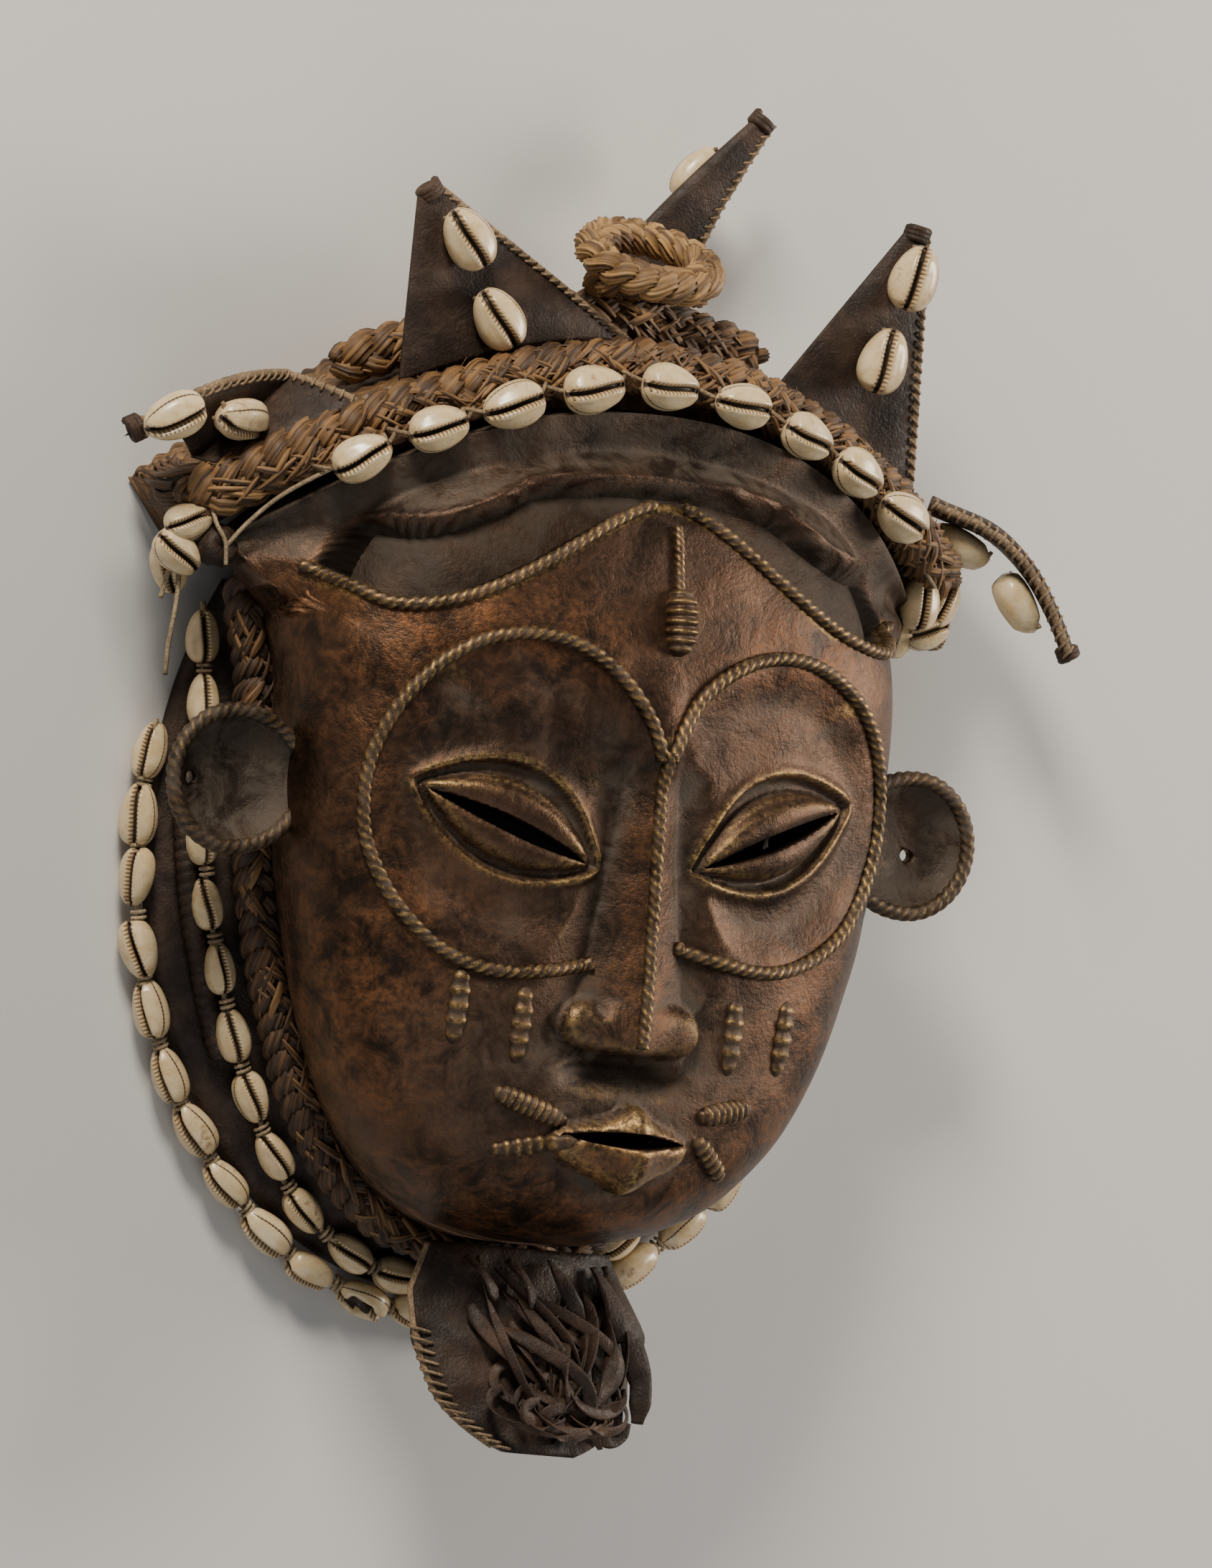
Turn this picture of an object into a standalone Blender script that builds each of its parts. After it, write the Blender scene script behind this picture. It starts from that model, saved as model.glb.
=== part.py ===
"""Bronze face mask with a raffia cap, leather horns, cowrie rows and a leather beard, lying on its back.

Every size is in millimetres and piece() turns it into metres. X runs to the right of the face, Y up the face
towards the crown, and Z out of the face. While it is modelled, the nose root stands over X = 0, Y = 0 and the
floor is Z = 0. stand_on_origin() then moves the whole mask, so that the origin is on the floor at its middle.
"""

import math

import bmesh
import bpy
import numpy as np

MM = 0.001
GAP = 0.3

# The bronze: an egg-shaped dome with a flat brow, open at the back
NOSE_ROOT_HEIGHT = 108.0
RIM_HEIGHT = 30.0
BRONZE_WALL = 4.0
FACE_HALF_WIDTH = 106.0
CHIN_DROP = 159.0
CROWN_RISE = 90.0
WIDEST_Y = 5.0
DOME_CENTRE_Y = -30.0
PLAN_POWER = 2.5
FRONT_BELOW_NOSE_ROOT = 6.0
SIDE_FALL = 0.0021
BROW_FALL = 0.0024
CHIN_FALL = 0.0003
DOME_POWER = 13.0
DOME_ROUNDING = 2.9
RIM_TUCK = 9.0
RIM_TUCK_MORE_AT_CHIN = 8.0
RIM_TUCK_CHIN_Y = -120.0
RIM_TUCK_HEIGHT = 42.0
RIM_TUCK_END_Y = 32.0

# The flaring band above the brow
FLANGE_HALF_WIDTH = 125.0
FLANGE_RISE = 97.0
FLANGE_FALL = 51.0
FLANGE_POWER = 2.1
FLANGE_EDGE_BELOW_NOSE_ROOT = 28.0
FLANGE_EDGE_FALL = 44.0
FLANGE_END_Y = 33.0
FLANGE_COVE = 4.0

# The raised ropes, cast in one with the face
ROPE_WIDTH = 5.2
ROPE_RELIEF = 3.0
HAIRLINE_RISE = 70.0
HAIRLINE_LOW = 31.5
HAIRLINE_LOW_X = 88.0
HAIRLINE_END_X = 107.0
HAIRLINE_END_LIFT = 9.0

# The rope-edged discs round the eyes
DISC_X = 45.5
DISC_Y = -24.5
DISC_HALF_WIDTH = 46.5
DISC_HALF_HEIGHT = 51.5
DISC_DISH = 3.0
DISC_OPENS_INSIDE_X = 15.0
DISC_OPENS_BELOW_Y = -69.0

# The eyes: an almond crease, two lids and a slit right through
EYE_X = 48.0
EYE_Y = -30.0
EYE_SLANT = math.radians(20)
CREASE_HALF_LENGTH = 34.2
CREASE_HALF_HEIGHT = 17.0
LID_HALF_LENGTH = 30.0
LID_HALF_HEIGHT = 11.0
LID_RELIEF = 6.0
SLIT_HALF_LENGTH = 25.0
SLIT_HALF_HEIGHT = 2.4

# The nose
NOSE_TIP_Y = -97.0
NOSE_ROOT_HALF_WIDTH = 9.0
NOSE_TIP_HALF_WIDTH = 20.0
NOSE_ROOT_RELIEF = 5.5
NOSE_TIP_RELIEF = 13.0
WING_X = 14.0
WING_Y = -89.5
WING_RADIUS = 10.0
WING_RELIEF = 10.5
NOSE_HOLLOW_HALF_WIDTH = 27.0
NOSE_HOLLOW_DEPTH = 5.5

# The mouth
MOUTH_X = 3.0
MOUTH_Y = -123.5
MOUTH_HALF_WIDTH = 23.5
UPPER_LIP_HEIGHT = 12.0
LOWER_LIP_HEIGHT = 14.0
LIP_RELIEF = 13.0
MOUTH_SLIT_HALF_WIDTH = 20.0
MOUTH_SLIT_HALF_HEIGHT = 2.4

# Small raised marks: forehead drop, cheek bars and ribbed marks beside the mouth
DROP_Y = 34.6
DROP_HALF_WIDTH = 5.3
DROP_HALF_HEIGHT = 9.0
DROP_RELIEF = 6.5
BAR_X = (38.0, 58.5)
BAR_Y = -87.5
BAR_HALF_WIDTH = 3.1
BAR_HALF_HEIGHT = 11.5
BAR_RELIEF = 2.8
MARK_X = 35.0
MARK_Y = (-111.0, -127.5)
MARK_HALF_LENGTH = 12.0
MARK_HALF_HEIGHT = 3.6
MARK_RELIEF = 4.0

# The ears: shallow dishes that face forwards
EAR_BEYOND_FACE = 16.5
EAR_X = FACE_HALF_WIDTH + EAR_BEYOND_FACE
EAR_Y = -26.0
EAR_BELOW_NOSE_ROOT = 56.0
EAR_RADIUS = 22.0
EAR_DISH = 7.0
EAR_WALL = 4.5
EAR_ROPE = 2.4
EAR_ROOT_STRETCH = 1.2
EAR_HOLE_OUT = 8.5
EAR_HOLE_RADIUS = 2.2
EAR_SIDES = 18

# How finely the bronze is worked out, and how many triangles of it are kept
INNER_CELLS = 44
RIM_SPLIT = 3
GRID_CELLS = RIM_SPLIT * INNER_CELLS
BRONZE_TRIANGLES = 3200

# The raffia braids
BRAID_WAVE = 21.0
BRAID_SWELL = 1.2
SIDE_BRAID_WIDTH = 6.0
SIDE_BRAID_HEIGHT = 5.8
SIDE_BRAID_OUT = 3.0
BRIM_BRAID_RADIUS = 7.6
BRIM_BEYOND_FLANGE_END = 12.0
BRIM_BEYOND_FLANGE = 14.0
BRIM_EXTRA_FALL = 5.0
BRIM_HALF_WIDTH = FLANGE_HALF_WIDTH + BRIM_BEYOND_FLANGE_END
BRIM_RISE = FLANGE_RISE + BRIM_BEYOND_FLANGE
BRIM_FALL = FLANGE_FALL + BRIM_EXTRA_FALL
BRIM_POWER = 1.8
BRIM_BELOW_NOSE_ROOT = 38.0
BRIM_END_DROP = 37.0
CROWN_BRAID_RADIUS = 6.5
CROWN_BRAID_OUT = 15.5
CROWN_BRAID_FROM_X = -84.0
CROWN_BRAID_TO_X = 50.0

# The strings of cowries on the collar
ROW_PITCH = 20.5
ROW_NECK = 1.5
INNER_ROW_RADIUS = 5.4
OUTER_ROW_RADIUS = 6.0
CLUSTER_RADIUS = 6.5

# The leather collar behind the rim, from temple to temple under the chin
COLLAR_LOAD = SIDE_BRAID_OUT + BRAID_SWELL * SIDE_BRAID_WIDTH + 2 * INNER_ROW_RADIUS
COLLAR_SIDE_SPARE = 2.0
COLLAR_CHIN_SPARE = -2.0
COLLAR_CENTRE_Y = -40.0
COLLAR_HALF_WIDTH = FACE_HALF_WIDTH - RIM_TUCK + COLLAR_LOAD + COLLAR_SIDE_SPARE
COLLAR_HALF_HEIGHT = CHIN_DROP + COLLAR_CENTRE_Y + COLLAR_LOAD + COLLAR_CHIN_SPARE
COLLAR_TOP_Y = 34.0
COLLAR_UNDER_RIM = 4.0
COLLAR_INNER_HEIGHT = 17.4
COLLAR_THICKNESS = 5.0
COLLAR_FOOT = 9.0
COLLAR_SECTIONS = 36

# The raffia cap: coils laid round the crown, from the bronze's flange down to the floor
CAP_CLEARANCE = 0.8
CAP_END_THICKNESS = 11.0
CAP_CROWN_THICKNESS = 27.0
CAP_COILS = 3
CAP_COIL_DEPTH = 2.5
CAP_STEP = 1.0
CAP_SECTIONS = 16

# The ring of braid on the crown
KNOT_X = 2.0
KNOT_HALF_WIDTH = 18.5
KNOT_HALF_DEPTH = 12.0
KNOT_BRAID_RADIUS = 7.5
KNOT_BELOW_NOSE_ROOT = 47.0
KNOT_SECTIONS = 16
KNOT_SIDES = 6

# The leather horns
HORN_THICKNESS = 6.0
HORN_TIP_HALF_WIDTH = 3.5

# Horns that lie on the cap's shoulder: base middle X, half the base and drop, then middle of base to tip
LEFT_HORN_BASE = (-38.0, 38.0, 2.0)
LEFT_HORN_RISE = (-36.0, 45.0, 0.0)
RIGHT_HORN_BASE = (81.0, 26.0, 8.0)
RIGHT_HORN_RISE = (16.6, 65.6, 6.0)

# Horns that stand beside the braid: where, its distance out and up from the braid, and half the base
BACK_HORN_X = 15.0
BACK_HORN_BASE = (-47.8, (-17.0, 1.5, 0.0))
BACK_HORN_RISE = (40.0, 64.8, 8.0)
BACK_HORN_BOW = (-3.0, 0.0, 0.0)
FAR_LEFT_HORN_INSIDE_BRIM = 24.4
FAR_LEFT_HORN_BASE = (14.5, -15.8, (14.0, 14.0, 2.0))
FAR_LEFT_HORN_RISE = (-42.1, -7.9, 8.4)
FAR_LEFT_HORN_BOW = (0.0, 5.0, 6.0)
FAR_RIGHT_HORN_INSIDE_BRIM = 15.2
FAR_RIGHT_HORN_BASE = (16.7, -11.8, (8.0, 0.0, -13.0))
FAR_RIGHT_HORN_RISE = (48.0, -42.0, 13.0)
FAR_RIGHT_HORN_BOW = (6.0, 8.0, 0.0)

# Cowries
COWRIE_HALF_LENGTH = 10.0
COWRIE_HALF_WIDTH = 7.2
COWRIE_HALF_HEIGHT = 5.4
HORN_COWRIE_SCALE = 1.04

# The two cowries of each horn: share of its height, and how far from its middle towards its second edge
HORN_COWRIE_PLACES = ((0.22, 0.0), (0.7, 0.0))
LEFT_HORN_COWRIE_PLACES = ((0.2, -0.13), (0.69, 0.0))
RIGHT_HORN_COWRIE_PLACES = ((0.39, 0.0), (0.79, 0.0))
FAR_LEFT_HORN_COWRIE_PLACES = ((0.29, 0.1), (0.78, 0.0))

COWRIE_GROOVE = 1.8
BRIM_COWRIE_X = (-96.0, -75.0, -53.0, -27.0, 0.0, 27.0, 53.0, 75.0, 96.0)
BRIM_COWRIE_LEAN = 0.4

# The leather beard
BEARD_HALF_WIDTH = 39.0
BEARD_LENGTH = 62.0
BEARD_THICKNESS = 4.0
BEARD_TOP_BELOW_NOSE_ROOT = 54.0
BEARD_FRONT_BELOW_NOSE_ROOT = 36.0
BEARD_TOP_SHARE = 0.82
BEARD_TAPER = 0.9
BEARD_CURL = 1.4
BEARD_SIDE_SAG = 9.0
THONG_MASS_X = 3.0
THONG_MASS_TOP = 8.0
THONG_MASS_HALF_WIDTH = 30.0
THONG_MASS_LENGTH = 52.0
THONG_MASS_THICKNESS = 9.0
THONG_RIPPLE = 0.22

# Finishes: colour, roughness and metallic value
BRONZE = ("bronze", (0.105, 0.062, 0.036), 0.42, 0.9)
RAFFIA = ("raffia", (0.34, 0.19, 0.08), 0.75, 0.0)
LEATHER = ("leather", (0.055, 0.032, 0.022), 0.6, 0.0)
SHELL = ("shell", (0.74, 0.64, 0.47), 0.28, 0.0)


def unit(vectors):
    """Vectors along the last axis brought to length one."""
    vectors = np.asarray(vectors, float)
    return vectors / np.maximum(np.linalg.norm(vectors, axis=-1, keepdims=True), 1e-9)


def smooth_step(share):
    """A rise from 0 to 1 with flat ends, as share goes from 0 to 1."""
    share = np.clip(share, 0.0, 1.0)
    return share * share * (3.0 - 2.0 * share)


def finish_material(finish):
    """The Principled material of a finish, made once."""
    name, colour, roughness, metallic = finish
    found = bpy.data.materials.get(name)
    if found:
        return found
    made = bpy.data.materials.new(name)
    made.use_nodes = True
    made.diffuse_color = (*colour, 1.0)
    shader = made.node_tree.nodes["Principled BSDF"]
    shader.inputs["Base Color"].default_value = (*colour, 1.0)
    shader.inputs["Roughness"].default_value = roughness
    shader.inputs["Metallic"].default_value = metallic
    return made


def piece(name, points, faces, finish):
    """An object from points in millimetres, with its faces turned outwards."""
    mesh = bpy.data.meshes.new(name)
    mesh.from_pydata([tuple(point) for point in np.asarray(points, float) * MM], [], faces)
    work = bmesh.new()
    work.from_mesh(mesh)
    bmesh.ops.recalc_face_normals(work, faces=work.faces)
    bmesh.ops.triangulate(work, faces=[face for face in work.faces if len(face.verts) > 4])
    work.to_mesh(mesh)
    work.free()
    mesh.shade_smooth()
    mesh.set_sharp_from_angle(angle=math.radians(50))
    made = bpy.data.objects.new(name, mesh)
    made.data.materials.append(finish_material(finish))
    bpy.context.scene.collection.objects.link(made)
    return made


def loft_faces(rings, sides, first=0, loop=False):
    """Faces of a tube through rings of points, closed at both ends or joined to itself in a loop."""
    faces = []
    for ring in range(rings if loop else rings - 1):
        start = first + ring * sides
        after = first + (ring + 1) % rings * sides
        for side in range(sides):
            turn = (side + 1) % sides
            faces.append((start + side, start + turn, after + turn, after + side))
    if not loop:
        faces.append(tuple(first + side for side in range(sides)))
        faces.append(tuple(first + (rings - 1) * sides + side for side in range(sides)))
    return faces


def loft(name, rings, finish, loop=False):
    """A closed solid through rings of points, an array of ring by side by X, Y, Z."""
    rings = np.asarray(rings, float)
    return piece(name, rings.reshape(-1, 3), loft_faces(*rings.shape[:2], loop=loop), finish)


def path_axes(path, up):
    """The directions across and above a path at each of its points."""
    along = unit(np.gradient(path, axis=0))
    across = unit(np.cross(along, up))
    return across, unit(np.cross(across, along))


def tube_rings(path, half_width, half_height, sides, up):
    """Rings of a tube round a path. The half sizes may change along it."""
    across, above = path_axes(path, up)
    turn = (np.arange(sides) + 0.5) * 2 * math.pi / sides
    wide = np.broadcast_to(half_width, len(path))[:, None, None] * np.cos(turn)[None, :, None]
    high = np.broadcast_to(half_height, len(path))[:, None, None] * np.sin(turn)[None, :, None]
    return path[:, None, :] + wide * across[:, None, :] + high * above[:, None, :]


def evenly(path, count):
    """The same route with points at equal distances."""
    run = np.concatenate([[0.0], np.cumsum(np.linalg.norm(np.diff(path, axis=0), axis=1))])
    wanted = np.linspace(0.0, run[-1], count)
    return np.stack([np.interp(wanted, run, path[:, axis]) for axis in range(3)], axis=1)


def length_of(path):
    return float(np.linalg.norm(np.diff(path, axis=0), axis=1).sum())


def braid(name, path, half_width, half_height, up, sides=6):
    """A plait along a path: its strands show as lumps that swing from side to side."""
    waves = max(2, round(length_of(path) / BRAID_WAVE))
    path = evenly(path, 3 * waves + 1)
    phase = np.arange(len(path)) * 2 * math.pi / 3
    across, _ = path_axes(path, up)
    path = path + across * (0.1 * half_width * np.cos(phase))[:, None]
    lump = 1.0 + 0.1 * np.sin(phase)
    ends = np.ones(len(path))
    ends[[0, -1]] = 0.55
    return loft(name, tube_rings(path, half_width * lump * ends, half_height * ends, sides, up), RAFFIA)


def egg_share(x, y, inset=0.0):
    """0 at the widest line's middle and 1 on the egg outline of the dome, drawn in by inset."""
    reach = np.where(y < WIDEST_Y, WIDEST_Y + CHIN_DROP, CROWN_RISE - WIDEST_Y) - inset
    across = np.abs(x) / (FACE_HALF_WIDTH - inset)
    along = np.abs(y - WIDEST_Y) / reach
    return (across**PLAN_POWER + along**PLAN_POWER) ** (1 / PLAN_POWER)


def tucked(x, y, z):
    """The dome's sides drawn in towards the back rim."""
    low = (1 - (z - RIM_HEIGHT) / RIM_TUCK_HEIGHT).clip(0, 1) ** 2
    tuck = RIM_TUCK + RIM_TUCK_MORE_AT_CHIN * smooth_step(y / RIM_TUCK_CHIN_Y)
    return x * (1 - tuck / FACE_HALF_WIDTH * low * smooth_step((RIM_TUCK_END_Y - y) / RIM_TUCK_END_Y))


def egg_half(inset=0.0):
    """Points of the egg outline's right half, from chin to crown."""
    turn = np.linspace(-math.pi / 2, math.pi / 2, 121)
    reach = np.where(turn < 0, WIDEST_Y + CHIN_DROP, CROWN_RISE - WIDEST_Y) - inset
    x = (FACE_HALF_WIDTH - inset) * np.cos(turn).clip(0) ** (2 / PLAN_POWER)
    y = WIDEST_Y + reach * np.sign(turn) * np.abs(np.sin(turn)) ** (2 / PLAN_POWER)
    return x, y


def flange_rise(x):
    """How far up the face the flange's edge is."""
    return FLANGE_RISE - FLANGE_FALL * (np.abs(x) / FLANGE_HALF_WIDTH) ** FLANGE_POWER


def flange_height(x):
    """How high over the floor the flange's edge is."""
    fall = FLANGE_EDGE_FALL * (np.abs(x) / FLANGE_HALF_WIDTH) ** 3
    return NOSE_ROOT_HEIGHT - FLANGE_EDGE_BELOW_NOSE_ROOT - fall


def bronze_half():
    """Points of the whole casting's outline on the right: the egg up to the temple, then the flange."""
    x, y = egg_half()
    below = y < FLANGE_END_Y - 5.0
    edge = np.linspace(FLANGE_HALF_WIDTH, 0.0, 60)
    return np.append(x[below], edge), np.append(y[below], flange_rise(edge))


def reach_of(half_outline, direction):
    """Distance from the dome's centre to an outline in the given directions."""
    x, y = half_outline
    angles = np.arctan2(y - DOME_CENTRE_Y, x)
    order = np.argsort(angles)
    even = np.linspace(-math.pi / 2, math.pi / 2, 361)
    radii = np.interp(even, angles[order], np.hypot(x, y - DOME_CENTRE_Y)[order])
    kernel = np.ones(5) / 5
    rounded = np.convolve(np.pad(radii, 2, mode="reflect"), kernel, mode="valid")
    return np.interp(np.arcsin(np.sin(direction)), even, rounded)


def disc_grid(cells):
    """Directions and shares of the radius of a square grid wrapped into a disc."""
    side = np.linspace(-1.0, 1.0, cells + 1)
    s, t = np.meshgrid(side, side)
    wide = np.abs(s) >= np.abs(t)
    over_s = np.where(s == 0, 1.0, s)
    over_t = np.where(t == 0, 1.0, t)
    eighth = math.pi / 4
    angle = np.where(wide, eighth * t / over_s, 2 * eighth - eighth * s / over_t)
    angle = angle + np.where(wide, s < 0, t < 0) * math.pi
    return angle, np.maximum(np.abs(s), np.abs(t))


def wrapped_share(share):
    """Radius shares that put the grid's rings at even distances over the dome and down its wall."""
    radius = np.linspace(0.0, 1.0, 2001)
    dome = 0.5 * (1 - radius**DOME_POWER) ** (1 / DOME_ROUNDING)
    run = np.concatenate([[0.0], np.cumsum(np.hypot(np.diff(radius), np.diff(dome)))])
    return np.interp(share * run[-1], run, radius)


def front_height(x, y):
    """The gently crowned front of the face."""
    fall = SIDE_FALL * x**2 + BROW_FALL * y.clip(0) ** 2 + CHIN_FALL * y.clip(None, 0) ** 2
    return NOSE_ROOT_HEIGHT - FRONT_BELOW_NOSE_ROOT - fall


def dome_height(x, y, inset=0.0):
    """The dome over the floor, drawn in by inset for its inner side."""
    edge = 1 - egg_share(x, y, inset).clip(0, 1) ** DOME_POWER
    return RIM_HEIGHT + (front_height(x, y) - inset - RIM_HEIGHT) * edge ** (1 / DOME_ROUNDING)


def hairline(x):
    """The rope under the hair: from the middle down to the temple, then up to its end."""
    low = smooth_step(np.abs(x) / HAIRLINE_LOW_X) ** 0.8
    lift = smooth_step((np.abs(x) - HAIRLINE_LOW_X) / (HAIRLINE_END_X - HAIRLINE_LOW_X))
    return HAIRLINE_RISE - (HAIRLINE_RISE - HAIRLINE_LOW) * low + HAIRLINE_END_LIFT * lift


def flange_surface(x, y):
    """The coved band between the hair and the flange's edge."""
    band = (y - hairline(x)) / np.maximum(flange_rise(x) - hairline(x), 1.0)
    cove = FLANGE_COVE * np.sin(math.pi * band.clip(0, 1)) ** 2
    below_end = smooth_step((FLANGE_END_Y - y) / 15.0)
    return flange_height(x) - cove - RIM_HEIGHT * below_end


def base_height(x, y):
    """Dome and flange as one smooth surface."""
    dome = dome_height(x, y)
    flange = flange_surface(x, y)
    return 0.5 * (dome + flange + np.sqrt((dome - flange) ** 2 + 4.0)) - 0.5


def ridge(distance, half_width, relief):
    """A round ridge where distance is from its middle line."""
    return relief * np.sqrt(np.clip(1 - (distance / half_width) ** 2, 0, 1))


def mound(x, y, half_width, half_height, relief, power=2.0):
    """A rounded hill on an oval."""
    share = (np.abs(x / half_width) ** power + np.abs(y / half_height) ** power).clip(0, 1)
    return relief * np.sqrt(1 - share)


def lens(across, half_length, half_height):
    """Half the height of an almond at a distance across it."""
    return half_height * (1 - (across / half_length) ** 2).clip(0, 1)


def eye_axes(x, y):
    """Position along and above the slanted eye on its own side."""
    x = np.abs(x) - EYE_X
    y = y - EYE_Y
    cos, sin = math.cos(EYE_SLANT), math.sin(EYE_SLANT)
    return x * cos + y * sin, y * cos - x * sin


def ropes(x, y):
    """Raised ropes: round the discs, down the nose and under the hair."""
    half = ROPE_WIDTH / 2
    side = np.abs(x)
    disc = np.hypot((side - DISC_X) / DISC_HALF_WIDTH, (y - DISC_Y) / DISC_HALF_HEIGHT)
    open_side = (side < DISC_OPENS_INSIDE_X) & (y > DISC_OPENS_BELOW_Y) & (y < 0)
    disc_rope = np.where(open_side, 0.0, ridge((disc - 1) * DISC_HALF_WIDTH, half, ROPE_RELIEF))
    nose_rope = np.where((y < 2) & (y > NOSE_TIP_Y), ridge(x, half, ROPE_RELIEF), 0.0)
    slope = (hairline(x + 1.0) - hairline(x - 1.0)) / 2
    hair = ridge((y - hairline(x)) / np.hypot(1, slope), half, ROPE_RELIEF)
    hair_rope = np.where(side < HAIRLINE_END_X, hair, 0.0)
    drop_rope = np.where((y > DROP_Y) & (y < HAIRLINE_RISE), ridge(x, half * 0.7, ROPE_RELIEF * 0.7), 0.0)
    return np.maximum.reduce([disc_rope, nose_rope, hair_rope, drop_rope])


def eyes(x, y):
    """The crease round each eye and its two swelling lids."""
    across, above = eye_axes(x, y)
    crease = lens(across, CREASE_HALF_LENGTH, CREASE_HALF_HEIGHT)
    rim = ridge(np.abs(above) - crease, 2.2, 2.0) * (np.abs(across) < CREASE_HALF_LENGTH)
    lid = lens(across, LID_HALF_LENGTH, LID_HALF_HEIGHT)
    swell = LID_RELIEF * np.sqrt(np.clip(1 - (above / np.maximum(lid, 0.1)) ** 2, 0, 1))
    swell = swell * (np.abs(across) < LID_HALF_LENGTH) * (lid / LID_HALF_HEIGHT) ** 0.5
    return np.maximum(rim, swell)


def nose(x, y):
    """The narrow wedge of the nose and its wings, cut off below the tip."""
    down = (y / NOSE_TIP_Y).clip(0, 1)
    half = NOSE_ROOT_HALF_WIDTH + (NOSE_TIP_HALF_WIDTH - NOSE_ROOT_HALF_WIDTH) * down
    relief = NOSE_ROOT_RELIEF + (NOSE_TIP_RELIEF - NOSE_ROOT_RELIEF) * down**1.6
    wedge = relief * (1 - np.abs(x) / half).clip(0, 1)
    wings = mound(np.abs(x) - WING_X, y - WING_Y, WING_RADIUS, WING_RADIUS * 0.85, WING_RELIEF)
    body = np.cbrt(wedge**3 + wings**3)
    return body * smooth_step((y - NOSE_TIP_Y + 2.5) / 4.0) * smooth_step((12 - y) / 16.0)


def mouth(x, y):
    """Two lips that come forward to a blunt beak at the middle."""
    side = (1 - np.abs(x - MOUTH_X) / MOUTH_HALF_WIDTH).clip(0, 1)
    above = y - MOUTH_Y
    full = np.where(above > 0, UPPER_LIP_HEIGHT, LOWER_LIP_HEIGHT) * side**0.6
    swell = np.sqrt(np.clip(1 - (above / np.maximum(full, 0.1)) ** 2, 0, 1))
    return LIP_RELIEF * side**0.5 * swell * (side > 0)


def small_marks(x, y):
    """The forehead drop, the cheek bars and the ribbed marks beside the mouth."""
    marks = [mound(x, y - DROP_Y, DROP_HALF_WIDTH, DROP_HALF_HEIGHT, DROP_RELIEF)]
    for bar in BAR_X:
        marks.append(mound(np.abs(x) - bar, y - BAR_Y, BAR_HALF_WIDTH, BAR_HALF_HEIGHT, BAR_RELIEF, 4.0))
    for mark in MARK_Y:
        marks.append(mound(np.abs(x) - MARK_X, y - mark, MARK_HALF_LENGTH, MARK_HALF_HEIGHT, MARK_RELIEF))
    return np.maximum.reduce(marks)


def recesses(x, y):
    """Depths of the hollows: dished discs, hair leaves and the hollow under the nose."""
    disc = np.hypot((np.abs(x) - DISC_X) / DISC_HALF_WIDTH, (y - DISC_Y) / DISC_HALF_HEIGHT)
    dish = DISC_DISH * smooth_step((1 - disc) * 3)
    under_nose = 6.0 * np.exp(-((x / 20.0) ** 4) - ((y - NOSE_TIP_Y + 7.0) / 4.5) ** 2)
    beside_nose = smooth_step((6.0 - y) / 24.0) * smooth_step((y - NOSE_TIP_Y + 10.0) / 10.0)
    beside_nose = NOSE_HOLLOW_DEPTH * beside_nose * np.exp(-((x / NOSE_HOLLOW_HALF_WIDTH) ** 4))
    hair = 4.0 * smooth_step((y - hairline(x)) / 5.0) * smooth_step((hairline(x) + 20.0 - y) / 10.0)
    return np.maximum.reduce([dish, under_nose, beside_nose, hair * (np.abs(x) < HAIRLINE_END_X)])


def relief(x, y):
    """All carving over the base surface, raised and hollowed."""
    raised = np.maximum.reduce([nose(x, y), eyes(x, y), mouth(x, y), small_marks(x, y)])
    fade = smooth_step((1.0 - egg_share(x, y)) / 0.05) * (y < FLANGE_RISE)
    return (np.maximum(raised, 0.35 * raised + ropes(x, y)) - recesses(x, y)) * fade


def grid_faces(cells, first, flip):
    """Quads of a square grid of points."""
    faces = []
    for row in range(cells):
        for column in range(cells):
            corner = first + row * (cells + 1) + column
            quad = (corner, corner + 1, corner + cells + 2, corner + cells + 1)
            faces.append(quad[::-1] if flip else quad)
    return faces


def outer_skin():
    """Grid points of the carved outside."""
    angle, share = disc_grid(GRID_CELLS)
    reach = reach_of(bronze_half(), angle) * wrapped_share(share)
    x = reach * np.cos(angle)
    y = DOME_CENTRE_Y + reach * np.sin(angle)
    z = np.where(share >= 1.0, RIM_HEIGHT, base_height(x, y))
    points = np.stack([tucked(x, y, z), y, z], axis=-1)
    normal = unit(np.cross(np.gradient(points, axis=1), np.gradient(points, axis=0)))
    raised = np.where(share < 1.0, relief(x, y), 0.0)
    return (points + normal * raised[..., None]).reshape(-1, 3)


def inner_skin():
    """Grid points of the smooth inside, one wall in from the outside."""
    angle, share = disc_grid(INNER_CELLS)
    reach = reach_of(egg_half(BRONZE_WALL), angle) * wrapped_share(share)
    x = reach * np.cos(angle)
    y = DOME_CENTRE_Y + reach * np.sin(angle)
    sunk = recesses(x, y) * smooth_step((1.0 - share) / 0.3)
    z = np.where(share >= 1.0, RIM_HEIGHT, dome_height(x, y, BRONZE_WALL) - sunk)
    return np.stack([tucked(x, y, z), y, z], axis=-1).reshape(-1, 3)


def border(cells, first):
    """Point numbers round a square grid's border, starting at its first corner."""
    wide = cells + 1
    near = [first + column for column in range(cells)]
    right = [first + row * wide + cells for row in range(cells)]
    far = [first + cells * wide + column for column in range(cells, 0, -1)]
    left = [first + row * wide for row in range(cells, 0, -1)]
    return near + right + far + left


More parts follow.
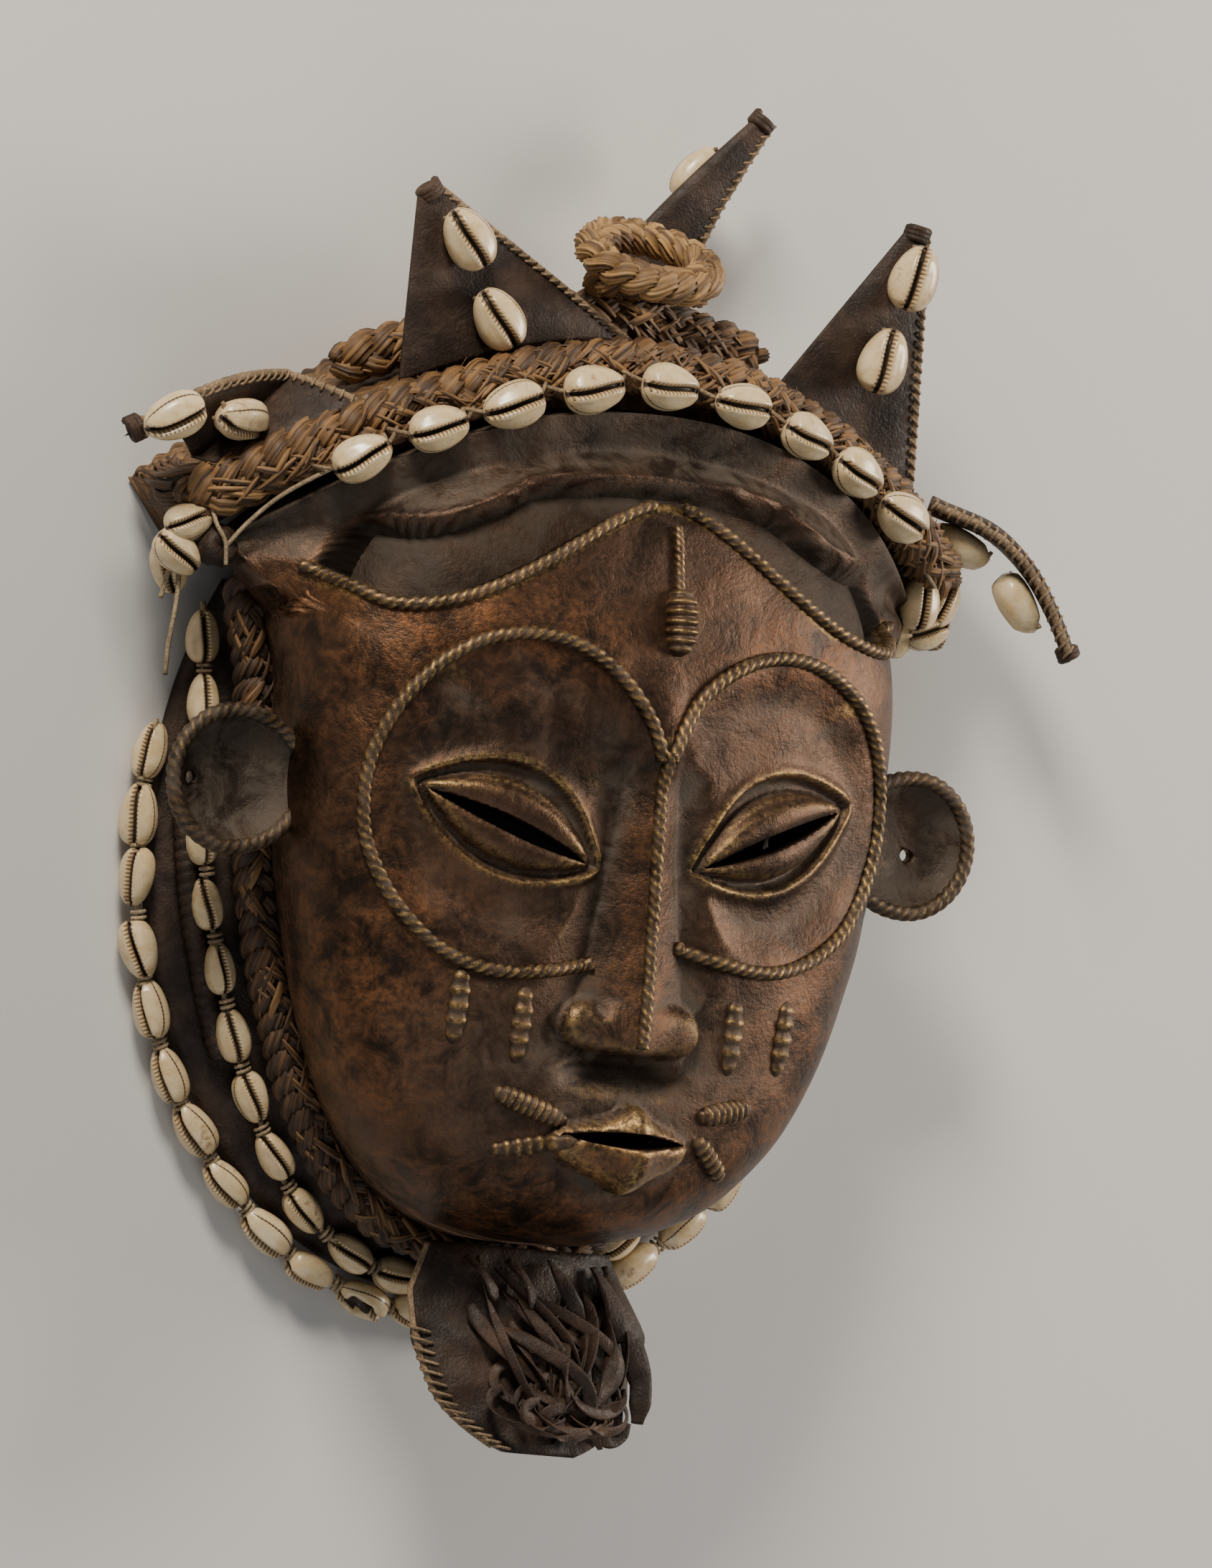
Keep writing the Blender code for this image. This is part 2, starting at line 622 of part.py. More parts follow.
def rim_faces(first_inner):
    """The flat back rim: each inner edge faces several outer ones."""
    outer = border(GRID_CELLS, 0)
    inner = border(INNER_CELLS, first_inner)
    faces = []
    for number, point in enumerate(inner):
        start = number * RIM_SPLIT
        span = [outer[(start + step) % len(outer)] for step in range(RIM_SPLIT + 1)]
        faces.append((point, inner[(number + 1) % len(inner)], *span[::-1]))
    return faces


def bronze_shell():
    """The carved outside joined to the inside along the flat back rim."""
    outer = outer_skin()
    inner = inner_skin()
    faces = grid_faces(GRID_CELLS, 0, False) + grid_faces(INNER_CELLS, len(outer), True)
    return piece("bronze_mask", np.concatenate([outer, inner]), faces + rim_faces(len(outer)), BRONZE)


def ear_solid(side):
    """Rings of one ear, turned round its own middle: dish in front, rope round the edge, round back."""
    edge = EAR_RADIUS
    height = NOSE_ROOT_HEIGHT - EAR_BELOW_NOSE_ROOT
    profile = [
        (0.4, -EAR_DISH + 1.5),
        (0.55 * edge, -EAR_DISH + 2.5),
        (edge - 2 * EAR_ROPE, 0.0),
        (edge - EAR_ROPE, EAR_ROPE),
        (edge, 0.0),
        (edge - EAR_ROPE, -EAR_ROPE),
        (0.55 * edge, -EAR_DISH - EAR_WALL + 3.0),
        (0.4, -EAR_DISH - EAR_WALL + 1.5),
    ]
    turn = np.arange(EAR_SIDES) * 2 * math.pi / EAR_SIDES
    out = side * np.cos(turn)
    wide = np.where(out < 0, EAR_ROOT_STRETCH, 1.0) * out
    rings = [
        np.column_stack([side * (EAR_X + r * wide), EAR_Y + r * np.sin(turn), np.full(EAR_SIDES, height + z)])
        for r, z in profile
    ]
    return np.array(rings)


def ears():
    """Both ears as one helper, joined to the bronze by its Boolean."""
    rings = [ear_solid(side) for side in (-1, 1)]
    points = np.concatenate([ring.reshape(-1, 3) for ring in rings])
    faces = []
    for number, ring in enumerate(rings):
        faces += loft_faces(*ring.shape[:2], first=number * ring.shape[0] * ring.shape[1])
    return piece("ears_helper", points, faces, BRONZE)


def prism(outline):
    """A straight cutter of this outline, from below the rim to over the nose."""
    low = np.column_stack([outline, np.full(len(outline), 0.0)])
    high = np.column_stack([outline, np.full(len(outline), NOSE_ROOT_HEIGHT + 3 * LIP_RELIEF)])
    return np.array([low, high])


def slit_outline(centre, slant, half_length, half_height):
    """A slender almond."""
    across = np.linspace(-half_length, half_length, 11)
    high = np.maximum(lens(across, half_length, half_height), 0.15)
    loop = np.column_stack([np.append(across, across[::-1]), np.append(high, -high[::-1])])
    cos, sin = math.cos(slant), math.sin(slant)
    return np.column_stack([centre[0] + loop[:, 0] * cos - loop[:, 1] * sin, centre[1] + loop @ (sin, cos)])


def openings():
    """The slits of the eyes and the mouth, and the hole in each ear, as one cutter."""
    turn = np.arange(8) * 2 * math.pi / 8
    hole = EAR_HOLE_RADIUS * np.column_stack([np.cos(turn), np.sin(turn)])
    prisms = [prism(slit_outline((MOUTH_X, MOUTH_Y), 0.0, MOUTH_SLIT_HALF_WIDTH, MOUTH_SLIT_HALF_HEIGHT))]
    for side in (-1, 1):
        centre = (side * EYE_X, EYE_Y)
        prisms.append(prism(slit_outline(centre, side * EYE_SLANT, SLIT_HALF_LENGTH, SLIT_HALF_HEIGHT)))
        prisms.append(prism(hole + (side * (EAR_X + EAR_HOLE_OUT), EAR_Y - 1.0)))
    faces = []
    first = 0
    for rings in prisms:
        faces += loft_faces(*rings.shape[:2], first=first)
        first += rings.shape[0] * rings.shape[1]
    return piece("openings_helper", np.concatenate([rings.reshape(-1, 3) for rings in prisms]), faces, BRONZE)


def helper(made):
    """Keeps a cutter or a shape to be joined out of the finished model."""
    made.hide_render = True
    made.display_type = "WIRE"
    return made


def bronze_mask():
    """The casting: shell, ears and slits, with its flat stretches thinned to few triangles."""
    shell = bronze_shell()
    for name, operation, other in (("ears", "UNION", ears()), ("openings", "DIFFERENCE", openings())):
        cut = shell.modifiers.new(name, "BOOLEAN")
        cut.operation = operation
        cut.object = helper(other)
    triangles = 2 * (GRID_CELLS**2 + INNER_CELLS**2)
    thin = shell.modifiers.new("few_triangles", "DECIMATE")
    thin.ratio = BRONZE_TRIANGLES / triangles
    return shell


def collar_turns():
    """Directions from the collar's centre, from the left temple round under the chin to the right one."""
    start = math.asin((COLLAR_TOP_Y - COLLAR_CENTRE_Y) / COLLAR_HALF_HEIGHT)
    return np.linspace(math.pi - start, 2 * math.pi + start, COLLAR_SECTIONS + 1)


def collar_edge(turns, inset):
    """Points of the collar's outer edge, drawn in by inset."""
    x = (COLLAR_HALF_WIDTH - inset) * np.cos(turns)
    y = COLLAR_CENTRE_Y + (COLLAR_HALF_HEIGHT - inset) * np.sin(turns)
    return x, y


def rim_edge(turns, outset):
    """Points beside the bronze's back rim, straight in from the collar's edge points."""
    x, y = collar_edge(turns, 0.0)
    outward = unit(np.column_stack([x, y - COLLAR_CENTRE_Y]))
    for _ in range(4):
        share = egg_share(x / tucked(1.0, y, RIM_HEIGHT * np.ones(len(y))), y)
        x = x / share
        y = WIDEST_Y + (y - WIDEST_Y) / share
    return np.column_stack([x, y]) + outset * outward


def side_collar():
    """A sloping leather strap: its inner edge is under the braid and its outer edge lies on the floor."""
    turns = collar_turns()
    inner = rim_edge(turns, -COLLAR_UNDER_RIM)
    outer = np.column_stack(collar_edge(turns, 0.0))
    foot = np.column_stack(collar_edge(turns, COLLAR_FOOT))

    def at(plan, height):
        return np.column_stack([plan, np.full(len(plan), height)])

    rings = [
        at(inner, COLLAR_INNER_HEIGHT),
        at(outer, COLLAR_THICKNESS),
        at(outer, 0.0),
        at(foot, 0.0),
        at(inner, COLLAR_INNER_HEIGHT - COLLAR_THICKNESS),
    ]
    return loft("side_collar", np.stack(rings, axis=1), LEATHER)


def side_braid():
    """The plait between the bronze's back rim and the collar."""
    plan = rim_edge(collar_turns(), SIDE_BRAID_OUT)
    height = RIM_HEIGHT - GAP - SIDE_BRAID_HEIGHT
    path = np.column_stack([plan, np.full(len(plan), height)])
    braid("side_braid", path, SIDE_BRAID_WIDTH, SIDE_BRAID_HEIGHT, (0, 0, 1), sides=5)


def cowrie_row(name, path, radius, count, up=(0, 0, 1)):
    """Cowries threaded end to end: each swells and narrows to the thread."""
    path = evenly(path, 3 * count + 1)
    swell = np.tile([ROW_NECK, radius, 0.93 * radius], count)
    swell = np.append(swell, ROW_NECK)
    return loft(name, tube_rings(path, swell, swell, 5, up), SHELL)


def cowrie_rows():
    """The two rows of cowries on the collar: along its outer edge and beside the braid."""
    turns = collar_turns()
    outer = np.column_stack(collar_edge(turns[3:-3], -OUTER_ROW_RADIUS - GAP))
    outer = np.column_stack([outer, np.full(len(outer), OUTER_ROW_RADIUS + 1.0)])
    cowrie_row("outer_cowrie_row", outer, OUTER_ROW_RADIUS, round(length_of(outer) / ROW_PITCH))
    out = SIDE_BRAID_OUT + BRAID_SWELL * SIDE_BRAID_WIDTH + INNER_ROW_RADIUS
    inner = rim_edge(turns[1:-1], out)
    strap = np.linalg.norm(np.column_stack(collar_edge(turns[1:-1], 0.0)) - rim_edge(turns[1:-1], 0.0), axis=1)
    slope = (COLLAR_INNER_HEIGHT - COLLAR_THICKNESS) / (strap + COLLAR_UNDER_RIM)
    height = COLLAR_THICKNESS + slope * (strap - out).clip(0) + INNER_ROW_RADIUS * np.hypot(1, slope) + GAP
    inner = np.column_stack([inner, height])
    cowrie_row("inner_cowrie_row", inner, INNER_ROW_RADIUS, round(length_of(inner) / ROW_PITCH))


def brim_point(x, out=0.0, up=0.0):
    """A point beside the brim braid's middle line: out is away from the face, up is over the floor."""
    x = np.asarray(x, float)
    share = np.abs(x) / BRIM_HALF_WIDTH
    slope = -np.sign(x) * BRIM_FALL / BRIM_HALF_WIDTH * BRIM_POWER * share ** (BRIM_POWER - 1)
    outward = unit(np.stack([-slope, np.ones_like(slope)], axis=-1))
    y = BRIM_RISE - BRIM_FALL * share**BRIM_POWER
    z = NOSE_ROOT_HEIGHT - BRIM_BELOW_NOSE_ROOT - BRIM_END_DROP * share**2.6
    return np.stack([x + out * outward[..., 0], y + out * outward[..., 1], z + up], axis=-1)


def brim_braid():
    """The thick plait that lies on the cap in front, along the flange."""
    path = brim_point(np.linspace(-BRIM_HALF_WIDTH, BRIM_HALF_WIDTH, 60))
    braid("brim_braid", path, BRIM_BRAID_RADIUS, BRIM_BRAID_RADIUS, (0, 0, 1))


def horn_level():
    """How far the horns' middle plane is below the brim braid's middle line."""
    return -BRAID_SWELL * BRIM_BRAID_RADIUS - GAP - HORN_THICKNESS / 2


def crown_braid():
    """The second plait, behind the horns."""
    x = np.linspace(CROWN_BRAID_FROM_X, CROWN_BRAID_TO_X, 40)
    up = horn_level() - HORN_THICKNESS / 2 - GAP - BRAID_SWELL * CROWN_BRAID_RADIUS
    path = brim_point(x, CROWN_BRAID_OUT, up)
    braid("crown_braid", path, CROWN_BRAID_RADIUS, CROWN_BRAID_RADIUS, (0, 0, 1))


def cap_thickness(x):
    """How far the cap's lower coils stand out from the flange's wall."""
    share = (np.abs(x) / FLANGE_HALF_WIDTH).clip(0, 1)
    return CAP_END_THICKNESS + (CAP_CROWN_THICKNESS - CAP_END_THICKNESS) * (1 - share**2)


def cap():
    """Raffia coils between the bronze's flange and the floor, with a shoulder under the brim braid."""
    x = np.linspace(-FLANGE_HALF_WIDTH, FLANGE_HALF_WIDTH, CAP_SECTIONS + 1)
    slope = np.gradient(flange_rise(x), x)
    outward = unit(np.column_stack([-slope, np.ones_like(x)]))
    brim = brim_point(x)
    to_brim = (brim[:, 1] - flange_rise(x)) * outward[:, 1]
    shoulder = to_brim + shoulder_out() - GAP
    thick = np.maximum(cap_thickness(x), shoulder + CAP_STEP)
    outermost = np.minimum(np.abs(x + outward[:, 0] * thick), BRIM_HALF_WIDTH)
    top = brim_point(outermost)[:, 2] - BRAID_SWELL * BRIM_BRAID_RADIUS - GAP
    crown_floor = top - HORN_THICKNESS - 2 * BRAID_SWELL * CROWN_BRAID_RADIUS - 3 * GAP
    crown_floor = np.maximum(crown_floor, 0.4 * top)
    levels = [(np.full_like(x, CAP_CLEARANCE), 0 * x)]
    for coil in range(CAP_COILS):
        for part_way, depth in ((0.12, 0.6), (0.5, 0.0), (0.88, 0.6)):
            levels.append((thick - depth * CAP_COIL_DEPTH, crown_floor * (coil + part_way) / CAP_COILS))
    levels.insert(1, (thick - CAP_COIL_DEPTH, 0 * x))
    levels.append((shoulder, crown_floor))
    levels.append((shoulder, top))
    levels.append((np.full_like(x, CAP_CLEARANCE), top))
    rings = []
    for out, height in levels:
        plan = np.column_stack([x, flange_rise(x)]) + outward * out[:, None]
        rings.append(np.column_stack([plan, height]))
    return loft("raffia_cap", np.stack(rings, axis=1), RAFFIA)


def crown_knot():
    """The upright ring of braid on top of the crown braid."""
    turn = np.arange(KNOT_SECTIONS) * 2 * math.pi / KNOT_SECTIONS
    crown = brim_point(KNOT_X, CROWN_BRAID_OUT)[1] + BRAID_SWELL * CROWN_BRAID_RADIUS
    y = np.full(KNOT_SECTIONS, crown + KNOT_BRAID_RADIUS + GAP)
    height = NOSE_ROOT_HEIGHT - KNOT_BELOW_NOSE_ROOT
    path = np.column_stack(
        [KNOT_X + KNOT_HALF_WIDTH * np.cos(turn), y, height + KNOT_HALF_DEPTH * np.sin(turn)]
    )
    along = unit(np.roll(path, -1, axis=0) - np.roll(path, 1, axis=0))
    across = np.cross(along, (0.0, 1.0, 0.0))
    side = (np.arange(KNOT_SIDES) + 0.5) * 2 * math.pi / KNOT_SIDES
    lump = KNOT_BRAID_RADIUS * (0.94 + 0.06 * np.cos(4 * turn))[:, None, None]
    wide = lump * np.cos(side)[None, :, None] * across[:, None, :]
    high = lump * np.sin(side)[None, :, None] * np.array([0.0, 1.0, 0.0])
    return loft("crown_knot", path[:, None, :] + wide + high, RAFFIA, loop=True)


def horn_point(base, tip, bow, across, share):
    """A point of a horn's middle sheet: across runs from edge to edge, share from base to tip."""
    start = base(across)
    end = np.array(tip, float) + across * HORN_TIP_HALF_WIDTH * unit(base(1.0) - base(-1.0))
    return start * (1 - share) + end * share + np.array(bow, float) * math.sin(math.pi * share)


def horn_face(base, tip, bow, share):
    """The way up a horn and the way that its broad face looks, at a share of its height."""
    step = 0.02
    rise = unit(horn_point(base, tip, bow, 0.0, share + step) - horn_point(base, tip, bow, 0.0, share - step))
    wide = unit(base(1.0) - base(-1.0))
    return rise, unit(np.cross(wide, rise))


def horn(name, base, tip, bow):
    """A flat leather horn: a three-cornered pouch from the edge that it is sewn on by to its tip."""
    rings = []
    for share in np.linspace(0.0, 1.0, 6):
        _, face = horn_face(base, tip, bow, share)
        thick = face * (HORN_THICKNESS / 2) * (1 - 0.35 * share)
        sheet = {across: horn_point(base, tip, bow, across, share) for across in (-1.0, -0.6, 0.0, 0.6, 1.0)}
        front = [sheet[across] + thick for across in (-0.6, 0.0, 0.6)]
        back = [sheet[across] - thick for across in (0.6, 0.0, -0.6)]
        rings.append([sheet[-1.0], *front, sheet[1.0], *back])
    return loft(name, rings, LEATHER)


def cowrie(name, centre, along, face, scale=1.0):
    """One cowrie, its slit side up: an egg shape with a groove from end to end."""
    along = unit(along)
    across = unit(np.cross(face, along))
    face = np.cross(along, across)
    turn = np.arange(8) * math.pi / 4
    wide = COWRIE_HALF_WIDTH * np.cos(turn)
    high = COWRIE_HALF_HEIGHT * np.sin(turn)
    high[2] -= COWRIE_GROOVE
    rings = []
    for share in (-0.95, -0.6, 0.05, 0.62, 0.95):
        size = math.sqrt(1 - share**2) * (1 - 0.14 * share)
        spine = np.array(centre, float) + along * COWRIE_HALF_LENGTH * share * scale
        rings.append(spine + scale * size * (wide[:, None] * across + high[:, None] * face))
    return loft(name, rings, SHELL)


def brim_cowries():
    """Nine cowries sewn along the front of the brim braid."""
    for number, x in enumerate(BRIM_COWRIE_X, start=1):
        before, middle, after = brim_point(np.array([x - 1.0, x, x + 1.0]))
        along = unit(after - before)
        inward = unit(np.cross(along, (0.0, 0.0, 1.0)))
        face = unit(BRIM_COWRIE_LEAN * inward + np.cross(inward, along))
        centre = middle + face * (BRAID_SWELL * BRIM_BRAID_RADIUS + COWRIE_HALF_HEIGHT)
        cowrie(f"brim_cowrie_{number}", centre, along, face)


def shoulder_out():
    """How far behind the brim braid's middle line the cap's shoulder ends."""
    return CROWN_BRAID_OUT - BRAID_SWELL * CROWN_BRAID_RADIUS


def on_shoulder(x, half, drop):
    """The base edge of a horn that lies flat on the cap's shoulder, at one height all along."""

    def base(across):
        point = brim_point(x + half * across, shoulder_out() + GAP)
        point[2] = brim_point(0.0)[2] + horn_level() - drop
        return point

    return base


def beside_braid(x, out, up, half):
    """The straight base edge of a horn that stands off from the brim braid."""
    middle = brim_point(x, out, up)
    return lambda across: middle + across * np.array(half)


def horns():
    """Five horns, each with two cowries on the face that shows."""
    left_end = FAR_LEFT_HORN_INSIDE_BRIM - BRIM_HALF_WIDTH
    right_end = BRIM_HALF_WIDTH - FAR_RIGHT_HORN_INSIDE_BRIM
    cap_side = CAP_CROWN_THICKNESS - BRIM_BEYOND_FLANGE + HORN_THICKNESS / 2 + GAP
    shapes = {
        "horn_left": (on_shoulder(*LEFT_HORN_BASE), LEFT_HORN_RISE, (0.0, 0.0, 0.0)),
        "horn_right": (on_shoulder(*RIGHT_HORN_BASE), RIGHT_HORN_RISE, (0.0, 0.0, 0.0)),
        "horn_back": (beside_braid(BACK_HORN_X, cap_side, *BACK_HORN_BASE), BACK_HORN_RISE, BACK_HORN_BOW),
        "horn_far_left": (beside_braid(left_end, *FAR_LEFT_HORN_BASE), FAR_LEFT_HORN_RISE, FAR_LEFT_HORN_BOW),
        "horn_far_right": (beside_braid(right_end, *FAR_RIGHT_HORN_BASE), FAR_RIGHT_HORN_RISE, FAR_RIGHT_HORN_BOW),
    }
    places = {
        "horn_left": LEFT_HORN_COWRIE_PLACES,
        "horn_right": RIGHT_HORN_COWRIE_PLACES,
        "horn_far_left": FAR_LEFT_HORN_COWRIE_PLACES,
    }
    for name, (base, rise, bow) in shapes.items():
        tip = base(0.0) + rise
        horn(name, base, tip, bow)
        for number, (share, across) in enumerate(places.get(name, HORN_COWRIE_PLACES), start=1):
            along, face = horn_face(base, tip, bow, share)
            lift = HORN_THICKNESS / 2 + HORN_COWRIE_SCALE * COWRIE_HALF_HEIGHT + GAP
            centre = horn_point(base, tip, bow, across, share) + face * lift
            cowrie(f"{name}_cowrie_{number}", centre, along, face, HORN_COWRIE_SCALE)


def temple_clusters():
    """Shells and a seed that hang in a bunch below each end of the brim braid."""
    for name, side in (("temple_cluster_left", -1.0), ("temple_cluster_right", 1.0)):
        end = brim_point(side * BRIM_HALF_WIDTH)
        onward = unit(end - brim_point(side * (BRIM_HALF_WIDTH - 1.0)))
        start = end + onward * 2 * GAP
        turn = start + onward * CLUSTER_RADIUS
        path = [start, turn, turn + (-1.0 * side, -10.0, 2.0), turn + (-9.0 * side, -20.0, 4.0)]
        cowrie_row(name, np.array(path), CLUSTER_RADIUS, 2)


def beard_height(down):
    """Height of the beard's middle over the floor, at a distance below the chin."""
    curl = math.sin(min(BEARD_CURL * down / BEARD_LENGTH, math.pi / 2))
    forward = (BEARD_TOP_BELOW_NOSE_ROOT - BEARD_FRONT_BELOW_NOSE_ROOT) * curl
    return NOSE_ROOT_HEIGHT - BEARD_TOP_BELOW_NOSE_ROOT + forward


def beard_sag(x):
    """How far the flap's sides hang back from its middle."""
    return BEARD_SIDE_SAG * (x / BEARD_HALF_WIDTH) ** 2


def beard_flap():
    """The leather flap under the chin, narrowing towards its foot."""
    rings = []
    for share in np.linspace(0.0, 1.0, 8):
        down = BEARD_LENGTH * share
        top = BEARD_TOP_SHARE + (1 - BEARD_TOP_SHARE) * min(1.0, 4 * share)
        half = BEARD_HALF_WIDTH * top * (1 - BEARD_TAPER * max(0.0, share - 0.35) ** 2)
        x = half * np.linspace(-1.0, 1.0, 6)
        y = np.full(len(x), -CHIN_DROP - 1.0 - down)
        front = np.column_stack([x, y, beard_height(down) - beard_sag(x)])
        rings.append(np.concatenate([front, front[::-1] - (0.0, 0.0, BEARD_THICKNESS)]))
    loft("beard_flap", rings, LEATHER)


def beard_thongs():
    """The rippled mass of thongs and loops that lies on the flap."""
    rings = []
    for share in np.linspace(0.0, 1.0, 9):
        down = THONG_MASS_TOP + THONG_MASS_LENGTH * share
        half = THONG_MASS_HALF_WIDTH * (0.55 + 0.45 * math.sin(math.pi * min(1.0, 0.2 + 0.7 * share)))
        side = np.linspace(-1.0, 1.0, 6)
        x = THONG_MASS_X + half * side
        y = np.full(len(x), -CHIN_DROP - 1.0 - down)
        base = beard_height(down) - beard_sag(x) + 2 * GAP
        ripple = 1.0 + THONG_RIPPLE * np.cos(9.0 * side + 14.0 * share)
        swell = ripple * (1 - 0.6 * side**2) * math.sin(0.4 + 2.3 * share)
        low = np.column_stack([x, y, base])
        high = np.column_stack([x, y, base + 1.0 + THONG_MASS_THICKNESS * swell])
        rings.append(np.concatenate([low, high[::-1]]))
    loft("beard_thongs", rings, LEATHER)


def stand_on_origin():
    """Hangs every piece on one empty, placed so that the origin is on the floor at the mask's middle."""
    pieces = [made for made in bpy.data.objects if made.type == "MESH"]
    shown = [made for made in pieces if not made.hide_render]
    corners = np.array([vertex.co[:] for made in shown for vertex in made.data.vertices])
    middle = (corners.min(axis=0) + corners.max(axis=0)) / 2
    frame = bpy.data.objects.new("mask_frame", None)
    bpy.context.scene.collection.objects.link(frame)
    frame.location = (-middle[0], -middle[1], 0.0)
    for made in pieces:
        made.parent = frame


def build():
    """Everything, in the order from the casting outwards."""
    bronze_mask()
    side_collar()
    side_braid()
    cowrie_rows()
    cap()
    brim_braid()
    crown_braid()
    crown_knot()
    brim_cowries()
    horns()
    temple_clusters()
    beard_flap()
    beard_thongs()
    stand_on_origin()


for old in list(bpy.data.objects):
    bpy.data.objects.remove(old, do_unlink=True)
build()
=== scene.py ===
"""Looks of the bronze mask that lies on its back: patina, raffia, leather, cowries, floor and light.

Every size is in millimetres and measured from the nose root, with X to the right of the face, Y up the
face and Z from the floor. ANCHOR says where the nose root stands in the frame.
"""

import logging
import math
from collections.abc import Callable, Sequence
from dataclasses import dataclass, field
from enum import Enum

import bpy
import numpy as np
from mathutils import Matrix, Vector


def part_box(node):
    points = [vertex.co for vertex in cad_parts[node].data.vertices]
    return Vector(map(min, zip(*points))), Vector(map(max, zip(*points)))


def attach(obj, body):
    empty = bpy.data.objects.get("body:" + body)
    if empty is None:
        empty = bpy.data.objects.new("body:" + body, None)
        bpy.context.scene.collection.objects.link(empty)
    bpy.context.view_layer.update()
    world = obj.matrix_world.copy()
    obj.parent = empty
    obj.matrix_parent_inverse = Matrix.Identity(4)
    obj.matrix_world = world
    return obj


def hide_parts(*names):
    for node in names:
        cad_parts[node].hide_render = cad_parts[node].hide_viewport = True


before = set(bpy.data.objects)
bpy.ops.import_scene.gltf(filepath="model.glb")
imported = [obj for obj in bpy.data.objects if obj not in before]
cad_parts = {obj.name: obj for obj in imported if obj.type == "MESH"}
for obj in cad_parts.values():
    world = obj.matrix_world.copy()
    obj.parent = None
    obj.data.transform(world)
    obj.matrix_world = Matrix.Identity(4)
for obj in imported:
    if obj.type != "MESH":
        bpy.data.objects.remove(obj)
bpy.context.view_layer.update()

Array = np.ndarray
Triple = tuple[float, float, float]
Faces = list[tuple[int, ...]]
Socket = bpy.types.NodeSocket
MM = 0.001
TURN = 2 * math.pi
UP = (0.0, 0.0, 1.0)
CHIN_DROP = 159.0
NOSE_ROOT_HEIGHT = 108.0
BODY = "root"
IMAGE_WIDTH = 1688
IMAGE_HEIGHT = 2184
log = logging.getLogger("mask")


def find_anchor() -> Array:
    """Where the nose root stands in the frame, in millimetres.

    Returns:
        The shift from the sizes here to the frame.
    """
    low, high = (np.array(corner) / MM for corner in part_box("bronze_mask"))
    return np.array([(low[0] + high[0]) / 2, low[1] + CHIN_DROP, 0.0])


ANCHOR = find_anchor()


def unit(vectors: Array) -> Array:
    """Vectors along the last axis brought to length one."""
    vectors = np.asarray(vectors, float)
    return vectors / np.maximum(np.linalg.norm(vectors, axis=-1, keepdims=True), 1e-9)


def smooth_step(share: Array) -> Array:
    """A rise from 0 to 1 with flat ends, as share goes from 0 to 1."""
    share = np.clip(share, 0.0, 1.0)
    return share * share * (3.0 - 2.0 * share)


def waves(points: Array, size: float, seed: int, count: int = 7) -> Array:
    """Smooth irregular swells in space.

    Args:
        points: Places in millimetres, along the last axis.
        size: Distance from one swell to the next, in millimetres.
        seed: Which pattern.
        count: How many waves are added up.

    Returns:
        A value of about -1 to 1 for each point.
    """
    rng = np.random.default_rng(seed)
    total = np.zeros(points.shape[:-1])
    for _ in range(count):
        direction = unit(rng.normal(size=3)) * rng.uniform(0.6, 1.5) * TURN / size
        total = total + np.sin(points @ direction + rng.uniform(0, TURN))
    return total / math.sqrt(2 * count)


def evenly(path: Array, count: int) -> Array:
    """The same route with points at equal distances.

    Args:
        path: The route.
        count: How many points.

    Returns:
        The points.
    """
    run = np.concatenate([[0.0], np.cumsum(np.linalg.norm(np.diff(path, axis=0), axis=1))])
    wanted = np.linspace(0.0, run[-1], count)
    return np.stack([np.interp(wanted, run, path[:, axis]) for axis in range(3)], axis=1)


def length_of(path: Array) -> float:
    """Length of a route."""
    return float(np.linalg.norm(np.diff(path, axis=0), axis=1).sum())


def curved(points: Sequence[Sequence[float]], count: int) -> Array:
    """A smooth route through a few points.

    Args:
        points: The places that the route passes.
        count: How many points to give back.

    Returns:
        Points at equal distances.
    """
    knots = np.asarray(points, float)
    padded = np.vstack([2 * knots[0] - knots[1], knots, 2 * knots[-1] - knots[-2]])
    pieces = []
    for number in range(len(knots) - 1):
        before, start, end, after = padded[number : number + 4]
        t = np.linspace(0, 1, 16)[:, None]
        pieces.append(
            0.5
            * (
                2 * start
                + (end - before) * t
                + (2 * before - 5 * start + 4 * end - after) * t**2
                + (3 * start - before - 3 * end + after) * t**3
            )
        )
    return evenly(np.vstack(pieces), count)


def swaying(path: Array, size: float, reach: float, seed: int) -> Array:
    """The same route, swaying a little in the plane of the floor."""
    sway = [waves(path, size, seed + 1), waves(path, size, seed + 2), 0 * path[:, 0]]
    return path + reach * np.column_stack(sway)


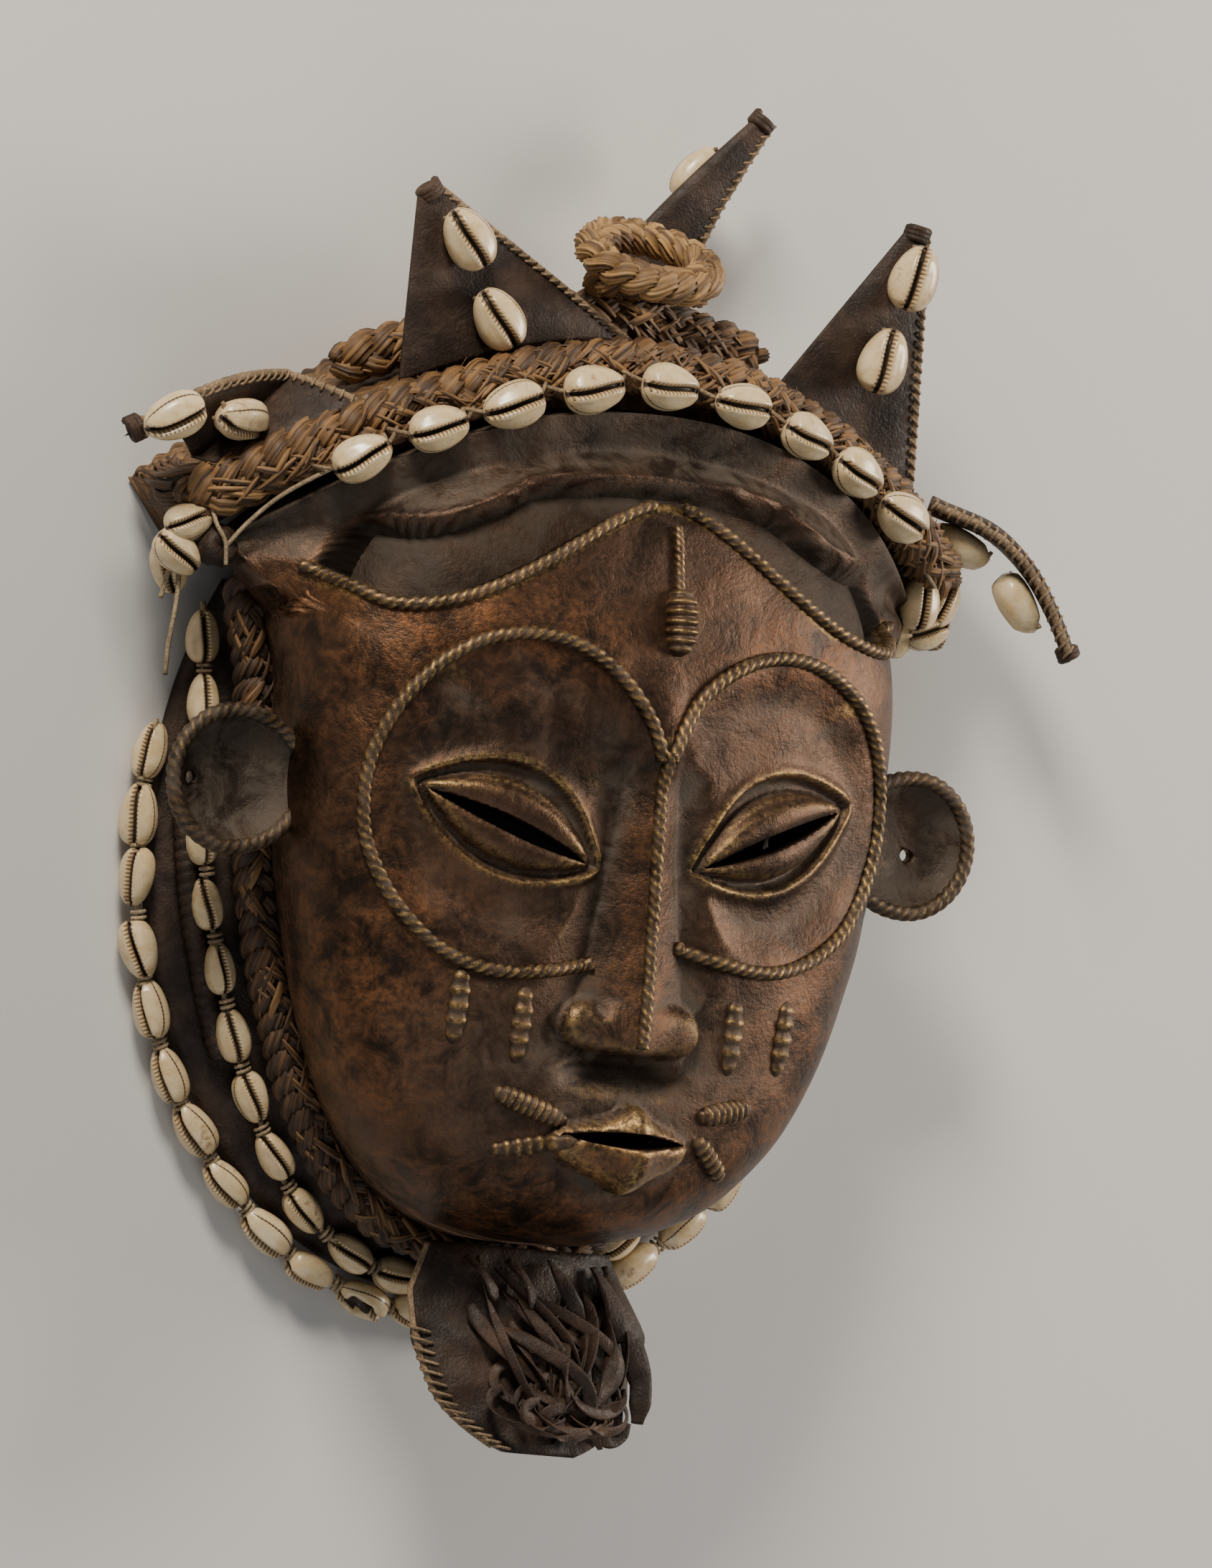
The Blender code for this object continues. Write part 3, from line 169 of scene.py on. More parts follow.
@dataclass
class Surface:
    """Points, faces and values for each point of a mesh in the making."""

    points: Array
    faces: Faces
    values: dict[str, Array] = field(default_factory=dict)

    @staticmethod
    def joined(parts: Sequence["Surface"]) -> "Surface":
        """Several surfaces as one.

        Args:
            parts: Surfaces that all hold the same values.

        Returns:
            One surface with every point and face.
        """
        faces: Faces = []
        first = 0
        for part in parts:
            faces += [tuple(first + corner for corner in face) for face in part.faces]
            first += len(part.points)
        names = parts[0].values
        values = {name: np.concatenate([part.values[name] for part in parts]) for name in names}
        return Surface(np.concatenate([part.points for part in parts]), faces, values)

    def with_value(self, name: str, value: float) -> "Surface":
        """The same surface with one value all over."""
        self.values[name] = np.full(len(self.points), float(value))
        return self

    def mesh(self, name: str) -> bpy.types.Mesh:
        """A mesh in the frame, in metres, with the values as attributes.

        Args:
            name: Its name.

        Returns:
            The mesh.
        """
        made = bpy.data.meshes.new(name)
        made.from_pydata(((self.points + ANCHOR) * MM).tolist(), [], self.faces)
        for key, value in self.values.items():
            wide = value.ndim == 2
            attribute = made.attributes.new(key, "FLOAT_VECTOR" if wide else "FLOAT", "POINT")
            attribute.data.foreach_set("vector" if wide else "value", value.astype(np.float32).ravel())
        made.shade_smooth()
        return made


def tube_faces(rings: int, sides: int, closed: bool = False) -> Faces:
    """Faces of a tube through rings of points, with its ends filled unless it is closed on itself.

    Args:
        rings: How many rings.
        sides: How many points in each.
        closed: Whether it closes on itself.

    Returns:
        The faces.
    """
    faces: Faces = []
    for ring in range(rings if closed else rings - 1):
        after = (ring + 1) % rings * sides
        for side in range(sides):
            turn = (side + 1) % sides
            faces.append((ring * sides + side, ring * sides + turn, after + turn, after + side))
    if not closed:
        faces.append(tuple(reversed(range(sides))))
        faces.append(tuple((rings - 1) * sides + side for side in range(sides)))
    return faces


def axes_of(path: Array, up: Array, closed: bool) -> tuple[Array, Array]:
    """The directions across and above a route.

    Args:
        path: The route.
        up: One direction, or one for each point.
        closed: Whether the route ends where it starts.

    Returns:
        The directions across and above.
    """
    if closed:
        along = unit(np.roll(path, -1, axis=0) - np.roll(path, 1, axis=0))
    else:
        along = unit(np.gradient(path, axis=0))
    across = unit(np.cross(along, np.broadcast_to(np.asarray(up, float), path.shape)))
    return across, unit(np.cross(across, along))


def sweep(
    path: Array,
    wide: Array,
    high: Array,
    up: Array | Triple = UP,
    closed: bool = False,
) -> Surface:
    """A tube of any section along a route, with its grain running along it.

    Args:
        path: The route, ring by ring.
        wide: Offsets across the route, ring by side.
        high: Offsets above the route, ring by side.
        up: The way up, once or for each ring.
        closed: Whether the route ends where it starts.

    Returns:
        The tube, with a value "grain" for streaks along it.
    """
    across, above = axes_of(path, np.asarray(up, float), closed)
    points = path[:, None] + wide[..., None] * across[:, None] + high[..., None] * above[:, None]
    steps = np.linalg.norm(np.diff(path, axis=0, prepend=path[:1]), axis=1)
    run = np.broadcast_to(np.cumsum(steps)[:, None], wide.shape)
    grain = np.stack([run, wide, high], axis=-1).reshape(-1, 3)
    faces = tube_faces(*wide.shape, closed=closed)
    return Surface(points.reshape(-1, 3), faces, {"grain": grain})


def round_tube(
    path: Array,
    radius: float | Array,
    sides: int = 8,
    up: Array | Triple = UP,
    flat: float = 1.0,
    closed: bool = False,
) -> Surface:
    """A round or flattened tube along a route.

    Args:
        path: The route.
        radius: Half the width, once or for each ring.
        sides: How many sides.
        up: The way up, once or for each ring.
        flat: Height as a share of the width.
        closed: Whether the route ends where it starts.

    Returns:
        The tube.
    """
    turn = (np.arange(sides) + 0.5) * TURN / sides
    size = np.broadcast_to(radius, len(path))[:, None]
    return sweep(path, size * np.cos(turn), flat * size * np.sin(turn), up, closed)


def twisted_rope(
    path: Array,
    radius: float,
    pitch: float,
    up: Array | Triple,
    closed: bool = False,
    strands: int = 3,
) -> Surface:
    """A rope of laid strands, seen as slanting lumps.

    Args:
        path: The route.
        radius: The rope's radius.
        pitch: Distance from one lump to the next.
        up: The way up, once or for each point.
        closed: Whether the rope runs in a ring.
        strands: How many strands.

    Returns:
        The rope, with a value "wear" that is high on the lumps.
    """
    count = max(12, round(length_of(path) / (0.26 * pitch)))
    ends = np.broadcast_to(np.asarray(up, float), path.shape)
    if closed:
        path = np.vstack([path, path[:1]])
        ends = np.vstack([ends, ends[:1]])
    run = np.concatenate([[0.0], np.cumsum(np.linalg.norm(np.diff(path, axis=0), axis=1))])
    wanted = np.linspace(0, run[-1], count, endpoint=not closed)
    route = np.stack([np.interp(wanted, run, path[:, axis]) for axis in range(3)], axis=1)
    above = np.stack([np.interp(wanted, run, ends[:, axis]) for axis in range(3)], axis=1)
    turns = max(1, round(run[-1] / (pitch * strands)))
    angle = (np.arange(16) + 0.5) * TURN / 16
    twist = TURN * turns * wanted / run[-1]
    lump = np.abs(np.cos(strands / 2 * (angle[None, :] - twist[:, None])))
    size = radius * (0.7 + 0.3 * lump**0.7)
    made = sweep(route, size * np.cos(angle), size * np.sin(angle), above, closed)
    made.values["wear"] = (0.9 * lump**4).ravel()
    return made


@dataclass
class Strand:
    """How one strand of a plait is made."""

    wave: float = 25.0
    steps: int = 18
    sides: int = 36
    ripples: int = 11
    ripple_depth: float = 0.13

    def plait(
        self,
        path: Array,
        half_width: float,
        half_height: float,
        up: Array | Triple,
        closed: bool = False,
        seed: int = 0,
    ) -> Surface:
        """Three strands plaited along a route.

        Args:
            path: The route.
            half_width: Half the plait's width.
            half_height: Half its height.
            up: The way up.
            closed: Whether the plait runs in a ring.
            seed: Which irregularities.

        Returns:
            The plait, with the values "grain" and "tone".
        """
        rng = np.random.default_rng(seed)
        turns = max(2, round(length_of(path) / self.wave))
        count = turns * self.steps + (0 if closed else 1)
        route = evenly(np.vstack([path, path[:1]]) if closed else path, turns * self.steps + 1)[:count]
        across, above = axes_of(route, np.asarray(up, float), closed)
        phase = np.arange(count) * TURN / self.steps
        angle = np.arange(self.sides) * TURN / self.sides
        strands = []
        for number in range(3):
            swing = phase + number * TURN / 3
            side = (0.5 * half_width * np.sin(swing))[:, None] * across
            rise = (0.42 * half_height * np.sin(2 * swing))[:, None] * above
            middle = route + side + rise
            turn = rng.uniform(0, 6)
            rough = 1 + self.ripple_depth * np.cos(
                self.ripples * angle[None, :] + turn + 0.35 * np.sin(phase[:, None] * 0.7 + turn)
            )
            rough = rough + 0.05 * np.cos(13 * angle[None, :] + turn * 3 + phase[:, None] * 0.15)
            swell = 1 + 0.08 * np.sin(phase * 0.37 + turn)
            if not closed:
                ends = np.minimum(np.arange(count), np.arange(count)[::-1])
                swell = swell * (0.55 + 0.45 * smooth_step(ends / 6))
            wide = 0.56 * half_width * swell[:, None] * rough * np.cos(angle)
            high = 0.54 * half_height * swell[:, None] * rough * np.sin(angle)
            strand = sweep(middle, wide, high, above, closed)
            tone = 0.5 + 0.3 * np.cos(5 * angle[None, :] + turn)
            tone = tone + 0.25 * np.sin(phase[:, None] * 0.5 + turn)
            strand.values["tone"] = np.clip(tone, 0, 1).ravel()
            strands.append(strand)
        return Surface.joined(strands)


def loose_strips(route: Array, radius: float, count: int, seed: int) -> Surface:
    """Flat strips of raffia that lie slanting over a braid.

    Args:
        route: The braid's middle line.
        radius: Its radius.
        count: How many strips.
        seed: Which ones.

    Returns:
        All of them as one surface.
    """
    rng = np.random.default_rng(seed)
    across, above = axes_of(route, np.array(UP), False)
    step = length_of(route) / (len(route) - 1)
    share = np.linspace(-0.5, 0.5, 9)
    made = []
    for _ in range(count):
        spin = rng.choice([-1.0, 1.0]) * rng.uniform(0.8, 1.5)
        angle = rng.uniform(0.2, math.pi - 0.2) + spin * share
        reach = rng.uniform(9.0, 16.0) / step
        at = (rng.uniform(reach, len(route) - reach) + reach * share).clip(0, len(route) - 1)
        numbers = np.arange(len(route))
        middle, side, top = (
            np.stack([np.interp(at, numbers, rows[:, axis]) for axis in range(3)], axis=1)
            for rows in (route, across, above)
        )
        out = unit(np.cos(angle)[:, None] * side + np.sin(angle)[:, None] * top)
        lift = 1.02 + 0.05 * np.cos(TURN * share)
        width = rng.uniform(0.6, 1.4) * np.sqrt(1 - (1.9 * share) ** 2)
        strip = round_tube(middle + radius * lift[:, None] * out, width, 6, out, 0.35)
        made.append(strip.with_value("tone", rng.uniform(0, 1)))
    return Surface.joined(made)


def whipped_edge(edge: Array, inward: Array, face: Array, pitch: float, seed: int) -> list[Surface]:
    """A rolled seam with thread whipped over it.

    Args:
        edge: The leather's edge.
        inward: The way into the leather.
        face: The way that the leather looks.
        pitch: Distance from one stitch to the next.
        seed: Which irregularities.

    Returns:
        The seam and each stitch.
    """
    rng = np.random.default_rng(seed)
    seam = evenly(edge, 80)
    seam = seam + 0.25 * waves(seam, 9.0, seed)[:, None] * face
    made = [round_tube(seam, 1.3, 8, face)]
    places = evenly(edge, max(3, int(length_of(edge) / pitch)))
    for place, way in zip(places, unit(np.gradient(places, axis=0))):
        slant = way * rng.uniform(0.7, 1.5)
        reach = rng.uniform(1.7, 2.5)
        path = [
            place + inward * reach + face * 1.6 + slant,
            place + inward * 1.0 + face * 2.3 + slant * 0.5,
            place - inward * 1.2 + face * 0.9,
            place - inward * 1.2 - face * 0.9,
            place + inward * 1.0 - face * 2.3 - slant * 0.5,
            place + inward * reach - face * 1.6 - slant,
        ]
        made.append(round_tube(curved(path, 11), 0.48, 5, way))
    return made


class Graph:
    """A material's nodes, made and joined by short calls."""

    def __init__(self, name: str) -> None:
        """Starts a material with a Principled shader.

        Args:
            name: The material's name.
        """
        self.made = bpy.data.materials.new(name)
        self.made.use_nodes = True
        self.tree = self.made.node_tree
        self.shader = self.tree.nodes["Principled BSDF"]
        self.place = self.tree.nodes.new("ShaderNodeTexCoord").outputs["Object"]

    def join(self, source: object, socket: Socket) -> None:
        """Links a socket to another, or sets a plain value on it.

        Args:
            source: A socket or a plain value.
            socket: What takes it.
        """
        if isinstance(source, Socket):
            self.tree.links.new(source, socket)
        else:
            socket.default_value = source

    def attribute(self, name: str, vector: bool = False) -> Socket:
        """A value that the mesh holds for each point.

        Args:
            name: The value's name.
            vector: Whether it has three parts.

        Returns:
            A socket with it.
        """
        node = self.tree.nodes.new("ShaderNodeAttribute")
        node.attribute_name = name
        return node.outputs["Vector" if vector else "Fac"]

    def scale(self, node: bpy.types.Node, place: Socket, scale: Triple) -> None:
        """Gives a texture its place and the size of its grain.

        Args:
            node: The texture.
            place: Coordinates.
            scale: Grains to one unit of them, along each axis.
        """
        mapping = self.tree.nodes.new("ShaderNodeMapping")
        self.join(place, mapping.inputs["Vector"])
        mapping.inputs["Scale"].default_value = scale
        self.join(mapping.outputs["Vector"], node.inputs["Vector"])

    def noise(
        self,
        size: float,
        detail: float = 4.0,
        rough: float = 0.6,
        stretch: Triple = (1.0, 1.0, 1.0),
        place: Socket | None = None,
        warp: float = 0.0,
    ) -> Socket:
        """Noise of a given grain size.

        Args:
            size: Size of a grain, in millimetres.
            detail: How many finer layers.
            rough: How strong the finer layers are.
            stretch: How much longer the grain is along each axis.
            place: Coordinates in millimetres, or none for the frame's own.
            warp: How far the grain is bent.

        Returns:
            A socket of 0 to 1.
        """
        unit_size = 1.0 if place is not None else 1.0 / MM
        node = self.tree.nodes.new("ShaderNodeTexNoise")
        self.scale(node, place or self.place, tuple(unit_size / size / share for share in stretch))
        node.inputs["Scale"].default_value = 1.0
        node.inputs["Detail"].default_value = detail
        node.inputs["Roughness"].default_value = rough
        node.inputs["Distortion"].default_value = warp
        return node.outputs["Fac"]

    def cells(self, size: float) -> Socket:
        """Distance to the nearest of scattered points, for pits and grain.

        Args:
            size: From one point to the next, in millimetres.

        Returns:
            A socket with the distance.
        """
        node = self.tree.nodes.new("ShaderNodeTexVoronoi")
        self.scale(node, self.place, (1.0 / MM / size,) * 3)
        node.inputs["Scale"].default_value = 1.0
        return node.outputs["Distance"]

    def sum(self, operation: str, first: object, second: object = 0.0) -> Socket:
        """One sum of two values, by the name of its operation.

        Args:
            operation: What is done with them.
            first: The first value.
            second: The second value.

        Returns:
            The result.
        """
        node = self.tree.nodes.new("ShaderNodeMath")
        node.operation = operation
        self.join(first, node.inputs[0])
        self.join(second, node.inputs[1])
        return node.outputs[0]

    def between(
        self, value: object, low: float, high: float, to_low: float = 0.0, to_high: float = 1.0
    ) -> Socket:
        """A value moved from one range to another, with smooth ends.

        Args:
            value: The value to move.
            low: Where its range starts.
            high: Where its range ends.
            to_low: What the start becomes.
            to_high: What the end becomes.

        Returns:
            The moved value.
        """
        node = self.tree.nodes.new("ShaderNodeMapRange")
        node.interpolation_type = "SMOOTHSTEP"
        self.join(value, node.inputs["Value"])
        for name, number in (("From Min", low), ("From Max", high), ("To Min", to_low), ("To Max", to_high)):
            node.inputs[name].default_value = number
        return node.outputs["Result"]

    def mix(self, share: object, first: object, second: object) -> Socket:
        """One colour laid over another.

        Args:
            share: How much of the second.
            first: One colour.
            second: The other.

        Returns:
            The colour.
        """
        node = self.tree.nodes.new("ShaderNodeMix")
        node.data_type = "RGBA"
        self.join(share, node.inputs["Factor"])
        for colour, socket in ((first, node.inputs[6]), (second, node.inputs[7])):
            self.join((*colour, 1.0) if isinstance(colour, tuple) else colour, socket)
        return node.outputs[2]

    def blend(self, share: object, first: object, second: object) -> Socket:
        """One number laid over another.

        Args:
            share: How much of the second.
            first: One number.
            second: The other.

        Returns:
            The number.
        """
        node = self.tree.nodes.new("ShaderNodeMix")
        self.join(share, node.inputs["Factor"])
        self.join(first, node.inputs[2])
        self.join(second, node.inputs[3])
        return node.outputs[0]

    def bump(self, height: object, depth: float, below: Socket | None = None) -> Socket:
        """Bump of a given depth in millimetres, over another bump.

        Args:
            height: What stands out.
            depth: How far, in millimetres.
            below: The bump beneath.

        Returns:
            The bent normal.
        """
        node = self.tree.nodes.new("ShaderNodeBump")
        node.inputs["Strength"].default_value = 1.0
        node.inputs["Distance"].default_value = depth * MM
        self.join(height, node.inputs["Height"])
        if below is not None:
            self.join(below, node.inputs["Normal"])
        return node.outputs["Normal"]

    def finish(
        self, colour: object, rough: object, metal: object = 0.0, normal: Socket | None = None
    ) -> bpy.types.Material:
        """Joins the last values to the shader.

        Args:
            colour: The base colour.
            rough: The roughness.
            metal: How much of a metal it is.
            normal: The last bump.

        Returns:
            The finished material.
        """
        self.join((*colour, 1.0) if isinstance(colour, tuple) else colour, self.shader.inputs["Base Color"])
        self.join(rough, self.shader.inputs["Roughness"])
        self.join(metal, self.shader.inputs["Metallic"])
        if normal is not None:
            self.join(normal, self.shader.inputs["Normal"])
        return self.made


@dataclass(frozen=True)
class Finish:
    """A finish of the mask, which makes its material once."""

    name: str
    slot: str

    def build(self, graph: Graph) -> bpy.types.Material:
        """Fills the graph. Each finish has its own."""
        raise NotImplementedError

    def material(self) -> bpy.types.Material:
        """The finish's material."""
        return bpy.data.materials.get(self.name) or self.build(Graph(self.name))


@dataclass(frozen=True)
class BronzeFinish(Finish):
    """Dark patinated bronze: dusty in the hollows, coppery where it is rubbed and where a highlight is
    painted, golden on sharp edges, and near-black as painted shade under the flange and the nose.
    """

    dark: Triple = (0.024, 0.016, 0.012)
    brown: Triple = (0.075, 0.041, 0.025)
    # copper: rubbed metal, also used as a painted highlight on the chin, jaw, cheek edges and brow
    copper: Triple = (0.25, 0.098, 0.034)
    gold: Triple = (0.46, 0.3, 0.115)
    dust: Triple = (0.088, 0.067, 0.048)
    # near-black painted shade for the hollow under the flange, under the nose and inside the mask
    shade_black: Triple = (0.014, 0.01, 0.008)

    def build(self, graph: Graph) -> bpy.types.Material:
        """Patina, rubbed patches that are partly painted highlights, dust, painted near-black shade and pits.

        Args:
            graph: The material's nodes.

        Returns:
            The finished material.
        """
        broad = graph.noise(34.0, 5.0, 0.62, warp=0.4)
        patch = graph.noise(11.0, 6.0, 0.68, warp=0.6)
        fine = graph.noise(2.2, 5.0, 0.7)
        grit = graph.noise(0.7, 3.0, 0.7)
        scratch = graph.noise(1.6, 4.0, 0.7, stretch=(7.0, 1.0, 7.0))
        rubbed_and_lit = graph.attribute("rubbed_and_lit")
        wear = graph.attribute("wear")
        dusty = graph.attribute("dust")
        painted_shade = graph.attribute("painted_shade")
        base = graph.mix(graph.between(broad, 0.38, 0.64), self.dark, self.brown)
        broken = graph.between(fine, 0.34, 0.62, 0.3, 1.0)
        # copper patches: rubbed metal, and on the chin, jaw, cheek edges and brow partly a painted highlight
        rubbed = graph.sum("MULTIPLY", graph.between(patch, 0.34, 0.7), broken)
        rubbed = graph.sum("MULTIPLY", rubbed, rubbed_and_lit)
        base = graph.mix(rubbed, base, self.copper)
        edge = graph.sum("MULTIPLY", wear, graph.between(fine, 0.38, 0.62, 0.12, 1.0))
        base = graph.mix(edge, base, self.gold)
        film = graph.sum("MULTIPLY", graph.between(patch, 0.36, 0.66, 0.25, 1.0), dusty)
        film = graph.sum("MULTIPLY", film, graph.between(edge, 0.1, 0.6, 1.0, 0.2))
        base = graph.mix(film, base, self.dust)
        # painted shade: near-black where the painted shade value is high
        base = graph.mix(painted_shade, base, self.shade_black)
        rough = graph.between(fine, 0.3, 0.7, 0.3, 0.46)
        rough = graph.blend(film, rough, 0.8)
        rough = graph.blend(painted_shade, rough, 0.8)
        metal = graph.blend(painted_shade, graph.blend(film, 0.92, 0.35), 1.0)
        normal = graph.bump(patch, 0.6)
        normal = graph.bump(fine, 0.26, normal)
        normal = graph.bump(scratch, 0.05, normal)
        normal = graph.bump(grit, 0.05, normal)
        return graph.finish(base, rough, metal, normal)


class FibreTone(Enum):
    """How far raffia has darkened with age."""

    GOLD = ((0.09, 0.042, 0.014), (0.46, 0.27, 0.1))
    BROWN = ((0.034, 0.015, 0.006), (0.27, 0.14, 0.048))
    DARK = ((0.018, 0.009, 0.005), (0.12, 0.058, 0.022))


@dataclass(frozen=True)
class RaffiaFinish(Finish):
    """Dry split raffia with streaks along each strand."""

    tone: FibreTone = FibreTone.BROWN

    def build(self, graph: Graph) -> bpy.types.Material:
        """Streaks, lighter strips and dirt between them.

        Args:
            graph: The material's nodes.

        Returns:
            The finished material.
        """
        deep, light = self.tone.value
        grain = graph.attribute("grain", vector=True)
        strip = graph.noise(1.7, 3.0, 0.6, stretch=(14.0, 1.0, 1.0), place=grain)
        hair = graph.noise(0.45, 3.0, 0.7, stretch=(26.0, 1.0, 1.0), place=grain)
        blotch = graph.noise(13.0, 4.0, 0.6)
        colour = graph.mix(graph.between(strip, 0.36, 0.64), deep, light)
        colour = graph.mix(graph.between(hair, 0.3, 0.62, 0.55, 0.0), colour, deep)
        colour = graph.mix(graph.between(blotch, 0.42, 0.64, 0.0, 0.5), colour, deep)
        tone = graph.attribute("tone")
        pale = tuple(min(1.0, 1.25 * part) for part in light)
        colour = graph.mix(graph.between(tone, 0.62, 0.95, 0.0, 0.45), colour, pale)
        normal = graph.bump(strip, 0.7)
        normal = graph.bump(hair, 0.25, normal)
        rough = graph.between(hair, 0.3, 0.7, 0.45, 0.75)
        return graph.finish(colour, rough, 0.0, normal)


@dataclass(frozen=True)
class LeatherFinish(Finish):
    """Old dark leather, dry and rubbed along its creases."""

    deep: Triple = (0.017, 0.0095, 0.006)
    rubbed: Triple = (0.056, 0.032, 0.02)
    creased: Triple = (0.095, 0.058, 0.036)
    sheen: float = 0.3

    def build(self, graph: Graph) -> bpy.types.Material:
        """Grain, creases and dusty rubbed places.

        Args:
            graph: The material's nodes.

        Returns:
            The finished material.
        """
        grain = graph.cells(0.9)
        crease = graph.noise(5.0, 5.0, 0.65, warp=1.2)
        blotch = graph.noise(17.0, 5.0, 0.65)
        colour = graph.mix(graph.between(blotch, 0.36, 0.68), self.deep, self.rubbed)
        colour = graph.mix(graph.between(crease, 0.55, 0.75, 0.0, 0.45), colour, self.creased)
        graph.shader.inputs["Specular IOR Level"].default_value = self.sheen
        rough = graph.between(crease, 0.35, 0.7, 0.5, 0.72)
        normal = graph.bump(crease, 0.5)
        normal = graph.bump(grain, 0.12, normal)
        return graph.finish(colour, rough, 0.0, normal)


@dataclass(frozen=True)
class ShellFinish(Finish):
    """Cream cowrie shell, glossy, with a toothed slit painted near-black as shade, and brown stains."""

    cream: Triple = (0.6, 0.43, 0.22)
    stain: Triple = (0.3, 0.15, 0.05)
    slit: Triple = (0.03, 0.016, 0.008)
    pale: Triple = (0.74, 0.6, 0.37)
    between_teeth: Triple = (0.12, 0.065, 0.03)
    tooth_pitch: float = 1.3

    def build(self, graph: Graph) -> bpy.types.Material:
        """Cream ground, stains, teeth beside the slit and the slit itself, painted near-black as shade.

        Args:
            graph: The material's nodes.

        Returns:
            The finished material.
        """
        place = graph.attribute("place", vector=True)
        split = graph.tree.nodes.new("ShaderNodeSeparateXYZ")
        graph.join(place, split.inputs[0])
        along, beside, stained = split.outputs[0], split.outputs[1], split.outputs[2]
        off = graph.sum("ABSOLUTE", beside)
        wave = graph.sum("SINE", graph.sum("MULTIPLY", along, TURN / self.tooth_pitch))
        reach = graph.between(wave, -0.2, 0.9, 0.75, 1.75)
        tooth = graph.between(graph.sum("SUBTRACT", off, reach), -0.25, 0.25, 1.0, 0.0)
        line = graph.between(off, 0.42, 0.8, 1.0, 0.0)
        blotch = graph.noise(4.5, 5.0, 0.65, warp=0.5)
        speck = graph.noise(1.1, 3.0, 0.6)
        ground = graph.mix(graph.between(blotch, 0.35, 0.7), self.cream, self.pale)
        marks = graph.sum("MULTIPLY", graph.between(blotch, 0.5, 0.72), stained)
        ground = graph.mix(marks, ground, self.stain)
        ground = graph.mix(graph.between(speck, 0.66, 0.72, 0.0, 0.6), ground, self.stain)
        ground = graph.mix(graph.between(off, 1.2, 3.4, 0.22, 0.0), ground, self.stain)
        colour = graph.mix(graph.sum("MULTIPLY", tooth, 0.8), ground, self.between_teeth)
        # painted shade: the slit is near-black, standing in for the shadowed opening into the shell
        colour = graph.mix(line, colour, self.slit)
        normal = graph.bump(tooth, -0.35)
        normal = graph.bump(blotch, 0.1, normal)
        graph.shader.inputs["Coat Weight"].default_value = 0.35
        graph.shader.inputs["Coat Roughness"].default_value = 0.2
        rough = graph.blend(line, graph.between(blotch, 0.3, 0.7, 0.24, 0.42), 0.8)
        return graph.finish(colour, rough, 0.0, normal)


@dataclass(frozen=True)
class ThreadFinish(Finish):
    """Twisted plant thread, paler than the leather that it sews."""

    colour: Triple = (0.33, 0.22, 0.12)

    def build(self, graph: Graph) -> bpy.types.Material:
        """Fibres and grime.

        Args:
            graph: The material's nodes.

        Returns:
            The finished material.
        """
        hair = graph.noise(0.6, 3.0, 0.7)
        grime = graph.noise(9.0, 4.0, 0.6)
        dark = tuple(0.3 * part for part in self.colour)
        colour = graph.mix(graph.between(hair, 0.35, 0.6), dark, self.colour)
        colour = graph.mix(graph.between(grime, 0.4, 0.65, 0.0, 0.65), colour, dark)
        return graph.finish(colour, 0.8, 0.0, graph.bump(hair, 0.2))


@dataclass(frozen=True)
class FloorFinish(Finish):
    """A plain pale studio floor."""

    grey: Triple = (0.6, 0.585, 0.56)
    pale: Triple = (0.66, 0.645, 0.62)

    def build(self, graph: Graph) -> bpy.types.Material:
        """Matt, almost even."""
        cloud = graph.noise(300.0, 2.0, 0.5)
        return graph.finish(graph.mix(cloud, self.grey, self.pale), 0.85)


BRONZE = BronzeFinish("patinated_bronze", "bronze")
RAFFIA = RaffiaFinish("brown_raffia", "raffia")
GOLD_RAFFIA = RaffiaFinish("golden_raffia", "raffia", FibreTone.GOLD)
DARK_RAFFIA = RaffiaFinish("dark_raffia", "raffia", FibreTone.DARK)
LEATHER = LeatherFinish("old_leather", "leather")
DARK_LEATHER = LeatherFinish("thong_leather", "leather", (0.019, 0.01, 0.006), (0.062, 0.033, 0.019))
SHELL = ShellFinish("cowrie_shell", "shell")
THREAD = ThreadFinish("plant_thread", "leather")
CORD = ThreadFinish("pale_cord", "raffia", (0.45, 0.33, 0.19))
FLOOR = FloorFinish("studio_floor", "")


def place_piece(surface: Surface, name: str, finish: Finish, nodes: Sequence[str] = ()) -> bpy.types.Object:
    """Puts a finished piece on the mask.

    Args:
        surface: Its mesh.
        name: Its name.
        finish: Its finish.
        nodes: The CAD nodes that it stands for.

    Returns:
        The piece.
    """
    made = bpy.data.objects.new(name, surface.mesh(name))
    made.data.materials.append(finish.material())
    bpy.context.scene.collection.objects.link(made)
    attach(made, BODY)
    if nodes:
        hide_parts(*nodes)
    log.info("%s: %d points", name, len(surface.points))
    return made


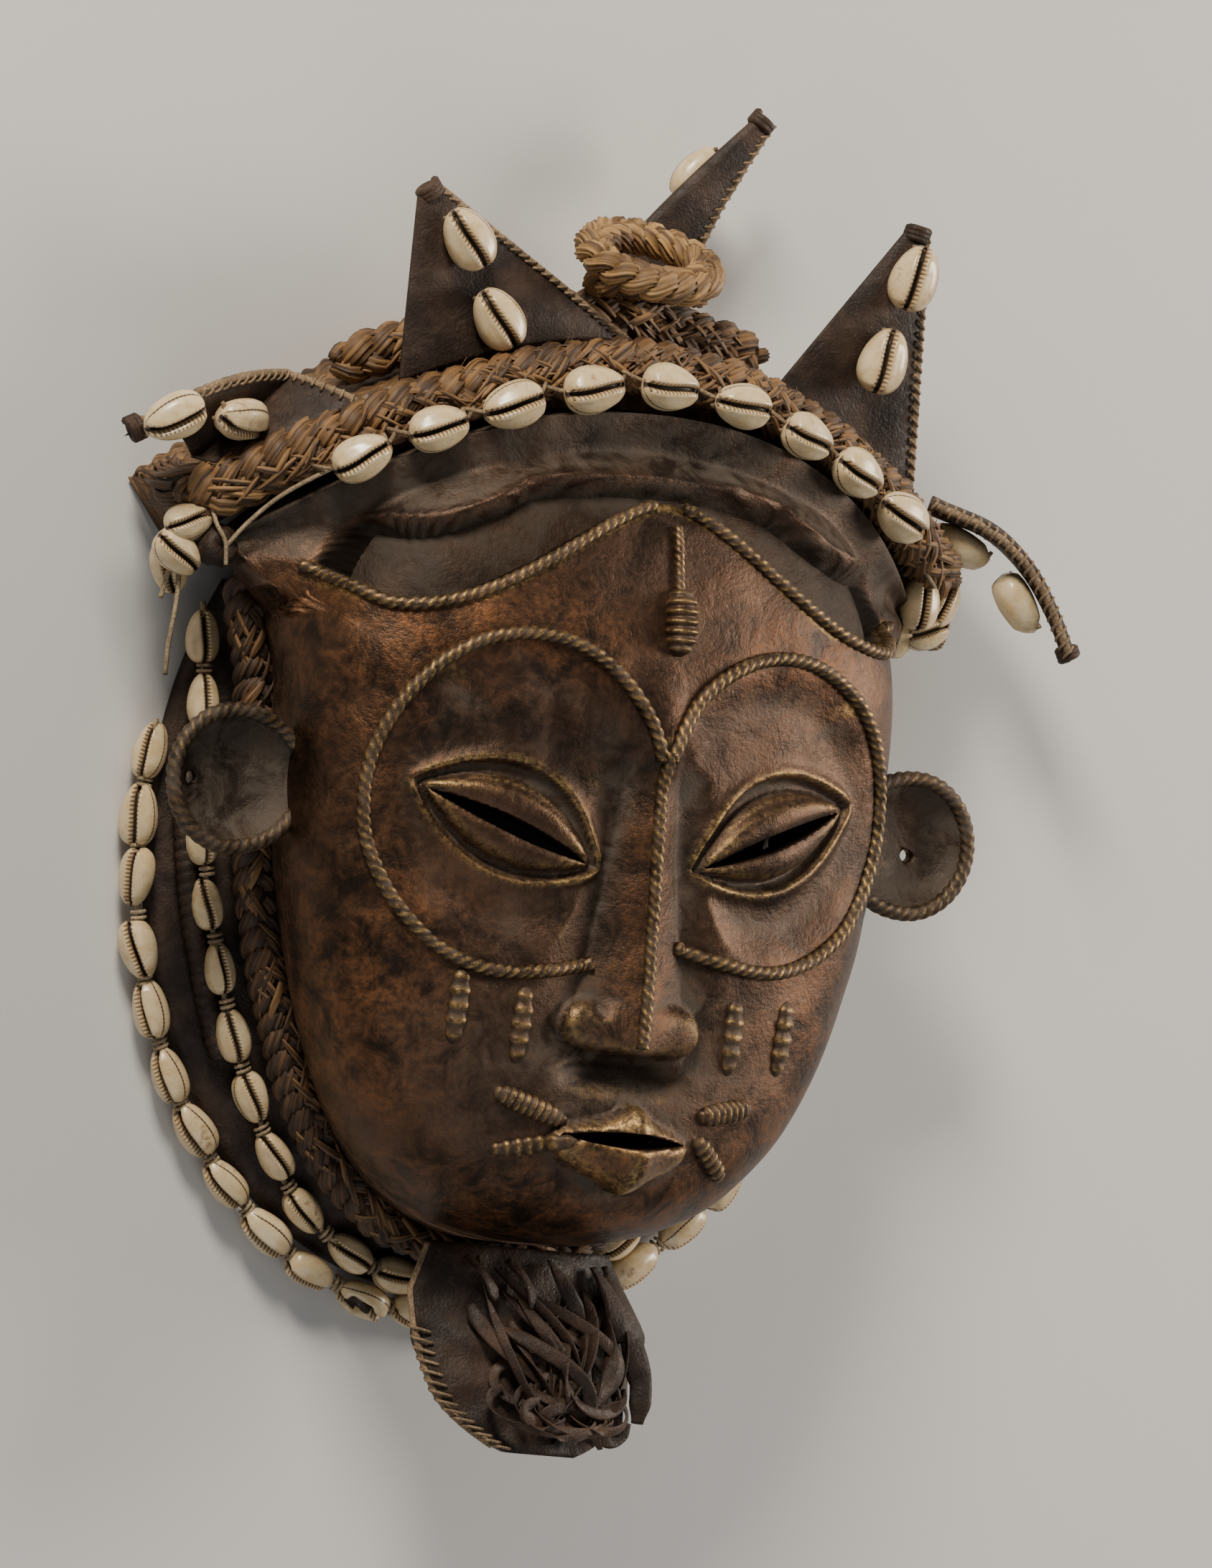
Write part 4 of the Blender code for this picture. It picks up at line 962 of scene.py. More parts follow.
@dataclass
class BronzeFace:
    """The casting: an egg-shaped dome with a flaring band over the brow, and all the carving on it."""

    rim_height: float = 30.0
    wall: float = 4.0
    half_width: float = 106.0
    crown_rise: float = 90.0
    widest_y: float = 5.0
    centre_y: float = -30.0
    plan_power: float = 2.5
    front_drop: float = 6.0
    side_fall: float = 0.0021
    brow_fall: float = 0.0024
    chin_fall: float = 0.0003
    dome_power: float = 13.0
    dome_rounding: float = 2.9
    rim_tuck: float = 9.0
    chin_tuck: float = 8.0
    tuck_height: float = 42.0
    tuck_chin_y: float = -120.0
    tuck_end_y: float = 32.0
    flange_half_width: float = 125.0
    flange_rise: float = 97.0
    flange_fall: float = 51.0
    flange_below_nose_root: float = 28.0
    flange_end_drop: float = 44.0
    hair_rise: float = 70.0
    hair_low: float = 31.5
    hair_low_x: float = 88.0
    hair_end_x: float = 107.0
    disc_x: float = 45.5
    disc_y: float = -24.5
    disc_half_width: float = 46.5
    disc_half_height: float = 51.5
    right_disc_short: float = 3.5
    eye_x: float = 48.2
    eye_y: float = -31.5
    right_eye_higher: float = 3.5
    eye_slant: float = math.radians(19)
    right_eye_more_slant: float = math.radians(3)
    crease_half_length: float = 34.2
    lid_half_length: float = 31.0
    slit_half_length: float = 27.5
    slit_half_height: float = 2.6
    slit_inward: float = 1.0
    slit_lower: float = 0.6
    slit_bottom: float = 40.0
    slit_top: float = 150.0
    crease_up: float = 19.5
    crease_down: float = 16.0
    crease_rise: float = 1.5
    socket_depth: float = 2.2
    lid_up: float = 13.5
    lid_down: float = 12.0
    lid_bulge: float = 6.6
    nose_tip_y: float = -97.0
    nose_half_width: float = 9.0
    nose_widening: float = 13.0
    wing_x: float = 12.5
    wing_y: float = -90.0
    wing_half_width: float = 12.0
    wing_rise: float = 8.6
    mouth_x: float = 0.8
    mouth_y: float = -123.5
    mouth_half_width: float = 24.5
    mouth_slit_half_length: float = 22.0
    mouth_slit_half_height: float = 2.3
    disc_depth: float = 3.4
    hair_depth: float = 9.0
    ledge_rise: float = 1.6
    under_nose_depth: float = 8.0
    beside_nose_depth: float = 5.5
    ear_x: float = 122.5
    ear_y: float = -26.0
    ear_radius: float = 22.0
    ear_stretch: float = 1.2
    ear_below_nose_root: float = 56.0
    ear_profile: tuple[tuple[float, float], ...] = (
        (0.3, -5.5),
        (4.0, -5.4),
        (8.0, -4.9),
        (12.0, -3.9),
        (15.5, -2.2),
        (18.0, 0.2),
        (20.0, 1.8),
        (21.6, 0.8),
        (22.0, -1.2),
        (20.5, -3.2),
        (17.0, -5.6),
        (12.0, -8.0),
        (6.0, -9.6),
        (0.3, -10.0),
    )
    left_ear_hole: tuple[float, float] = (-134.6, -27.0)
    right_ear_hole: tuple[float, float] = (125.6, -29.0)
    ear_hole_radius: float = 2.4
    ear_hole_bottom: float = 10.0
    ear_hole_top: float = 120.0
    cells: int = 284
    inner_cells: int = 71

    def egg_share(self, x: Array, y: Array, inset: float = 0.0) -> Array:
        """0 at the middle and 1 on the dome's outline, drawn in by inset.

        Args:
            x: Distances to the right of the nose root.
            y: Distances up from it.
            inset: How far the outline is drawn in.

        Returns:
            The share at each point.
        """
        below = self.widest_y + CHIN_DROP
        reach = np.where(y < self.widest_y, below, self.crown_rise - self.widest_y) - inset
        across = np.abs(x) / (self.half_width - inset)
        along = np.abs(y - self.widest_y) / reach
        return (across**self.plan_power + along**self.plan_power) ** (1 / self.plan_power)

    def tucked(self, x: Array, y: Array, z: Array) -> Array:
        """The dome's sides drawn in towards the back rim.

        Args:
            x: Distances to the right of the nose root.
            y: Distances up from it.
            z: Heights over the floor.

        Returns:
            The new distances to the right.
        """
        low = (1 - (z - self.rim_height) / self.tuck_height).clip(0, 1) ** 2
        tuck = self.rim_tuck + self.chin_tuck * smooth_step(y / self.tuck_chin_y)
        below = smooth_step((self.tuck_end_y - y) / self.tuck_end_y)
        return x * (1 - tuck / self.half_width * low * below)

    def egg_half(self, inset: float = 0.0) -> tuple[Array, Array]:
        """Points of the egg outline's right half, from chin to crown.

        Args:
            inset: How far the outline is drawn in.

        Returns:
            Distances to the right and up.
        """
        turn = np.linspace(-math.pi / 2, math.pi / 2, 121)
        below = self.widest_y + CHIN_DROP
        reach = np.where(turn < 0, below, self.crown_rise - self.widest_y) - inset
        x = (self.half_width - inset) * np.cos(turn).clip(0) ** (2 / self.plan_power)
        y = self.widest_y + reach * np.sign(turn) * np.abs(np.sin(turn)) ** (2 / self.plan_power)
        return x, y

    def flange_edge(self, x: Array) -> Array:
        """How far up the face the flange's edge is."""
        return self.flange_rise - self.flange_fall * (np.abs(x) / self.flange_half_width) ** 2.1

    def flange_height(self, x: Array) -> Array:
        """How high over the floor the flange's edge is."""
        drop = self.flange_end_drop * (np.abs(x) / self.flange_half_width) ** 3
        return NOSE_ROOT_HEIGHT - self.flange_below_nose_root - drop

    def outline_half(self) -> tuple[Array, Array]:
        """Points of the casting's outline on the right: the egg up to the temple, then the flange.

        Returns:
            Distances to the right and up.
        """
        x, y = self.egg_half()
        below = y < 28.0
        edge = np.linspace(self.flange_half_width, 0.0, 60)
        return np.append(x[below], edge), np.append(y[below], self.flange_edge(edge))

    def reach_of(self, outline: tuple[Array, Array], direction: Array) -> Array:
        """Distance from the dome's centre to an outline in the given directions.

        Args:
            outline: Its distances to the right and up.
            direction: Angles from the X axis.

        Returns:
            The distances.
        """
        x, y = outline
        angles = np.arctan2(y - self.centre_y, x)
        order = np.argsort(angles)
        even = np.linspace(-math.pi / 2, math.pi / 2, 361)
        radii = np.interp(even, angles[order], np.hypot(x, y - self.centre_y)[order])
        rounded = np.convolve(np.pad(radii, 2, mode="reflect"), np.ones(5) / 5, mode="valid")
        return np.interp(np.arcsin(np.sin(direction)), even, rounded)

    def wrapped_share(self, share: Array) -> Array:
        """Radius shares that put the grid's rings at even distances over the dome and down its wall.

        Args:
            share: Even shares of the way to the rim.

        Returns:
            Shares of the radius.
        """
        radius = np.linspace(0.0, 1.0, 2001)
        dome = 0.5 * (1 - radius**self.dome_power) ** (1 / self.dome_rounding)
        run = np.concatenate([[0.0], np.cumsum(np.hypot(np.diff(radius), np.diff(dome)))])
        return np.interp(share * run[-1], run, radius)

    def dome_height(self, x: Array, y: Array, inset: float = 0.0) -> Array:
        """The dome over the floor, drawn in by inset for its inner side.

        Args:
            x: Distances to the right of the nose root.
            y: Distances up from it.
            inset: How far the outline is drawn in.

        Returns:
            Heights over the floor.
        """
        fall = self.side_fall * x**2 + self.brow_fall * y.clip(0) ** 2 + self.chin_fall * y.clip(None, 0) ** 2
        front = NOSE_ROOT_HEIGHT - self.front_drop - fall - inset
        edge = 1 - self.egg_share(x, y, inset).clip(0, 1) ** self.dome_power
        return self.rim_height + (front - self.rim_height) * edge ** (1 / self.dome_rounding)

    def hairline(self, x: Array) -> Array:
        """The rope under the hair: down to the temple, then up to its end.

        Args:
            x: Distances to the right of the nose root.

        Returns:
            How far up the face it is.
        """
        low = smooth_step(np.abs(x) / self.hair_low_x) ** 0.8
        lift = smooth_step((np.abs(x) - self.hair_low_x) / (self.hair_end_x - self.hair_low_x))
        return self.hair_rise - (self.hair_rise - self.hair_low) * low + 9.0 * lift

    def hair_top(self, x: Array) -> Array:
        """The upper edge of the hollow above the hairline.

        Args:
            x: Distances to the right of the nose root.

        Returns:
            How far up the face it is.
        """
        side = np.abs(x)
        end = 25.0 * (1 - smooth_step((side - 89.0) / 18.0))
        return np.minimum(77.5 - 21.0 * (side / 91.0) ** 2, self.hairline(x) + end)

    def base_height(self, x: Array, y: Array) -> Array:
        """Dome and flange as one smooth surface.

        Args:
            x: Distances to the right of the nose root.
            y: Distances up from it.

        Returns:
            Heights over the floor.
        """
        dome = self.dome_height(x, y)
        edge, hair = self.flange_edge(x), self.hairline(x)
        band = (y - hair) / np.maximum(edge - hair, 1.0)
        cove = 4.0 * np.sin(math.pi * band.clip(0, 1)) ** 2
        flange = self.flange_height(x) - cove - self.rim_height * smooth_step((33.0 - y) / 15.0)
        return 0.5 * (dome + flange + np.sqrt((dome - flange) ** 2 + 4.0)) - 0.5

    def disc_share(self, x: Array, y: Array) -> Array:
        """1 on the rope round an eye disc.

        Args:
            x: Distances to the right of the nose root.
            y: Distances up from it.

        Returns:
            The share at each point.
        """
        across = (np.abs(x) - self.disc_x) / self.disc_half_width
        short = np.where(x > 0, self.right_disc_short, 0.0)
        return np.hypot(across, (y - self.disc_y - short) / (self.disc_half_height - short))

    def eye_place(self, right: bool) -> Triple:
        """An eye's middle, counted outwards and up, and its slant.

        Args:
            right: Whether it is the right eye.

        Returns:
            The place and the slant.
        """
        more = 1.0 if right else 0.0
        high = self.eye_y + more * self.right_eye_higher
        return self.eye_x, high, self.eye_slant + more * self.right_eye_more_slant

    def eye_axes(self, x: Array, y: Array) -> tuple[Array, Array]:
        """Positions along and above the slanted eye on each point's own side.

        Args:
            x: Distances to the right of the nose root.
            y: Distances up from it.

        Returns:
            Distances along and above the eye.
        """
        left, right = self.eye_place(False), self.eye_place(True)
        centre_x, centre_y, slant = (np.where(x > 0, r, l) for l, r in zip(left, right))
        side, high = np.abs(x) - centre_x, y - centre_y
        return side * np.cos(slant) + high * np.sin(slant), high * np.cos(slant) - side * np.sin(slant)

    def eyes(self, x: Array, y: Array) -> Array:
        """A sharp crease round each eye, the sunk socket in it and two swelling lids.

        Args:
            x: Distances to the right of the nose root.
            y: Distances up from it.

        Returns:
            How far each point stands out.
        """
        across, above = self.eye_axes(x, y)
        arch = (1 - (across / self.crease_half_length) ** 2).clip(0, 1)
        crease = np.where(above > 0, self.crease_up, self.crease_down) * arch
        off = crease - np.abs(above)
        near = smooth_step((self.crease_half_length + 1.5 - np.abs(across)) / 4.0)
        rim = self.crease_rise * np.exp(-((off / np.where(off > 0, 1.0, 3.2)) ** 2)) * near
        socket = -self.socket_depth * smooth_step((off - 0.6) / 2.6) * near
        full = (1 - (across / self.lid_half_length) ** 2).clip(0, 1)
        lid = np.where(above > 0, self.lid_up, self.lid_down) * full
        share = np.abs(above) / np.maximum(lid, 0.1)
        bulge = np.sqrt((1 - (np.maximum(share - 0.42, 0) / 0.58) ** 2).clip(0, 1)) * (share < 1)
        roll = 1 - 0.35 * ((0.42 - share).clip(0) / 0.42) ** 2
        lids = self.lid_bulge * bulge * roll * full**0.45 * (np.abs(across) < self.lid_half_length)
        fold = 0.8 * np.exp(-(((above - 0.8 * lid) / 0.7) ** 2)) * (lids > 1.0)
        return np.where(lids > 0, socket + lids - fold, rim + socket)

    def nose(self, x: Array, y: Array) -> Array:
        """The narrow wedge of the nose and its round wings, cut off below the tip.

        Args:
            x: Distances to the right of the nose root.
            y: Distances up from it.

        Returns:
            How far each point stands out.
        """
        down = (y / self.nose_tip_y).clip(0, 1)
        half = self.nose_half_width + self.nose_widening * down**1.5
        high = 5.0 + 7.3 * down**2.4 + 1.2 * np.sin(math.pi * down)
        wedge = high * (1 - (np.abs(x) / half)).clip(0, 1) ** 0.8
        wing = np.abs((np.abs(x) - self.wing_x) / self.wing_half_width)
        wing = 1 - wing**2.4 - np.abs((y - self.wing_y) / self.wing_rise) ** 2.4
        wings = self.wing_rise * wing.clip(0, 1) ** 0.42
        root = 3.4 * np.exp(-((x / self.nose_half_width) ** 2) - ((y + 1.0) / 14.0) ** 2)
        body = np.cbrt(wedge**3 + wings**3)
        body = body * smooth_step((y - self.nose_tip_y + 2.5) / 3.4) * smooth_step((12 - y) / 16.0)
        return np.maximum(body, root)

    def mouth(self, x: Array, y: Array) -> Array:
        """Two lips that come forward to a blunt beak at the middle.

        Args:
            x: Distances to the right of the nose root.
            y: Distances up from it.

        Returns:
            How far each point stands out.
        """
        off = x - self.mouth_x
        side = (1 - np.abs(off) / self.mouth_half_width).clip(0, 1)
        above = y - self.mouth_y
        beak = np.exp(-(((off - 2.5) / 6.5) ** 2))
        full = np.where(above > 0, (7.6 + 4.6 * beak) * side**0.6, (14.0 + 1.6 * beak) * side**0.36)
        share = (np.abs(above) / np.maximum(full, 0.1)).clip(0, 1)
        swell = np.sqrt(1 - (np.maximum(share - 0.3, 0) / 0.7) ** 2)
        reach = np.where(above > 0, 8.0 + 4.5 * beak, 11.0 + 3.5 * beak)
        return reach * side**0.42 * swell * (side > 0) * (share < 1)

    def relief(self, x: Array, y: Array) -> Array:
        """All carving over the base surface but the ropes and the ribbed marks.

        Args:
            x: Distances to the right of the nose root.
            y: Distances up from it.

        Returns:
            How far each point stands out.
        """
        raised = np.maximum(self.nose(x, y), self.mouth(x, y)) + self.eyes(x, y)
        dish = self.disc_depth * smooth_step((1 - self.disc_share(x, y)) * 3)
        below_tip = (y - self.nose_tip_y + 6.5) / 4.6
        under = self.under_nose_depth * np.exp(-((x / 20.0) ** 4) - below_tip**2)
        beside = smooth_step((6.0 - y) / 24.0) * smooth_step((y - self.nose_tip_y + 10.0) / 10.0)
        beside = self.beside_nose_depth * beside * np.exp(-((x / 27.0) ** 4))
        pit = 3.4 * np.exp(-(((x + 13.0) / 2.4) ** 2) - ((y + 84.5) / 2.2) ** 2)
        inside_hair = np.abs(x) < self.hair_end_x
        top = self.hair_top(x)
        hair = smooth_step((y - self.hairline(x)) / 3.5) * smooth_step((top - y) / 1.8)
        rough = 1 + 0.5 * waves(np.stack([x, 0 * y, 0 * x], axis=-1), 9.0, 8)
        ledge = self.ledge_rise * rough * np.exp(-(((y - top - 0.8) / 0.9) ** 2))
        ledge = ledge * smooth_step((np.abs(x) - 12.0) / 16.0)
        hollow = np.maximum.reduce([dish, under, beside, self.hair_depth * hair * inside_hair]) + pit
        fade = smooth_step((1.0 - self.egg_share(x, y)) / 0.05)
        worn = 0.35 * waves(np.stack([x, y, 0 * x], axis=-1), 26.0, 5)
        return (raised + ledge * inside_hair - hollow) * fade + worn * fade

    def grid(self, cells: int, outline: tuple[Array, Array]) -> tuple[Array, Array, Array]:
        """X, Y and share of the radius of a square grid wrapped over the casting.

        Args:
            cells: How many cells to a side.
            outline: The outline's distances to the right and up.

        Returns:
            The three grids.
        """
        side = np.linspace(-1.0, 1.0, cells + 1)
        s, t = np.meshgrid(side, side)
        wide = np.abs(s) >= np.abs(t)
        eighth = math.pi / 4
        by_s = eighth * t / np.where(s == 0, 1.0, s)
        by_t = 2 * eighth - eighth * s / np.where(t == 0, 1.0, t)
        angle = np.where(wide, by_s, by_t) + np.where(wide, s < 0, t < 0) * math.pi
        share = np.maximum(np.abs(s), np.abs(t))
        reach = self.reach_of(outline, angle) * self.wrapped_share(share)
        return reach * np.cos(angle), self.centre_y + reach * np.sin(angle), share

    @staticmethod
    def blurred(heights: Array, reach: int) -> Array:
        """Heights of a grid averaged over a square around each point.

        Args:
            heights: The grid's heights.
            reach: Half the square, in cells.

        Returns:
            The averages.
        """
        size = 2 * reach + 1
        for axis in (0, 1):
            margin = [(reach, reach) if way == axis else (0, 0) for way in (0, 1)]
            sums = np.cumsum(np.pad(heights, margin, mode="edge"), axis)
            sums = np.concatenate([np.zeros_like(heights.take([0], axis)), sums], axis)
            count = heights.shape[axis]
            heights = (sums.take(range(size, size + count), axis) - sums.take(range(count), axis)) / size
        return heights

    def rubbed_and_lit_zones(self, x: Array, y: Array) -> Array:
        """Where the bronze is coppery: chin, jaw, cheeks, brow and nose, where it is rubbed; on the chin,
        jaw, cheek edges and brow the copper is partly a painted highlight.

        Args:
            x: Distances to the right of the nose root.
            y: Distances up from it.

        Returns:
            How much copper each point gets, for rubbing and painted highlight.
        """
        zones = (
            (0.0, -152.0, 52.0, 24.0, 1.3),
            (66.0, -112.0, 28.0, 44.0, 1.0),
            (-78.0, -88.0, 24.0, 52.0, 0.95),
            (-62.0, 34.0, 46.0, 13.0, 0.75),
            (-92.0, 6.0, 16.0, 30.0, 0.6),
            (-46.0, 18.0, 34.0, 12.0, 0.6),
            (54.0, 22.0, 34.0, 20.0, 0.5),
            (0.0, -88.0, 24.0, 14.0, 1.0),
            (0.0, -128.0, 22.0, 12.0, 0.8),
            (0.0, -50.0, 9.0, 44.0, 0.5),
        )
        total = np.full_like(x, 0.16)
        for centre_x, centre_y, half_width, half_height, strength in zones:
            far = ((x - centre_x) / half_width) ** 2 + ((y - centre_y) / half_height) ** 2
            total = total + strength * np.exp(-far)
        return total.clip(0, 1.2)

    def skin(self) -> Surface:
        """The carved outside joined to the smooth inside along the flat back rim.

        Returns:
            The casting before its slits are cut.
        """
        x, y, share = self.grid(self.cells, self.outline_half())
        z = np.where(share >= 1.0, self.rim_height, self.base_height(x, y))
        points = np.stack([self.tucked(x, y, z), y, z], axis=-1)
        normal = unit(np.cross(np.gradient(points, axis=1), np.gradient(points, axis=0)))
        carved = np.where(share < 1.0, self.relief(x, y), 0.0)
        points = (points + normal * carved[..., None]).reshape(-1, 3)
        local = carved - self.blurred(carved, 3)
        broad = carved - self.blurred(carved, 9)
        flange = smooth_step((y - self.hair_top(x)) / 4.0) * (share < 1.0)
        leaf = smooth_step((y - self.hairline(x)) / 3.5) * smooth_step((self.hair_top(x) - y) / 3.0)
        wall = smooth_step((share - 0.82) / 0.12)
        dusty = 0.16 + 0.5 * (-local / 0.7).clip(0, 1) + 0.5 * (-broad / 2.0).clip(0, 1) + 0.55 * flange
        below_eyes = np.exp(-((x / 70.0) ** 4) - ((y + 100.0) / 24.0) ** 2)
        dusty = dusty + 0.45 * below_eyes + 0.25 * wall
        under = np.exp(-((x / 15.0) ** 4) - ((y - self.nose_tip_y + 7.0) / 4.0) ** 2)
        flesh = np.exp(-((x / 27.0) ** 4) - ((y - self.nose_tip_y - 8.0) / 14.0) ** 4)
        bare = 1 - smooth_step((y - self.hairline(x) - 1.0) / 3.0)
        values = {
            "wear": 0.75 * ((local - 0.24) / 1.1).clip(0, 1) * bare * (1 - 0.6 * flesh),
            # copper where rubbed, and a painted highlight on the chin, jaw, cheek edges and brow
            "rubbed_and_lit": self.rubbed_and_lit_zones(x, y) * (1 - flange) * (1 - leaf),
            "dust": dusty.clip(0, 1),
            # painted shade: near-black in the hollow under the flange and under the nose
            "painted_shade": (leaf * (np.abs(x) < self.hair_end_x) + 0.9 * under).clip(0, 1),
        }
        inner_x, inner_y, inner_share = self.grid(self.inner_cells, self.egg_half(self.wall))
        inner_z = np.where(
            inner_share >= 1.0,
            self.rim_height,
            self.dome_height(inner_x, inner_y, self.wall) - 5.0 * smooth_step((1 - inner_share) / 0.3),
        )
        inside = np.stack([self.tucked(inner_x, inner_y, inner_z), inner_y, inner_z], axis=-1).reshape(-1, 3)
        # the inside of the mask also gets some painted shade
        fill = {"wear": 0.0, "rubbed_and_lit": 0.1, "dust": 0.8, "painted_shade": 0.3}
        for name, value in fill.items():
            values[name] = np.append(values[name].ravel(), np.full(len(inside), value))
        faces = self.grid_faces(self.cells, 0, False) + self.grid_faces(self.inner_cells, len(points), True)
        faces += self.rim_faces(len(points))
        return Surface(np.concatenate([points, inside]), faces, values)

    @staticmethod
    def grid_faces(cells: int, first: int, flip: bool) -> Faces:
        """Quads of a square grid of points.

        Args:
            cells: How many cells to a side.
            first: The grid's first point.
            flip: Whether they look the other way.

        Returns:
            The faces.
        """
        faces = []
        for row in range(cells):
            for column in range(cells):
                corner = first + row * (cells + 1) + column
                quad = (corner, corner + 1, corner + cells + 2, corner + cells + 1)
                faces.append(quad[::-1] if flip else quad)
        return faces

    def rim_faces(self, first_inner: int) -> Faces:
        """The flat back rim: each inner edge faces several outer ones.

        Args:
            first_inner: The inner grid's first point.

        Returns:
            The faces.
        """

        def border(cells: int, first: int) -> list[int]:
            """Point numbers round a grid's border.

            Args:
                cells: How many cells to a side.
                first: The grid's first point.

            Returns:
                The points' numbers.
            """
            wide = cells + 1
            near = [first + column for column in range(cells)]
            right = [first + row * wide + cells for row in range(cells)]
            far = [first + cells * wide + column for column in range(cells, 0, -1)]
            left = [first + row * wide for row in range(cells, 0, -1)]
            return near + right + far + left

        outer, inner = border(self.cells, 0), border(self.inner_cells, first_inner)
        split = self.cells // self.inner_cells
        faces = []
        for number, point in enumerate(inner):
            span = [outer[(number * split + step) % len(outer)] for step in range(split + 1)]
            faces.append((point, inner[(number + 1) % len(inner)], *span[::-1]))
        return faces

    def on_surface(self, x: Array, y: Array, lift: float = 0.0) -> tuple[Array, Array]:
        """Places on the carved face and the way out of it.

        Args:
            x: Distances to the right of the nose root.
            y: Distances up from it.
            lift: How far over the surface.

        Returns:
            Points and outward directions.
        """

        def height(at_x: Array, at_y: Array) -> Array:
            """The face's height with its carving."""
            return self.base_height(at_x, at_y) + self.relief(at_x, at_y)

        step = 1.5
        slope_x = (height(x + step, y) - height(x - step, y)) / (2 * step)
        slope_y = (height(x, y + step) - height(x, y - step)) / (2 * step)
        normal = unit(np.stack([-slope_x.clip(-2, 2), -slope_y.clip(-2, 2), np.ones_like(x)], axis=-1))
        z = height(x, y)
        return np.stack([self.tucked(x, y, z), y, z], axis=-1) + lift * normal, normal

    def rope_on(self, x: Array, y: Array, radius: float, pitch: float, lift: float) -> Surface:
        """A rope laid on the face along X and Y.

        Args:
            x: Distances to the right of the nose root.
            y: Distances up from it.
            radius: The rope's radius.
            pitch: From one lump to the next.
            lift: How far its middle is over the face.

        Returns:
            The rope.
        """
        path, normal = self.on_surface(x, y, lift)
        kernel = np.ones(5) / 5
        for axis in range(3):
            padded = np.pad(path[:, axis], 2, mode="edge")
            path[:, axis] = np.convolve(padded, kernel, mode="valid")
        return twisted_rope(path, radius, pitch, normal)

    def ropes(self) -> dict[str, Surface]:
        """The ropes round the discs, down the nose, under the hair and over the drop.

        Returns:
            Each rope by its name.
        """
        made = {}
        for side, name in ((-1, "disc_rope_left"), (1, "disc_rope_right")):
            short = self.right_disc_short if side > 0 else 0.0
            half, middle = self.disc_half_height - short, self.disc_y + short
            end = math.atan2((-8.0 - middle) / half, (1.5 - self.disc_x) / self.disc_half_width)
            turn = np.linspace(-math.pi / 2, end % TURN, 300)
            across = self.disc_x + self.disc_half_width * np.cos(turn)
            arc = np.column_stack([across, middle + half * np.sin(turn), 0 * turn])
            foot = arc[0]
            inner = curved([(14.0, foot[1] + 5.2, 0.0), (28.0, foot[1] + 2.0, 0.0), foot, arc[20]], 60)
            route = evenly(np.vstack([inner[inner[:, 0] < foot[0]], arc]), 330)
            made[name] = self.rope_on(side * route[:, 0], route[:, 1], 2.3, 3.3, 0.55)
        y = np.linspace(-4.0, self.nose_tip_y + 1.0, 90)
        made["nose_rope"] = self.rope_on(0.3 + 0.4 * np.sin(y / 14.0), y, 2.2, 3.2, 0.4)
        for side, name in ((-1, "hairline_rope_left"), (1, "hairline_rope_right")):
            x = side * np.linspace(5.0, self.hair_end_x - 0.5, 160)
            made[name] = self.rope_on(x, self.hairline(x), 2.1, 3.2, 0.5)
        y = np.linspace(64.0, 43.0, 24)
        made["drop_rope"] = self.rope_on(2.2 + 0 * y, y, 1.7, 2.6, 0.4)
        return made

    def ribbed(
        self,
        middle: tuple[float, float],
        lean: float,
        half_length: float,
        half_width: float,
        rise: float,
        pitch: float,
    ) -> Surface:
        """A raised grub with ribs across it.

        Args:
            middle: Its place on the face.
            lean: Its direction, from the X axis.
            half_length: Half its length.
            half_width: Half its width.
            rise: How far it stands out.
            pitch: Distance between ribs.

        Returns:
            The grub, with its values.
        """
        count, sides = 64, 18
        share = np.linspace(-0.985, 0.985, count)
        x = middle[0] + half_length * share * math.cos(lean)
        y = middle[1] + half_length * share * math.sin(lean)
        path, normal = self.on_surface(x, y, -0.6)
        middle_normal = unit(normal.mean(axis=0))
        profile = (1 - np.abs(share) ** 3.2) ** 0.5
        rib = 0.5 + 0.5 * np.cos(TURN * half_length * share / pitch)
        size = profile * (0.84 + 0.16 * rib)
        angle = (np.arange(sides) + 0.5) * TURN / sides
        boxy = (np.abs(np.cos(angle)) ** 3 + np.abs(np.sin(angle)) ** 3) ** (-1 / 3)
        wide = half_width * size[:, None] * boxy * np.cos(angle)
        high = rise * size[:, None] * boxy * np.sin(angle)
        made = sweep(path, wide, high, middle_normal)
        made.values["wear"] = np.repeat(0.75 * rib**2 * profile, sides)
        return made

    def ornaments(self) -> dict[str, Surface]:
        """Forehead drop, cheek bars and the ribbed marks beside the mouth.

        Returns:
            Each ornament by its name.
        """
        drop = self.ribbed((2.2, 34.6), math.pi / 2, 10.5, 5.2, 6.4, 2.9)
        rows = ((-58.5, -87.5), (-38.0, -91.5), (38.0, -89.5), (58.5, -88.5))
        bars = [self.ribbed(place, math.pi / 2, 12.0, 3.4, 3.0, 4.6) for place in rows]
        marks = [
            self.ribbed((-31.0, -116.0), math.radians(-17), 13.2, 3.7, 4.4, 2.4),
            self.ribbed((39.0, -112.5), math.radians(12), 10.5, 3.6, 4.2, 2.4),
            self.ribbed((-29.0, -128.0), math.radians(13), 12.5, 3.0, 2.6, 3.4),
            self.ribbed((37.0, -127.0), math.radians(-38), 10.5, 3.2, 3.2, 2.8),
        ]
        return {
            "forehead_drop": drop,
            "cheek_bars": Surface.joined(bars),
            "mouth_marks": Surface.joined(marks),
        }

    def ear(self, side: int) -> tuple[Surface, Surface]:
        """One dished ear and the rope round its edge.

        Args:
            side: -1 for the left, 1 for the right.

        Returns:
            The dish and the rope.
        """
        height = NOSE_ROOT_HEIGHT - self.ear_below_nose_root
        radius, rise = np.array(self.ear_profile).T

